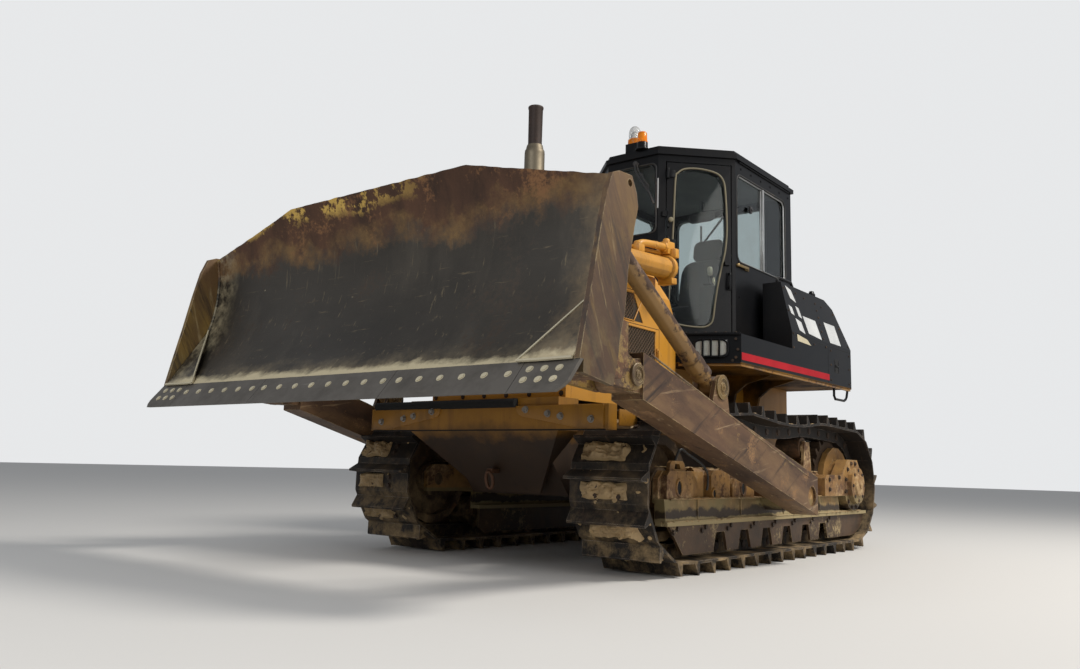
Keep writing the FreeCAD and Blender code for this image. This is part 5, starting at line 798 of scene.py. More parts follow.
class DOZER_OT_moldboard(bpy.types.Operator):
    """Curved face of the blade, slightly dented, with its weld seams and corner plates"""
    bl_idname = "dozer.moldboard"
    bl_label = "Blade face"

    def execute(self, context):
        across, up = 180, 40
        build = Build()
        borders = []
        for back in (0.0, BLADE_THICK):
            rows = []
            for i in range(across + 1):
                y = -BLADE_HALF + 2 * BLADE_HALF * i / across
                row = []
                for j in range(up + 1):
                    share = j / up
                    p = blade_point(y, BLADE_FOOT + (blade_top(y) - BLADE_FOOT) * share)
                    if not back:
                        inside = min(1, 4 * share * (1 - share)) * min(1, (BLADE_HALF - abs(y)) * 8)
                        p.x += 0.006 * inside * noise.noise(Vector((y * 1.7, p.z * 2.3, 4.0)))
                        if j == up:
                            p.z += 0.004 * noise.noise(Vector((y * 14, 1.0, 2.0)))
                    row.append(build.bm.verts.new((p.x - back, p.y, p.z)))
                rows.append(row)
            build.net(rows)
            borders.append([row[0] for row in rows] + rows[-1][1:]
                           + [row[-1] for row in rows[-2::-1]] + rows[0][-2:0:-1])
        build.skin(borders, ends=False)
        face = build.piece("moldboard_face", "blade_steel", body="blade_frame")
        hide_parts("moldboard")
        seam = [blade_point(BLADE_HALF - 0.005, 1.13 + 0.915 * k / 30, 0.004) for k in range(31)]
        Build().tube(seam, 0.009, 6).piece("blade_seams", "blade_steel", body="blade_frame", twin=True)
        corner = (2.774, 1.385, 1.126)
        top = blade_point(1.705, 1.53, 0.008)
        beads = Build().tube([corner, top], 0.006, 6)
        beads.tube([corner, (2.776, 1.500, 1.124), (2.774, 1.704, 1.126)], 0.009, 6)
        beads.piece("gusset_beads", "blade_steel", "cream", "blade_frame", twin=True)
        plate = Build().slab([(2.770, 1.705, 1.128), (2.770, 1.385, 1.128), top], (-0.010, -0.002, -0.004))
        plate.piece("corner_plates", "blade_steel", body="blade_frame", bevel=0.003, twin=True)
        return {"FINISHED"}


def edge_point(y, share):
    """A point on the cutting edge's front face, share 0 at the tip and 1 at its top."""
    return Vector((2.897, y, 0.963)).lerp(Vector((2.763, y, 1.120)), share)


class DOZER_OT_cutting_edge(bpy.types.Operator):
    """Bolts of the cutting edge and of the end bits"""
    bl_idname = "dozer.cutting_edge"
    bl_label = "Cutting edge bolts"

    def execute(self, context):
        bolts = Points()
        for k in range(8):
            bolts.add(edge_point(-0.52 + 1.04 * k / 7, 0.62), EDGE_OUT)
        for side in SIDES:
            for k in range(6):
                bolts.add(edge_point(side * (0.64 + 0.73 * k / 5), 0.62), EDGE_OUT)
            for row in (0.40, 0.74):
                for k in range(3):
                    bolts.add(edge_point(side * (1.485 + 0.085 * k), row), EDGE_OUT)
        bolts.studs("edge_bolts", 0.0155, 0.005, "cream", "edge_steel", "blade_frame", 16, 1.35)
        return {"FINISHED"}


def pin_head(build, spot, side, radius):
    """The turned end of a pin with its ring and grease fitting."""
    build.lathe(spot, (0, side, 0), [
        (-0.004, radius), (0.010, radius), (0.013, radius * 0.93), (0.013, radius * 0.70),
        (0.006, radius * 0.66), (0.006, radius * 0.38), (0.014, radius * 0.33), (0.014, radius * 0.12),
        (0.022, radius * 0.10), (0.022, 0.0)], 32)


class DOZER_OT_blade_irons(bpy.types.Operator):
    """Pin heads, keepers, welds and the tilt cylinder's glands on the blade's frame"""
    bl_idname = "dozer.blade_irons"
    bl_label = "Blade pins and welds"

    def execute(self, context):
        heads = Build()
        for x, z, outer, inner, radius in FRAME_PINS:
            for side in SIDES:
                pin_head(heads, (x, side * outer, z), side, radius)
                pin_head(heads, (x, side * inner, z), -side, radius)
        heads.piece("frame_pin_heads", "blade_ochre", "end_ochre", "blade_frame")
        keepers, bolts = Build(), Points()
        for x, z, y, turn in ((2.200, 1.900, 1.527, 2.4), (2.190, 2.000, 0.811, 2.2)):
            tilt = Matrix.Rotation(-turn, 3, "Y")
            for side in SIDES:
                middle = Vector((x, side * (y + 0.005), z)) + tilt @ Vector((0.066, 0, 0))
                keepers.block(middle, (0.030, 0.005, 0.014), tilt)
                bolts.add(middle + Vector((0.010, side * 0.005, 0)), (0, side, 0))
        keepers.piece("pin_keepers", "blade_ochre", "end_ochre", "blade_frame", bevel=0.002)
        bolts.studs("keeper_bolts", 0.009, 0.007, "dark_bolt", "blade_ochre", "blade_frame", washer=1.5)
        welds = Build()
        for side in SIDES:
            # seams along the arm's upper edges, from its trunnion to its front
            for y in (1.352, 1.548):
                welds.tube([(-0.30 + 0.054 * k, side * y, 0.621 + 0.0158 * k + 0.0012 * math.sin(k * 2.6))
                            for k in range(41)], 0.006, 6)
            base = [(0.905 + 0.19 * j / 12, side * 1.371, 1.010 + 0.052 * j / 12) for j in range(13)]
            welds.tube(base, 0.007, 6)
        welds.piece("frame_welds", "blade_ochre", "arm", "blade_frame")
        foot = BRACE_FOOT * Vector((1, -1, 1))
        glands = Build()
        for start, profile in ((0.83, [(0, 0.080), (0.006, 0.090), (0.060, 0.090), (0.066, 0.080)]),
                               (0.150, [(0, 0.070), (0.008, 0.088), (0.034, 0.088), (0.040, 0.080)])):
            glands.lathe(foot + BRACE_WAY * start, BRACE_WAY, profile, 32)
        pipe = [foot + BRACE_WAY * along + Vector((back, 0, up)) for along, back, up in (
            (0.20, -0.045, 0.072), (0.26, -0.060, 0.096), (0.70, -0.060, 0.096), (0.80, -0.042, 0.068))]
        glands.tube(smooth_path(pipe), 0.012)
        glands.piece("tilt_glands", "blade_ochre", "brace", "blade_frame", bevel=0.002)
        collars = Build()
        for start in (0.115, 1.245):
            collars.lathe(BRACE_FOOT + BRACE_WAY * start, BRACE_WAY,
                          [(0, 0.054), (0.008, 0.064), (0.040, 0.064), (0.048, 0.054)], 32)
        collars.piece("brace_collars", "blade_ochre", "brace", "blade_frame")
        return {"FINISHED"}


# Lift cylinders, at rest

LIFT_PIVOT = (1.04, 0.73, 2.07)
LIFT_ANGLE = 0.0608
LIFT_WAY = Vector((0.99815, 0, -0.06076))
LIFT_UP = Vector((0.06076, 0, 0.99815))
CAP_ENDS = (
    (0.50, 1, ((0, 0.080), (0.004, 0.094), (0.052, 0.094), (0.058, 0.086), (0.064, 0.050))),
    (-0.700, -1, ((0, 0.080), (0.006, 0.096), (0.040, 0.096), (0.046, 0.088), (0.064, 0.082),
                  (0.070, 0.060))),
    (-0.06, 1, ((0, 0.080), (0.006, 0.091), (0.114, 0.091), (0.120, 0.080))))
# distance along, height and size of the valve blocks
VALVE_BLOCKS = (
    (-0.745, 0.150, (0.105, 0.085, 0.095)), (-0.760, 0.108, (0.055, 0.165, 0.070)),
    (-0.345, 0.096, (0.080, 0.070, 0.055)), (-0.745, -0.097, (0.075, 0.120, 0.048)),
    (-0.820, 0.120, (0.050, 0.060, 0.060)))
# radius of each pipe, then distance along, outwards and up of its points
LIFT_PIPES = (
    (0.026, ((-0.70, 0.018, 0.150), (-0.60, 0.018, 0.150), (-0.42, 0.014, 0.142), (-0.352, 0.010, 0.128),
             (-0.345, 0.008, 0.100))),
    (0.014, ((-0.70, -0.030, 0.118), (-0.55, -0.030, 0.112), (0.30, -0.030, 0.100), (0.47, -0.028, 0.098),
             (0.515, -0.026, 0.084))))


def on_barrel(side, along, out=0.0, up=0.0):
    """A point by its distance from the barrel's pivot along it, outwards and up."""
    x, y, z = LIFT_PIVOT
    return Vector((x, side * (y + out), z)) + LIFT_WAY * along + LIFT_UP * up


class DOZER_OT_lift_cylinders(bpy.types.Operator):
    """Caps, bolts, pipes and valve blocks of the two lift cylinders"""
    bl_idname = "dozer.lift_cylinders"
    bl_label = "Lift cylinder fittings"

    def execute(self, context):
        turn = Matrix.Rotation(LIFT_ANGLE, 3, "Y")
        for side, name in NAMED_SIDES:
            body = "lift_barrel_" + name
            caps = Build()
            for along, end, profile in CAP_ENDS:
                caps.lathe(on_barrel(side, along), LIFT_WAY * end, profile, 36)
            caps.piece("lift_caps_" + name, "yellow", body=body, bevel=0.002)
            blocks = Build()
            for along, up, size in VALVE_BLOCKS:
                blocks.block(on_barrel(side, along, 0, up), Vector(size) / 2, turn)
            for along, up, radius in ((-0.745, 0.175, 0.026), (-0.795, 0.120, 0.032), (-0.345, 0.098, 0.028)):
                blocks.lathe(on_barrel(side, along, 0, up), LIFT_UP, [
                    (0, radius), (0.040, radius), (0.050, radius * 0.8), (0.054, 0)], 20)
            blocks.piece("valve_blocks_" + name, "yellow", body=body, bevel=0.006)
            pipes = Build()
            for radius, points in LIFT_PIPES:
                pipes.tube(smooth_path([on_barrel(side, *point) for point in points]), radius, 12)
            pipes.piece("lift_pipes_" + name, "yellow", body=body)
            nuts = Build()
            for along, out, up, radius in ((-0.690, 0.018, 0.150, 0.038), (-0.690, -0.030, 0.118, 0.024),
                                           (-0.560, 0.016, 0.148, 0.032)):
                nuts.lathe(on_barrel(side, along, out, up), LIFT_WAY, [
                    (0, radius), (0.024, radius), (0.028, radius * 0.8)], 6)
            for along in (-0.20, 0.15, 0.40):
                clip = on_barrel(side, along, -0.030, 0.088)
                nuts.box(clip - Vector((0.014, 0.020, 0.014)), clip + Vector((0.014, 0.020, 0.020)), turn)
            nuts.piece("pipe_nuts_" + name, "yellow", body=body, bevel=0.002)
            bolts = Points()
            for along, way in ((0.560, LIFT_WAY), (-0.752, -LIFT_WAY)):
                for a in angles(8, 0.5):
                    bolts.add(on_barrel(side, along, 0.080 * math.cos(a), 0.080 * math.sin(a)), way)
            for along in (-0.755, -0.715):
                for out in (-0.025, 0.025):
                    bolts.add(on_barrel(side, along, out, 0.173), LIFT_UP)
            bolts.studs("lift_bolts_" + name, 0.009, 0.008, "yellow", "yellow", body, washer=1.3)
            heads = Build()
            pin_head(heads, (1.04, side * 0.818, 2.07), side, 0.038)
            heads.piece("pivot_heads_" + name, "yellow", body=body)
            seal = Build().lathe(on_barrel(side, 0.566), LIFT_WAY, [
                (0, 0.048), (0.010, 0.044), (0.014, 0.033)], 32)
            seal.piece("rod_seals_" + name, "yellow", "rubber", body)
        return {"FINISHED"}


# Hood, exhaust and front guard

UP = (0, 0, 1)
HOOD_SIDE = 0.600
GUARD_FRONT = 1.34
HOOD_TOP = 2.198
EXHAUST = (0.988, 0)
BEAM_FRONT = 1.508


def wire_weave(build, low, high, y, step, radius):
    """Wires crossing at 45 degrees inside a rectangle of X and Z, clipped to its border."""
    (x0, z0), (x1, z1) = low, high
    near = 1e-6
    span = (x1 - x0) + (z1 - z0)
    count = int(span / step)
    for lean in (1, -1):
        for k in range(1, count):
            offset = k * span / count
            # where the slanting line meets the four borders
            points = sorted({(x, z) for x, z in (
                (x0 + offset, z0), (x0, z0 + offset), (x1, z0 + offset - (x1 - x0)),
                (x0 + offset - (z1 - z0), z1))
                if x0 - near <= x <= x1 + near and z0 - near <= z <= z1 + near})
            if len(points) < 2:
                continue
            (ax, az), (bx, bz) = points[0], points[-1]
            if lean < 0:
                az, bz = z0 + z1 - az, z0 + z1 - bz
            build.tube([(ax, y + 0.0015 * lean, az), (bx, y + 0.0015 * lean, bz)], radius, 5, ends=False)


class DOZER_OT_hood(bpy.types.Operator):
    """Woven wire in the side openings, panel seams, hinges, latches and caps of the hood"""
    bl_idname = "dozer.hood"
    bl_label = "Hood details"

    def execute(self, context):
        wires = Build()
        for low, high in (((0.244, 1.40), (1.09, 1.661)), ((0.54, 1.701), (1.09, 1.905))):
            wire_weave(wires, low, high, HOOD_SIDE - 0.0035, 0.034, 0.0032)
        wires.piece("hood_wires", "mesh", "wire", twin=True)
        rims = Build()
        for outline in ([(0.244, 1.40), (1.09, 1.40), (1.09, 1.661), (0.244, 1.661)],
                        [(0.54, 1.701), (1.09, 1.701), (1.09, 1.905), (0.41, 1.905)]):
            path = [(ax + (bx - ax) * k / 8, HOOD_SIDE + 0.0005, az + (bz - az) * k / 8)
                    for (ax, az), (bx, bz) in zip(outline, outline[1:] + outline[:1]) for k in range(8)]
            rims.tube(path, 0.006, 6, closed=True)
        rims.piece("opening_rims", "yellow", twin=True)
        seams = Build()
        # low and high x, low and high z of each seam's middle line
        for x0, x1, z0, z1 in ((0.185, 1.145, 1.36, 1.36), (1.145, 1.145, 1.36, 1.925),
                               (0.185, 0.185, 1.36, 1.925), (0.185, 1.145, 1.681, 1.681),
                               (0.185, 1.145, 1.925, 1.925)):
            seams.box((x0 - 0.002, HOOD_SIDE - 0.0005, z0 - 0.002),
                      (x1 + 0.002, HOOD_SIDE + 0.0006, z1 + 0.002))
        seams.piece("hood_seams", "black", "gap", twin=True)
        irons = Build()
        for z in (1.44, 1.60, 1.74, 1.87):
            irons.lathe((1.165, 0.606, z - 0.028), UP, [(0, 0.010), (0.056, 0.010)], 12)
            irons.box((1.130, 0.599, z - 0.024), (1.200, 0.604, z + 0.024))
        for z in (1.50, 1.80):
            irons.box((0.201, 0.599, z - 0.035), (0.229, 0.611, z + 0.035))
            irons.box((0.208, 0.608, z - 0.050), (0.222, 0.620, z + 0.020))
        irons.box((0.30, 0.598, 1.945), (0.55, 0.634, 2.055))
        irons.piece("hood_irons", "yellow", bevel=0.003, twin=True)
        lifting = Build()
        half_loop = ((0.035, 2.196), (0.035, 2.225), (0.018, 2.243))
        for x in (0.30, 1.16):
            lifting.tube([(x - off, 0.40, z) for off, z in half_loop]
                         + [(x + off, 0.40, z) for off, z in half_loop[::-1]], 0.008, 8)
        lifting.piece("hood_lifting_eyes", "yellow", twin=True)
        caps = Build()
        caps.lathe((0.62, 0.26, HOOD_TOP), UP, [
            (0, 0.072), (0.010, 0.072), (0.016, 0.060), (0.034, 0.058), (0.040, 0.050), (0.040, 0)], 28)
        caps.lathe((1.20, -0.28, HOOD_TOP), UP, [
            (0, 0.060), (0.012, 0.060), (0.018, 0.048), (0.036, 0.046), (0.040, 0.040), (0.040, 0)], 28)
        caps.piece("hood_caps", "black", bevel=0.001)
        bolts = Points()
        for x in (-0.02, 0.10, 0.22):
            bolts.both(x, HOOD_SIDE, 1.20 + x, (0, 1, 0))
        for k in range(5):
            bolts.both(0.24 + 0.22 * k, HOOD_SIDE, 1.33, (0, 1, 0))
        for k in range(6):
            bolts.both(0.26 + 0.18 * k, 0.46, 2.2, UP)
        bolts.studs("hood_bolts", 0.011, 0.007, "yellow", "yellow", washer=1.5)
        bolts = Points()
        for y, z in ((0.565, 1.115), (0.565, 1.50), (0.565, 1.86), (0.565, 2.165), (0.10, 2.165),
                     (0.10, 1.115), (0.30, 2.165), (0.30, 1.115)):
            bolts.both(GUARD_FRONT, y, z, (1, 0, 0))
        bolts.studs("guard_bolts", 0.013, 0.009, "dark_bolt", "yellow")
        return {"FINISHED"}


class DOZER_OT_exhaust(bpy.types.Operator):
    """Rusty tail pipe with a rolled rim above a heat sleeve"""
    bl_idname = "dozer.exhaust"
    bl_label = "Exhaust"

    def execute(self, context):
        sleeve = Build().lathe((*EXHAUST, 2.199), UP, [
            (0, 0.099), (0.012, 0.099), (0.016, 0.090), (0.030, 0.080), (0.050, 0.077), (0.300, 0.076),
            (0.306, 0.079), (0.318, 0.079), (0.324, 0.076), (0.740, 0.075), (0.762, 0.073), (0.772, 0.066),
            (0.796, 0.061), (0.806, 0.058), (0.806, 0.050)], 48)
        stack = sleeve.piece("exhaust_sleeve", "exhaust")
        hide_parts("exhaust_stack")
        pipe = Build().lathe((*EXHAUST, 2.960), UP, [
            (0, 0.050), (0.040, 0.0515), (0.322, 0.0535), (0.330, 0.057), (0.340, 0.058), (0.345, 0.056),
            (0.343, 0.049), (0.325, 0.047), (0.02, 0.046), (0.02, 0)], 48)
        pipe.piece("exhaust_pipe", "exhaust", "pipe_rust")
        band = Build().lathe((*EXHAUST, 2.560), UP, [
            (0, 0.077), (0.002, 0.0795), (0.018, 0.0795), (0.02, 0.077)], 40)
        band.box((1.062, -0.012, 2.556), (1.084, 0.012, 2.584))
        band.piece("sleeve_clamp", "exhaust", bevel=0.002)
        return {"FINISHED"}


class DOZER_OT_front_guard(bpy.types.Operator):
    """Plates, bolts, seams, painted shade above the beam and the towing eye in front of the hull"""
    bl_idname = "dozer.front_guard"
    bl_label = "Front guard details"

    def execute(self, context):
        plates = Build().slab([(BEAM_FRONT, y, z) for y, z in (
            (0.34, 1.024), (0.345, 0.992), (0.36, 0.972), (0.39, 0.958), (0.84, 0.882), (1.02, 0.882),
            (1.02, 1.024))], (0.012, 0, 0))
        plates.box((1.20, 1.046, 0.90), (1.40, 1.056, 1.00))
        plates.piece("beam_plates", "yellow", "hull", bevel=0.004, twin=True)
        bolts = Points()
        for y, z in ((0.60, 0.972), (0.70, 0.955), (0.93, 0.935), (0.42, 1.000)):
            bolts.both(BEAM_FRONT + 0.012, y, z, (1, 0, 0))
        bolts.studs("beam_bolts", 0.017, 0.020, "bolt", "yellow")
        seam = Build().box((1.5095, -1.03, 0.867), (1.5105, 1.03, 0.876))
        seam.box((1.46, -0.30, 1.020), (1.512, 0.30, 1.028))
        # painted shade: a deep black tube stands for the dark gap between the blade and the beam
        seam.tube([(1.505, -1.00, 1.045), (1.505, 0.33, 1.045)], 0.030, 14)
        seam.piece("beam_seams_and_gap_shade", "black", "gap")
        ring = [(1.345 + 0.012 * math.cos(a), -0.02 + 0.030 * math.sin(a), 0.545 + 0.055 * math.cos(a))
                for a in angles(28)]
        eye = Build().tube(ring, 0.012, closed=True)
        eye.box((1.270, -0.045, 0.590), (1.350, 0.005, 0.622))
        eye.piece("towing_eye", "undercarriage", "rust", bevel=0.003)
        return {"FINISHED"}


# Cab

CAB_FRONT = -0.360
CAB_REAR = -2.010
CAB_SIDE = 0.729
ROOF_UNDER = 3.366
DECK = 1.684
HALF_RIGHT = 0.7071
DOOR_PANE = ((0.149, 3.086), (0.167, 3.134), (0.225, 3.175), (0.334, 3.186), (0.450, 3.172), (0.531, 3.140),
             (0.574, 3.069), (0.588, 2.924), (0.595, 2.749), (0.594, 2.619), (0.579, 2.473), (0.543, 2.314),
             (0.513, 2.170), (0.489, 2.013), (0.474, 1.900), (0.449, 1.850), (0.392, 1.822), (0.292, 1.822),
             (0.193, 1.834), (0.118, 1.862), (0.096, 1.950), (0.096, 2.079), (0.114, 2.291), (0.133, 2.722))


def wall(side, along, out, z):
    """A point on a front corner wall of the cab, by the distance from its front edge and off its face."""
    return Vector((CAB_FRONT + HALF_RIGHT * (out - along), side * (0.255 + HALF_RIGHT * (along + out)), z))


def round_frame(low, high, radius, place, steps=7):
    """A rectangle with round corners as a closed path in space."""
    path = []
    for cx, cy, start in ((high[0] - radius, high[1] - radius, 0), (low[0] + radius, high[1] - radius, 90),
                          (low[0] + radius, low[1] + radius, 180), (high[0] - radius, low[1] + radius, 270)):
        for k in range(steps):
            a = math.radians(start + 90 * k / (steps - 1))
            path.append(place(cx + radius * math.cos(a), cy + radius * math.sin(a)))
    return path


class DOZER_OT_doors(bpy.types.Operator):
    """Window rubber, hinges, handle and stop on both doors"""
    bl_idname = "dozer.doors"
    bl_label = "Door details"

    def execute(self, context):
        half = context.scene.dozer_sizes.gasket
        for side, name in NAMED_SIDES:
            body = "door_" + name
            turn = Matrix.Rotation(math.radians(45 * side), 3, "Z")
            rubber = Build()
            for off, radius in ((0.001, half * 0.72), (-0.046, half * 0.6)):
                loop = [wall(side, a, off, z) for a, z in DOOR_PANE[-1:] + DOOR_PANE + DOOR_PANE[:2]]
                rubber.tube(smooth_path(loop, 4)[4:4 + 4 * len(DOOR_PANE)], radius, 8, closed=True)
            rubber.piece("door_gasket_" + name, "black", "gasket", body)
            irons = Build()
            for z in (1.86, 2.48, 3.08):
                irons.lathe((-0.40667, side * 0.32288, z), UP, [
                    (0, 0.010), (0.004, 0.013), (0.086, 0.013), (0.090, 0.010)], 16)
                irons.block(wall(side, 0.115, 0.006, z + 0.045), (0.005, 0.030, 0.030), turn)
            irons.piece("door_hinges_" + name, "black", body=body, bevel=0.002)
            handle = Build().block(wall(side, 0.610, 0.004, 2.22), (0.005, 0.022, 0.075), turn)
            grip = [wall(side, *place) for place in (
                (0.610, 0.008, 2.285), (0.610, 0.038, 2.275), (0.606, 0.042, 2.22), (0.602, 0.038, 2.165),
                (0.602, 0.008, 2.155))]
            handle.tube(smooth_path(grip, 6), 0.009)
            handle.piece("door_handle_" + name, "black", body=body, bevel=0.002)
            knob = Build().lathe(wall(side, 0.100, 0.002, 2.715), (1, side, 0), [
                (0, 0.014), (0.010, 0.014), (0.014, 0.008), (0.026, 0.008), (0.030, 0.020), (0.044, 0.021),
                (0.050, 0.014), (0.052, 0)], 20)
            knob.piece("door_stop_" + name, "black", "gasket", body)
        return {"FINISHED"}


class DOZER_OT_cab(bpy.types.Operator):
    """Window rubber, wipers, sliding panes, latches, roof plate and both beacons"""
    bl_idname = "dozer.cab"
    bl_label = "Cab details"

    def execute(self, context):
        half = context.scene.dozer_sizes.gasket
        rubber = Build()
        for inset in (0.0, 0.045):
            rubber.tube(round_frame((-0.236, 2.614), (0.236, 3.220), 0.05,
                                    lambda u, v: (CAB_FRONT - inset, u, v)), half * 0.7, 8, closed=True)
            rubber.tube(round_frame((-0.495, 2.320), (0.495, 3.180), 0.06,
                                    lambda u, v: (CAB_REAR + inset, u, v)), half * 0.7, 8, closed=True)
            for side in SIDES:
                rubber.tube(round_frame((-1.870, 2.405), (-0.860, 3.175), 0.07,
                                        lambda u, v: (u, side * (CAB_SIDE - inset), v)), half * 0.55, 8,
                            closed=True)
        rubber.piece("cab_gaskets", "black", "rubber")
        slide = Build().box((-1.404, 0.712, 2.415), (-1.376, 0.734, 3.165))
        slide.box((-1.388, 0.700, 2.415), (-1.366, 0.716, 3.165))
        slide.tube(round_frame((-1.862, 2.414), (-0.868, 3.166), 0.05, lambda u, v: (u, 0.716, v)), 0.008, 6,
                   closed=True)
        slide.piece("sliding_frames", "black", "alloy", bevel=0.002, twin=True)
        clip = Build().box((-1.150, 0.716, 2.885), (-1.115, 0.738, 2.945))
        clip.box((-1.142, 0.730, 2.905), (-1.123, 0.748, 2.925))
        clip.piece("pane_clips", "black", "black_interior", bevel=0.003, twin=True)
        latch = Build().box((-1.070, CAB_SIDE, 2.350), (-1.000, 0.741, 2.388))
        latch.box((-1.050, 0.736, 2.358), (-0.845, 0.752, 2.380))
        latch.lathe((-0.860, CAB_SIDE, 2.369), (0, 1, 0), [(0, 0.016), (0.022, 0.016), (0.026, 0.010)], 16)
        latch.piece("pane_latches", "black", "brass", bevel=0.003, twin=True)
        strip = Build().slab([(-0.3595, y, z) for y, z in (
            (0.2465, 2.822), (0.2575, 2.822), (0.2595, 3.081), (0.2485, 3.081))], (0.003, 0, 0))
        strip.piece("pillar_strip", "black", "white")
        self.wipers()
        trim = Build()
        for y in (0.735, -0.735):
            trim.tube([(-0.90, y, 3.285), (-1.95, y, 3.285)], 0.008, 8)
        trim.box((-1.45, -0.32, 3.368), (-0.85, 0.32, 3.386))
        trim.piece("roof_trim", "black", bevel=0.004)
        ribs = Build()
        for x in (-1.82, -1.70, -1.58, -1.46):
            ribs.box((x - 0.038, 0.727, 1.98), (x + 0.038, 0.734, 2.26))
        ribs.piece("cab_side_ribs", "black", bevel=0.006, twin=True)
        bolts = Points()
        for k in range(6):
            bolts.both(-0.95 - 0.20 * k, CAB_SIDE, 3.235, (0, 1, 0))
        for k in range(7):
            bolts.both(CAB_FRONT - 0.002, 0.215, 1.80 + 0.11 * k, (1, 0, 0))
        for z in (1.78, 2.10, 2.40):
            bolts.both(-0.90, CAB_SIDE, z, (0, 1, 0))
        for k in range(5):
            bolts.both(CAB_REAR, 0.12 + 0.12 * k, 3.24, (-1, 0, 0))
        bolts.studs("cab_bolts", 0.009, 0.005, "black", "black", washer=1.5)
        self.beacons()
        return {"FINISHED"}

    def wipers(self):
        """The front and rear windows' wipers and the front blade's rubber."""
        wiper = Build()
        wiper.lathe((-0.362, 0.030, 3.249), (1, 0, 0), [
            (0, 0.022), (0.018, 0.022), (0.026, 0.014), (0.030, 0)], 20)
        wiper.lathe((-0.362, 0.052, 3.240), (1, 0, 0), [(0, 0.014), (0.016, 0.014), (0.022, 0.008)], 16)
        wiper.tube([(-0.338, 0.030, 3.249), (-0.336, 0.045, 3.170), (-0.340, 0.160, 2.985),
                    (-0.343, 0.176, 2.965)], 0.010, 8)
        wiper.tube([(-0.341, 0.052, 3.240), (-0.340, 0.068, 3.175), (-0.341, 0.172, 3.020)], 0.008, 8)
        wiper.tube([(-0.343, 0.100, 3.150), (-0.345, 0.160, 3.005), (-0.343, 0.222, 2.860)], 0.009, 8)
        wiper.lathe((CAB_REAR, 0.060, 3.215), (-1, 0, 0), [
            (0, 0.020), (0.014, 0.020), (0.020, 0.012), (0.024, 0)], 20)
        for off in (0.0, 0.032):
            wiper.tube([(-2.026, 0.060 - off, 3.215 - off * 0.4),
                        (-2.026, -0.210 - off * 0.4, 2.930)], 0.006, 8)
        wiper.box((-2.034, -0.242, 2.790), (-2.018, -0.226, 3.120))
        wiper.box((-0.356, 0.155, 2.995), (-0.336, 0.177, 3.025))
        wiper.piece("wiper", "black", "black_interior", bevel=0.001)
        edge = Build().slab([(-0.353, y, z) for y, z in (
            (0.098, 3.152), (0.103, 3.154), (0.224, 2.862), (0.219, 2.860))], (0.012, 0, 0))
        edge.piece("wiper_rubber", "black", "rubber")

    def beacons(self):
        """The amber beacon, the clear dome and the stands under both."""
        stand = Build().lathe((-0.380, 0.081, ROOF_UNDER), UP, [
            (0, 0.060), (0.010, 0.060), (0.016, 0.048), (0.070, 0.047)], 28)
        stand.box((-0.560, -0.132, ROOF_UNDER), (-0.440, -0.012, 3.482))
        bracket = stand.piece("beacon_bracket", "black", bevel=0.003)
        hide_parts("beacons")
        amber = Build().lathe((-0.380, 0.081, 3.434), UP, [
            (0, 0.046), (0.012, 0.046), (0.016, 0.042), (0.080, 0.040), (0.094, 0.034), (0.098, 0)], 32)
        amber.piece("amber_beacon", "amber")
        dome_foot = Vector((-0.500, -0.072, 3.480))
        base = Build().lathe(dome_foot, UP, [(0, 0.060), (0.010, 0.062), (0.048, 0.060), (0.054, 0.050)], 32)
        base.piece("dome_base", "amber")
        profile = [(0.050, 0.056), (0.110, 0.053)]
        profile += [(0.110 + 0.066 * math.sin(math.pi * k / 16), 0.053 * math.cos(math.pi * k / 16))
                    for k in range(1, 9)]
        Build().lathe(dome_foot, UP, profile, 32).piece("beacon_dome", "lamp_glass", "lens_clear")
        core = Build().lathe(dome_foot + Vector((0, 0, 0.050)), UP, [
            (0, 0.030), (0.060, 0.026), (0.070, 0.016), (0.070, 0)], 20)
        core.piece("beacon_core", "lamp_glass", "alloy")


def stuffed(name, size, place, turn, channels):
    """A cloth box on its frame, filled by pressure, with its underside and sewn channels held."""
    build = bmesh.new()
    bmesh.ops.create_cube(build, size=1)
    bmesh.ops.subdivide_edges(build, edges=build.edges[:], cuts=15, use_grid_fill=True)
    mesh = bpy.data.meshes.new(name)
    build.to_mesh(mesh)
    build.free()
    item = new_item(name, mesh)
    held = item.vertex_groups.new(name="held")
    corner = 4.5
    for v in mesh.vertices:
        x, y, z = v.co
        if z < -0.49:
            held.add([v.index], 1.0, "REPLACE")
        elif z > 0.49 and any(abs(y - c) < 0.02 for c in channels):
            held.add([v.index], 0.92, "REPLACE")
        # the plan has round corners
        reach = max(abs(x), abs(y), 0.001)
        shrink = reach / (abs(x) ** corner + abs(y) ** corner + 1e-9) ** (1 / corner)
        v.co = (x * shrink * size[0], y * shrink * size[1], z * size[2])
    cloth = item.modifiers.new("cloth", "CLOTH")
    for key, value in (("use_pressure", True), ("uniform_pressure_force", 4.5), ("vertex_group_mass", "held"),
                       ("tension_stiffness", 25), ("compression_stiffness", 25), ("shrink_min", -0.02)):
        setattr(cloth.settings, key, value)
    cloth.settings.effector_weights.gravity = 0
    cloth.collision_settings.use_collision = False
    cloth.point_cache.frame_start = 1
    cloth.point_cache.frame_end = 20
    scene = bpy.context.scene
    for number in range(1, 19):
        scene.frame_set(number)
    soft = item.modifiers.new("soft", "SUBSURF")
    soft.levels = 1
    soft.render_levels = 1
    settle(item)
    scene.frame_set(1)
    item.data.transform(Matrix.Translation(place) @ Matrix.Rotation(turn, 4, "Y"))
    dress(item, "chassis", "seat_fabric", facets=False)
    return item


# x, y, height of the head, lean to the front and grip radius of the levers
LEVERS = ((-1.06, 0.39, 2.400, 0.035, 0.024), (-1.16, 0.36, 2.330, 0.010, 0.014),
          (-1.06, -0.39, 2.400, 0.035, 0.024), (-1.20, -0.36, 2.320, 0.010, 0.014),
          (-1.20, -0.42, 2.320, 0.010, 0.014))
CONSOLE_TOP = 2.236


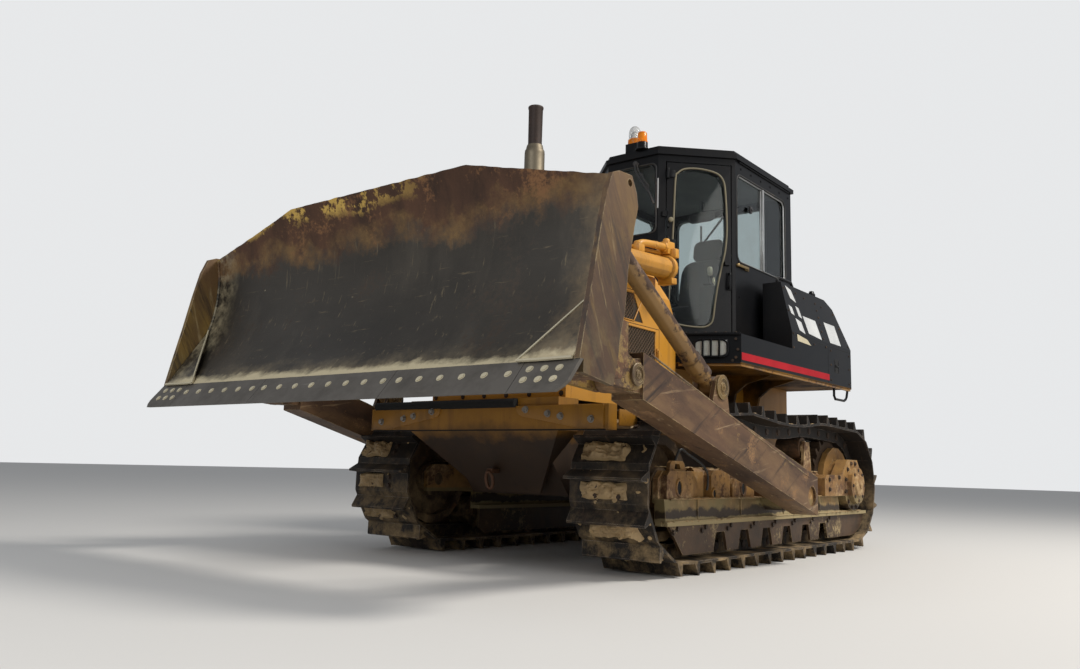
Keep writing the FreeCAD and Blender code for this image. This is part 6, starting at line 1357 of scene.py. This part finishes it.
class DOZER_OT_cab_inside(bpy.types.Operator):
    """Padded seat, levers, pedals, the dash's screen, visor and lining"""
    bl_idname = "dozer.cab_inside"
    bl_label = "Seat and controls"

    def execute(self, context):
        cushion = stuffed("seat_cushion", (0.52, 0.50, 0.13), (-1.37, 0, 2.052), 0.03, (-0.25, 0.25))
        stuffed("seat_back", (0.56, 0.50, 0.125), (-1.675, 0, 2.375), math.radians(-101), (-0.25, 0.25))
        stuffed("seat_head", (0.21, 0.31, 0.090), (-1.765, 0, 2.765), math.radians(-99), (0.0,))
        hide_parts("seat")
        seat = Build().box((-1.58, -0.19, DECK), (-1.16, 0.19, 1.80))
        seat.box((-1.56, -0.17, 1.80), (-1.18, 0.17, 1.93))
        seat.box((-1.66, -0.24, 1.93), (-1.12, 0.24, 1.990))
        for side in SIDES:
            seat.tube([(-1.665, side * 0.19, 2.00), (-1.72, side * 0.19, 2.15), (-1.790, side * 0.19, 2.60)],
                      0.016)
            seat.tube([(-1.780, side * 0.06, 2.60), (-1.795, side * 0.06, 2.74)], 0.008, 8)
            seat.tube(smooth_path([(-1.66, side * 0.28, 2.06), (-1.52, side * 0.285, 2.10),
                                   (-1.40, side * 0.285, 2.11)], 5), 0.012, 8)
        seat.tube([(-1.790, -0.19, 2.60), (-1.790, 0.19, 2.60)], 0.016)
        for k in range(6):
            seat.box((-1.54, -0.185, 1.800 + 0.021 * k), (-1.19, 0.185, 1.812 + 0.021 * k))
        seat.piece("seat_frame", "black_interior", bevel=0.004)
        levers, grips = Build(), Build()
        for x, y, head, lean, grip in LEVERS:
            levers.lathe((x, y, CONSOLE_TOP), UP, [
                (0, 0.045), (0.012, 0.038), (0.024, 0.030), (0.036, 0.014), (0.040, 0.007)], 20)
            levers.tube([(x, y, CONSOLE_TOP + 0.02), (x + lean, y, head)], 0.007, 8)
            grips.lathe((x + lean * 0.75, y, head - 0.05), (lean * 0.6, 0, 0.1), [
                (0, grip * 0.6), (0.012, grip * 0.9), (0.055, grip), (0.075, grip * 0.7), (0.080, 0)], 18)
        for side in SIDES:
            levers.box((-0.98, side * 0.42 - 0.035, 2.244), (-0.90, side * 0.42 + 0.035, 2.262))
        dash_lean = Matrix.Rotation(0.35, 3, "Y")
        levers.box((-0.60, -0.13, 2.350), (-0.565, 0.13, 2.500), dash_lean)
        levers.box((-0.585, -0.03, 2.26), (-0.56, 0.03, 2.37))
        for y in (-0.24, -0.08, 0.14):
            levers.box((-0.800, y - 0.04, 1.735), (-0.785, y + 0.04, 1.860), Matrix.Rotation(0.6, 3, "Y"))
            levers.tube([(-0.79, y, 1.79), (-0.70, y, 1.72)], 0.010, 8)
        levers.piece("levers", "black_interior", bevel=0.002)
        grips.piece("lever_grips", "black_interior", "cream")
        screen = Build().box((-0.6125, -0.105, 2.372), (-0.6085, 0.105, 2.478), dash_lean)
        screen.piece("dash_screen", "black_interior", "gap")
        lining = Build().slab([(x, y, 3.235) for x, y in (
            (-1.95, 0.665), (-1.95, -0.665), (-0.885, -0.665), (-0.445, -0.225), (-0.445, 0.225),
            (-0.885, 0.665))], (0, 0, 0.050))
        lining.piece("cab_lining", "black_interior", "lining", bevel=0.006)
        visor = Build().tube(round_frame((-0.130, 3.035), (0.130, 3.120), 0.04, lambda u, v: (-1.600, u, v)),
                             0.012, 8, closed=True)
        visor.box((-1.606, -0.130, 3.040), (-1.594, 0.130, 3.115))
        visor.tube([(-1.600, 0, 3.11), (-1.620, 0, 3.24)], 0.009, 8)
        visor.piece("visor", "black_interior", bevel=0.004)
        mat = Build().box((-1.95, -0.68, DECK), (-0.87, 0.68, DECK + 0.010))
        mat.piece("floor_mat", "black_interior", "rubber")
        return {"FINISHED"}


# Fenders and side boxes

BOX_SIDE = 1.05
LAMP_WAY = Vector((0.9070, 0.4210, 0))
LAMP_RUN = Vector((-0.4210, 0.9070, 0))
LAMP_MIDDLE = Vector((-0.156, 0.853, 1.570)) + LAMP_WAY * 0.006
# corners of the blank plates on the left side box, as x and z; the last one is torn
BLANK_PLATES = (
    ((-1.305, 2.250), (-1.415, 2.225), (-1.475, 2.120), (-1.362, 2.145)),
    ((-1.285, 2.072), (-1.350, 2.060), (-1.372, 1.990), (-1.306, 2.002)),
    ((-1.436, 2.086), (-1.500, 2.075), (-1.532, 1.985), (-1.466, 1.998)),
    ((-1.375, 1.968), (-1.490, 1.948), (-1.528, 1.846), (-1.412, 1.866)),
    ((-1.560, 2.015), (-1.845, 2.010), (-1.905, 1.842), (-1.616, 1.862)),
    ((-2.060, 2.030), (-2.325, 2.030), (-2.383, 1.842), (-2.112, 1.842)),
    ((-1.337, 1.822), (-1.560, 1.800), (-1.645, 1.758), (-1.350, 1.765)),
)
LAMP_BOLTS = ((-0.20, 1.50), (-0.20, 1.63), (0.185, 1.50), (0.185, 1.64), (0.16, 1.475), (0.20, 1.56))
BOX_BOLTS = ((-1.26, 2.22), (-1.26, 2.02), (-1.26, 1.82), (-1.70, 2.20), (-1.52, 2.215), (-2.10, 2.18),
             (-2.37, 2.15), (-2.46, 2.02), (-1.72, 1.78), (-2.00, 1.79), (-2.59, 1.86), (-1.26, 1.70))


def box_side(z):
    """Distance from the middle to the side box's outer face at a height."""
    return BOX_SIDE - 0.095 * max(0.0, (z - 1.834) / 0.436)


def lamp_spot(across, up, out):
    """A point by its place on the left lamp's face and its distance off it."""
    return LAMP_MIDDLE + LAMP_RUN * across + LAMP_WAY * out + Vector((0, 0, up))


def oblong(half_across, half_up, out):
    """A lamp's outline, a rectangle with large round corners."""
    power = 0.45
    path = []
    for a in angles(36, 0.5):
        c, s = math.cos(a), math.sin(a)
        path.append(lamp_spot(half_across * math.copysign(abs(c) ** power, c),
                              half_up * math.copysign(abs(s) ** power, s), out))
    return path


class DOZER_OT_fenders(bpy.types.Operator):
    """Stripe, lip, lamps behind their bars, blank plates, seams, painted shade behind the pulls and bolts of
    the fenders and side boxes
    """
    bl_idname = "dozer.fenders"
    bl_label = "Fender details"

    def execute(self, context):
        stripe = Build().slab([(x, BOX_SIDE - 0.0002, z) for x, z in (
            (-0.272, 1.541), (-2.070, 1.548), (-2.070, 1.492), (-0.272, 1.484))], (0, 0.0016, 0))
        stripe.piece("red_stripe", "black", "stripe", smooth=False, twin=True)
        under = Build().box((-2.63, 1.022, 1.436), (-0.280, 1.044, 1.456))
        under.slab([(x, y, 1.436) for x, y in (
            (-0.280, 1.022), (-0.280, 1.044), (-0.075, 0.615), (-0.095, 0.610))], (0, 0, 0.020))
        under.piece("fender_foot", "yellow_rust", bevel=0.002, twin=True)
        lip = Build()
        start, end = (Vector((LAMP_MIDDLE.x, LAMP_MIDDLE.y, 0)) + LAMP_RUN * run for run in (-0.236, 0.218))
        for low, high, out in ((1.672, 1.690, 0.012), (1.452, 1.462, 0.008)):
            lip.slab([(p.x, p.y, z) for p, z in ((start, low), (end, low), (end, high), (start, high))],
                     LAMP_WAY * out)
        lip.piece("fender_lips", "black", bevel=0.002, twin=True)
        self.bolts()
        self.lamps()
        plates = Build()
        for corners in BLANK_PLATES[:-1]:
            plates.slab([(x, box_side(z) + 0.0006, z) for x, z in corners], (0, 0.0014, 0.0003))
        plates.piece("blank_plates", "black", "white", smooth=False)
        torn = Build().slab([(x, box_side(z) + 0.0006, z) for x, z in BLANK_PLATES[-1]], (0, 0.0014, 0))
        torn.piece("torn_plate", "black", "cream", smooth=False)
        seams = Build()
        for x0, z0, x1, z1 in ((-2.053, 1.46, -2.049, 1.800), (-1.240, 1.70, -1.236, 1.830),
                               (-2.63, 1.800, -1.240, 1.804)):
            seams.box((x0, BOX_SIDE - 0.001, z0), (x1, BOX_SIDE + 0.0008, z1))
        # painted shade: a deep black patch behind the pull stands for its recess
        seams.box((-2.315, BOX_SIDE - 0.0015, 1.575), (-2.200, BOX_SIDE + 0.0008, 1.700))
        seams.piece("box_seams_and_pocket_shade", "black", "gap", twin=True)
        pull = Build()
        for x in (-2.300, -2.216):
            pull.box((x - 0.004, 1.049, 1.585), (x + 0.004, 1.054, 1.690))
        pull.tube([(-2.290, 1.053, 1.640), (-2.226, 1.053, 1.640)], 0.007, 8)
        pull.piece("box_pulls", "black", bevel=0.001, twin=True)
        cap = Build().lathe((-2.020, 0.915, 2.262), UP, [
            (0, 0.034), (0.030, 0.034), (0.038, 0.028), (0.060, 0.020), (0.066, 0)], 20)
        cap.piece("box_caps", "black", twin=True)
        tread = Points()
        for i in range(9):
            for j in range(5):
                tread.both(-0.40 - 0.10 * i, 0.80 + 0.05 * j, DECK, UP)
        tread.studs("deck_tread", 0.012, 0.004, "black", "black", sides=8, washer=0.9)
        return {"FINISHED"}

    def bolts(self):
        """Small bolts round the lamps and on the side boxes."""
        bolts = Points()
        for k in range(6):
            bolts.both(*lamp_spot(-0.19 + 0.075 * k, 0.121, 0), UP)
        for across, z in LAMP_BOLTS:
            bolts.both(*lamp_spot(across, z - LAMP_MIDDLE.z, 0), LAMP_WAY)
        for k in range(6):
            z = 1.86 + 0.066 * k
            bolts.both(-1.955, box_side(z), z, (0, 1, 0.2))
        for x, z in BOX_BOLTS:
            bolts.both(x, box_side(z), z, (0, 1, 0.2))
        for x in (-2.12, -2.59):
            for z in (1.50, 1.64, 1.77):
                bolts.both(x, BOX_SIDE, z, (0, 1, 0))
        bolts.studs("fender_bolts", 0.008, 0.005, "dark_bolt", "black", washer=1.4)

    def lamps(self):
        """Bezel, ribbed lens and guard bars of both lamps."""
        bezel = Build().tube(oblong(0.124, 0.066, 0.004), 0.009, 8, closed=True)
        bezel.piece("lamp_bezels", "black", twin=True)
        lens = Build().slab(oblong(0.118, 0.060, -0.012), LAMP_WAY * 0.010)
        for k in range(21):
            across = -0.105 + 0.0105 * k
            lens.tube([lamp_spot(across, -0.048, -0.002), lamp_spot(across, 0.048, -0.002)], 0.0035, 6)
        glass = lens.piece("lamp_lenses", "lamp_glass", twin=True)
        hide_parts("fender_lamps")
        bars = Build()
        for across in (-0.062, 0.0, 0.062):
            bars.tube([lamp_spot(across, -0.070, 0.010), lamp_spot(across, 0.070, 0.010)], 0.0085, 8)
        for up in (-0.068, 0.068):
            bars.tube([lamp_spot(-0.095, up, 0.008), lamp_spot(0.095, up, 0.008)], 0.005, 6)
        bars.piece("lamp_bars", "black", twin=True)


# Tracks and their frames

SPROCKET = (-2.06, 0.5536)
IDLER = (0.99, 0.532)
ROLLERS = [(-1.5 + 0.335 * k, 0.287) for k in range(7)]
CARRIERS = [(-1.29, 0.852), (-0.02, 0.852)]
SHOES = 41
# x, z, half width and half height of the cast holes in the track frame
CAST_HOLES = ((0.930, 0.535, 0.036, 0.050), (0.030, 0.530, 0.036, 0.050), (0.463, 0.497, 0.030, 0.032))
# lumps, low and high x, low and high |y|, and z of the mud on the track frame's ledges
LEDGE_MUD = ((260, -2.3, 1.1, 1.20, 1.236, 0.332), (160, -1.7, 1.0, 0.93, 1.13, 0.662),
             (120, -1.78, 1.1, 1.15, 1.21, 0.468))


def cake(build, shoe, side, across, wide, along, deep, high, seed):
    """A flat cake of dried mud between two grousers, ragged and cracked at its border."""
    middle, way, out = shoe[:3]
    rows, columns = 22, 30
    grid = []
    for i in range(rows + 1):
        v = 2 * i / rows - 1
        row = []
        for j in range(columns + 1):
            u = 2 * j / columns - 1
            over, down = u * wide * 20, v * deep * 20
            ragged = 1 + 0.24 * noise.noise(Vector((over * 0.6 + seed, down * 0.6, seed)))
            fade = max(0.0, 1 - max(abs(u), abs(v)) ** 5)
            lump = 0.72 + 0.75 * noise.noise(Vector((over * 0.8, down * 0.8, seed * 1.7)))
            crumb = 0.30 * noise.noise(Vector((over * 2.7, down * 2.7, seed)))
            crumb += 0.14 * noise.noise(Vector((over * 7, down * 7, seed)))
            rise = -0.004 + high * (fade ** 0.3) * max(0.25, lump + crumb)
            spot = middle + way * (along + deep * v * ragged) + out * (0.058 + rise)
            row.append(build.bm.verts.new((spot.x, side + across + wide * u * ragged, spot.z)))
        grid.append(row)
    build.net(grid)


def arc(centre, radius, start, end, steps=90):
    """Points round a wheel, with the angles in half turns."""
    return [Vector((centre[0] + radius * math.cos(a), 0, centre[1] + radius * math.sin(a)))
            for a in (math.pi * (start + (end - start) * k / steps) for k in range(steps + 1))]


def shoe_places():
    """For each shoe its middle on the pin line, the way it runs, the way out, half its pitch and its pin."""
    path = arc(SPROCKET, 0.4216, 1, 1.5) + arc(IDLER, 0.400, -0.5, 0.5)
    path += [Vector((-0.02 - 1.27 * k / 90, 0, 1.004 - 0.192 * (k / 90) * (1 - k / 90))) for k in range(91)]
    path += arc(SPROCKET, 0.4216, 0.5, 1)
    step = sum((b - a).length for a, b in zip(path, path[1:])) / SHOES
    pins, walked, target = [], 0.0, 0.0
    for a, b in zip(path, path[1:]):
        size = (b - a).length
        while target <= walked + size and len(pins) < SHOES:
            pins.append(a.lerp(b, (target - walked) / size if size else 0))
            target += step
        walked += size
    places = []
    for a, b in zip(pins, pins[1:] + pins[:1]):
        way = (b - a).normalized()
        places.append(((a + b) / 2, way, Vector((way.z, 0, -way.x)), (b - a).length / 2, a))
    return places


class DOZER_OT_tracks(bpy.types.Operator):
    """Shoe bolts, link pins and dried mud on both tracks"""
    bl_idname = "dozer.tracks"
    bl_label = "Track details"

    def execute(self, context):
        shoes = shoe_places()
        bolts, pins = Points(), Points()
        for middle, way, out, half, pin in shoes:
            for side in SIDES:
                for across in (-0.085, 0.085):
                    for along in (-0.55, 0.02):
                        spot = middle + way * along * half + out * 0.060
                        bolts.add((spot.x, side + across, spot.z), out)
                for across in (-0.095, 0.095):
                    pins.add((pin.x, side + across, pin.z), (0, across, 0))
        bolts.studs("shoe_bolts", 0.016, 0.013, "dark_bolt", "track_steel", washer=1.5)
        pins.studs("link_pins", 0.024, 0.006, "dark_bolt", "track_steel", sides=16, washer=1.3)
        chance = random.Random(7)
        cakes = Build()
        for side in SIDES:
            for number, shoe in enumerate(shoes):
                front = shoe[0].x > 0.95
                if shoe[0].z < 0.14 or (chance.random() < 0.2 and not front):
                    continue
                wide = chance.uniform(0.12, 0.18)
                cake(cakes, shoe, side, chance.uniform(-0.20, 0.20) * (0.24 - wide) / 0.17, wide,
                     -0.022, chance.uniform(0.052, 0.068), chance.uniform(0.036, 0.060), number * 1.3 + side)
        cakes.piece("mud_cakes", "track_steel", "mud")
        lumps, crumbs = Points(), Points()
        count = context.scene.dozer_sizes.clods
        for side in SIDES:
            for n in range(count):
                middle, way, out, half, pin = shoes[chance.randrange(SHOES)]
                if middle.z < 0.2:
                    continue
                along = chance.uniform(-0.75, 0.30)
                spot = middle + way * along * half + out * chance.uniform(0.052, 0.058)
                lumps.add((spot.x, side + chance.uniform(-0.25, 0.25), spot.z), out)
            for n in range(count * 2):
                middle, way, out, half, pin = shoes[chance.randrange(SHOES)]
                if middle.z < 0.2:
                    continue
                spot = middle + way * chance.uniform(-0.9, 0.9) * half + out * 0.062
                crumbs.add((spot.x, side + chance.uniform(-0.27, 0.27), spot.z), out)
        lumps.clods("track_clods", "track_steel", 0.026, 0.30, 0.030, 5)
        crumbs.clods("track_crumbs", "track_steel", 0.010, 0.6, 0.012, 9)
        return {"FINISHED"}


class DOZER_OT_undercarriage(bpy.types.Operator):
    """Bolts, cast hole rims with painted shade in the holes, grease pipe and mud on the track frames,
    rollers, idlers and final drives
    """
    bl_idname = "dozer.undercarriage"
    bl_label = "Undercarriage details"

    def execute(self, context):
        bolts = Points()
        # centre, radius, |y|, count and start of each ring
        rings = [(SPROCKET, 0.130, 1.288, 8, 0.0), (SPROCKET, 0.195, 1.248, 12, 0.5),
                 (IDLER, 0.065, 1.144, 6, 0.0)]
        rings += [(roller, 0.040, 1.120, 4, 0.5) for roller in ROLLERS]
        rings += [(carrier, 0.045, 1.115, 4, 0.5) for carrier in CARRIERS]
        for (x, z), radius, y, count, start in rings:
            for a in angles(count, start):
                bolts.both(x + radius * math.cos(a), y, z + radius * math.sin(a), (0, 1, 0))
        for k in range(8):
            bolts.both(-1.56 + 0.363 * k, 1.215, 0.285, (0, 1, 0))
            bolts.both(-1.51 + 0.363 * k, 1.215, 0.265, (0, 1, 0))
        for x, z in ((-2.20, 0.50), (-2.20, 0.61), (-1.86, 0.50), (-1.50, 0.52), (-1.50, 0.60),
                     (-1.72, 0.62)):
            bolts.both(x, 1.245, z, (0, 1, 0))
        bolts.studs("frame_bolts", 0.015, 0.012)
        rims, holes = Build(), Build()
        for x, z, wide, tall in CAST_HOLES:
            outline = [(x + wide * math.cos(a), z + tall * math.sin(a)) for a in angles(28)]
            rims.tube([(px, 1.199, pz) for px, pz in outline], 0.009, 8, closed=True)
            # painted shade: a thin black sheet in each cast hole stands for its dark inside
            holes.slab([(px, 1.1975, pz) for px, pz in outline], (0, 0.0012, 0))
        rims.piece("cast_rims", "yellow_rust", twin=True)
        holes.piece("cast_hole_shade", "undercarriage", "gap", smooth=False, twin=True)
        hubs = Build()
        for x, z in ROLLERS:
            hubs.lathe((x, 1.110, z), (0, 1, 0), [
                (0, 0.060), (0.012, 0.060), (0.016, 0.054), (0.016, 0.026), (0.024, 0.024), (0.024, 0)])
        for x, z in CARRIERS:
            hubs.lathe((x, 1.105, z), (0, 1, 0), [
                (0, 0.062), (0.014, 0.062), (0.020, 0.054), (0.022, 0.020), (0.028, 0.018), (0.028, 0)])
        hubs.lathe((SPROCKET[0], 1.284, SPROCKET[1]), (0, 1, 0), [
            (0, 0.160), (0.008, 0.160), (0.010, 0.100), (0.024, 0.092), (0.030, 0.080), (0.030, 0.030),
            (0.040, 0.026), (0.042, 0)], 40)
        hubs.piece("hub_covers", "undercarriage", "frame", twin=True)
        pipe = Build().tube(smooth_path([
            (0.940, 1.150, 0.640), (0.900, 1.185, 0.770), (0.808, 1.195, 0.745), (0.662, 1.200, 0.694),
            (0.575, 1.205, 0.637), (0.566, 1.205, 0.560), (0.560, 1.195, 0.520)]), 0.008)
        pipe.piece("grease_pipes", "undercarriage", "rubber", twin=True)
        beads = Build().lathe((0.145, 1.0, 0.560), (1, 0, 0), [
            (0, 0.110), (0.10, 0.110), (0.62, 0.110), (0.63, 0.08)], 28)
        for x in (-1.34, -0.62, 0.10, 0.72):
            beads.tube([(x, 1.2155, 0.470), (x, 1.2155, 0.328)], 0.005, 6)
        for z, y in ((0.466, 1.214), (0.331, 1.236)):
            beads.tube([(-1.78 + 0.058 * k, y, z + 0.0015 * math.sin(k * 1.9)) for k in range(50)], 0.006, 6)
        beads.piece("frame_beads", "undercarriage", "frame", twin=True)
        chance = random.Random(21)
        mud = Points()
        for side in SIDES:
            for count, x0, x1, y0, y1, z in LEDGE_MUD:
                for n in range(count):
                    mud.add((chance.uniform(x0, x1), side * chance.uniform(y0, y1), z), UP)
        mud.clods("frame_mud", "undercarriage", 0.012, 0.5, 0.014, 12)
        return {"FINISHED"}


# Rear

TANK_REAR = -2.640
HITCH_PIN = -2.807


class DOZER_OT_rear(bpy.types.Operator):
    """Tank cap, rear lamps, hitch pin, cover, ribs and bolts at the rear"""
    bl_idname = "dozer.rear"
    bl_label = "Rear details"

    def execute(self, context):
        cap = Build().lathe((-2.36, 0.42, 2.238), UP, [
            (0, 0.075), (0.020, 0.075), (0.026, 0.062), (0.055, 0.062), (0.062, 0.054), (0.062, 0)], 32)
        cap.box((-2.375, 0.36, 2.296), (-2.345, 0.48, 2.312))
        cap.piece("tank_cap", "black", bevel=0.002)
        lamps, lenses = Build(), Build()
        for y, z in ((0.62, 2.15), (0.93, 1.60)):
            lamps.lathe((TANK_REAR + 0.002, y, z), (-1, 0, 0), [
                (0, 0.030), (0.010, 0.060), (0.036, 0.064), (0.040, 0.058)], 28)
            lenses.lathe((TANK_REAR - 0.034, y, z), (-1, 0, 0), [
                (0, 0.057), (0.006, 0.054), (0.012, 0.040), (0.015, 0)], 28)
        lamps.piece("rear_lamps", "black", bevel=0.001, twin=True)
        lenses.piece("rear_lenses", "lamp_glass", twin=True)
        hitch = Build().lathe((HITCH_PIN, 0, 0.44), UP, [
            (0, 0.026), (0.004, 0.029), (0.290, 0.029), (0.294, 0.044), (0.312, 0.044), (0.316, 0.036)])
        hitch.tube([(HITCH_PIN + 0.030 * math.cos(a), 0.0, 0.756 + 0.030 * math.sin(a))
                    for a in (math.pi * k / 12 for k in range(13))], 0.006, 8)
        hitch.piece("hitch_pin", "undercarriage", "bolt")
        bolts = Points()
        for a in angles(8, 0.5):
            bolts.both(-2.560, 0.30 + 0.075 * math.cos(a), 1.08 + 0.21 * math.sin(a), (-1, 0, 0))
        for k in range(5):
            for z in (2.205, 1.720):
                bolts.both(TANK_REAR, 0.12 + 0.14 * k, z, (-1, 0, 0))
        bolts.studs("rear_bolts", 0.014, 0.010)
        cover = Build().lathe((-2.559, 0, 1.16), (-1, 0, 0), [
            (0, 0.150), (0.018, 0.150), (0.024, 0.140), (0.024, 0.06), (0.060, 0.055), (0.060, 0)], 36)
        cover.piece("rear_cover", "yellow", bevel=0.002)
        ribs = Build()
        for z in (1.90, 2.06):
            ribs.box((TANK_REAR - 0.006, -0.70, z), (TANK_REAR + 0.002, 0.70, z + 0.02))
        ribs.piece("tank_ribs", "black", bevel=0.003)
        return {"FINISHED"}


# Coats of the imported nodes, and the stage

# nodes whose look isn't their slot's
NODE_LOOKS = {
    "fender_black": ("platform",), "arm": ("push_arm_left", "push_arm_right"), "end_ochre": ("end_plates",),
    "brace": ("brace_left", "tilt_cylinder_right"), "barrel": ("lift_barrel_left", "lift_barrel_right"),
    "frame": ("track_frame_left", "track_frame_right", "final_drives"), "hull": ("hull", "front_guard")}
# name, place, target, size, watts, colour
LIGHTS = (("sun_panel", (-3.0, 7.5, 10.5), (0.0, 0.3, 1.4), 3.0, 1350, (1.0, 0.96, 0.90)),
          ("front_panel", (9.0, 0.5, 5.0), (1.0, 0.0, 1.5), 6.0, 230, (0.96, 0.98, 1.0)),
          ("side_panel", (2.0, 11.0, 4.5), (-0.5, 0.5, 1.5), 6.0, 260, (1.0, 0.98, 0.95)))
FLOOR_REACH = 60.0
EYE = (5.924, 4.032, 0.642)
YAW, PITCH, ROLL = 0.673, 0.147, 0.027


class DOZER_OT_coats(bpy.types.Operator):
    """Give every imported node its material"""
    bl_idname = "dozer.coats"
    bl_label = "Materials"

    def execute(self, context):
        make_looks(context.scene.dozer_colours)
        special = {node: look for look, nodes in NODE_LOOKS.items() for node in nodes}
        for entry in frame["record"]["subparts"]:
            data = bpy.data.objects[entry["node"]].data
            data.materials.clear()
            data.materials.append(looks[special.get(entry["node"], entry["material_slot"])])
        return {"FINISHED"}


class DOZER_OT_stage(bpy.types.Operator):
    """Floor, lights and the camera at the photograph's angle"""
    bl_idname = "dozer.stage"
    bl_label = "Stage and camera"

    def execute(self, context):
        scene = context.scene
        floor = bpy.data.meshes.new("floor")
        reach = FLOOR_REACH
        floor.from_pydata([(-reach, -reach, 0), (reach, -reach, 0), (reach, reach, 0), (-reach, reach, 0)],
                          [], [(0, 1, 2, 3)])
        ground = bpy.data.objects.new("floor", floor)
        scene.collection.objects.link(ground)
        material = bpy.data.materials.new("floor")
        material.use_nodes = True
        shader = material.node_tree.nodes["Principled BSDF"]
        shader.inputs["Base Color"].default_value = (*scene.dozer_colours.floor, 1)
        shader.inputs["Roughness"].default_value = 0.9
        floor.materials.append(material)
        world = bpy.data.worlds.new("studio")
        world.use_nodes = True
        tree = world.node_tree
        sky = tree.nodes["Background"]
        sky.inputs["Color"].default_value = (0.90, 0.94, 1.0, 1)
        sky.inputs["Strength"].default_value = 0.42
        plain = new_node(tree, "ShaderNodeBackground", {"Color": (0.80, 0.81, 0.82, 1)})
        seen = new_node(tree, "ShaderNodeLightPath").outputs["Is Camera Ray"]
        both = new_node(tree, "ShaderNodeMixShader", {0: seen, 1: sky, 2: plain})
        feed(tree, tree.nodes["World Output"].inputs["Surface"], both)
        scene.world = world
        for name, place, target, size, watts, tone in LIGHTS:
            light = bpy.data.lights.new(name, "AREA")
            light.shape = "DISK"
            light.size = size
            light.energy = watts
            light.color = tone
            lamp = bpy.data.objects.new(name, light)
            lamp.location = place
            lamp.rotation_euler = (Vector(target) - Vector(place)).to_track_quat("-Z", "Y").to_euler()
            scene.collection.objects.link(lamp)
        scene.view_settings.view_transform = "Standard"
        forward = Vector((-math.cos(PITCH) * math.cos(YAW), -math.cos(PITCH) * math.sin(YAW),
                          math.sin(PITCH)))
        right = forward.cross(Vector(UP)).normalized()
        up = right.cross(forward)
        tilted = right * math.cos(ROLL) + up * math.sin(ROLL)
        raised = up * math.cos(ROLL) - right * math.sin(ROLL)
        camera = bpy.data.cameras.new("camera")
        camera.sensor_width = 36
        camera.sensor_fit = "HORIZONTAL"
        camera.lens = scene.dozer_sizes.lens
        camera.clip_end = 200
        eye = bpy.data.objects.new("camera", camera)
        turned = Matrix((tilted, raised, -forward)).transposed().to_4x4()
        eye.matrix_world = Matrix.Translation(EYE) @ turned
        scene.collection.objects.link(eye)
        scene.camera = eye
        return {"FINISHED"}


# The add-on

PIECES = [DOZER_OT_coats, DOZER_OT_cab_inside, DOZER_OT_moldboard, DOZER_OT_cutting_edge,
          DOZER_OT_blade_irons, DOZER_OT_lift_cylinders, DOZER_OT_hood, DOZER_OT_exhaust,
          DOZER_OT_front_guard, DOZER_OT_doors, DOZER_OT_cab, DOZER_OT_fenders, DOZER_OT_tracks,
          DOZER_OT_undercarriage, DOZER_OT_rear, DOZER_OT_stage]


class DOZER_PT_panel(bpy.types.Panel):
    """Buttons for every piece and its settings"""
    bl_idname = "DOZER_PT_panel"
    bl_label = "Bulldozer"
    bl_space_type = "VIEW_3D"
    bl_region_type = "UI"
    bl_category = "Bulldozer"

    def draw(self, context):
        for group in (context.scene.dozer_colours, context.scene.dozer_sizes):
            for name in group.bl_rna.properties.keys():
                if name not in ("rna_type", "name"):
                    self.layout.prop(group, name)
        for operator in PIECES:
            self.layout.operator(operator.bl_idname)


CLASSES = [DOZER_PG_colours, DOZER_PG_sizes, *PIECES, DOZER_PT_panel]


def register():
    for item in CLASSES:
        bpy.utils.register_class(item)
    bpy.types.Scene.dozer_colours = PointerProperty(type=DOZER_PG_colours)
    bpy.types.Scene.dozer_sizes = PointerProperty(type=DOZER_PG_sizes)


def unregister():
    del bpy.types.Scene.dozer_colours
    del bpy.types.Scene.dozer_sizes
    for item in reversed(CLASSES):
        bpy.utils.unregister_class(item)


def main():
    register()
    for operator in PIECES:
        group, name = operator.bl_idname.split(".")
        getattr(getattr(bpy.ops, group), name)()


if __name__ == "__main__":
    main()
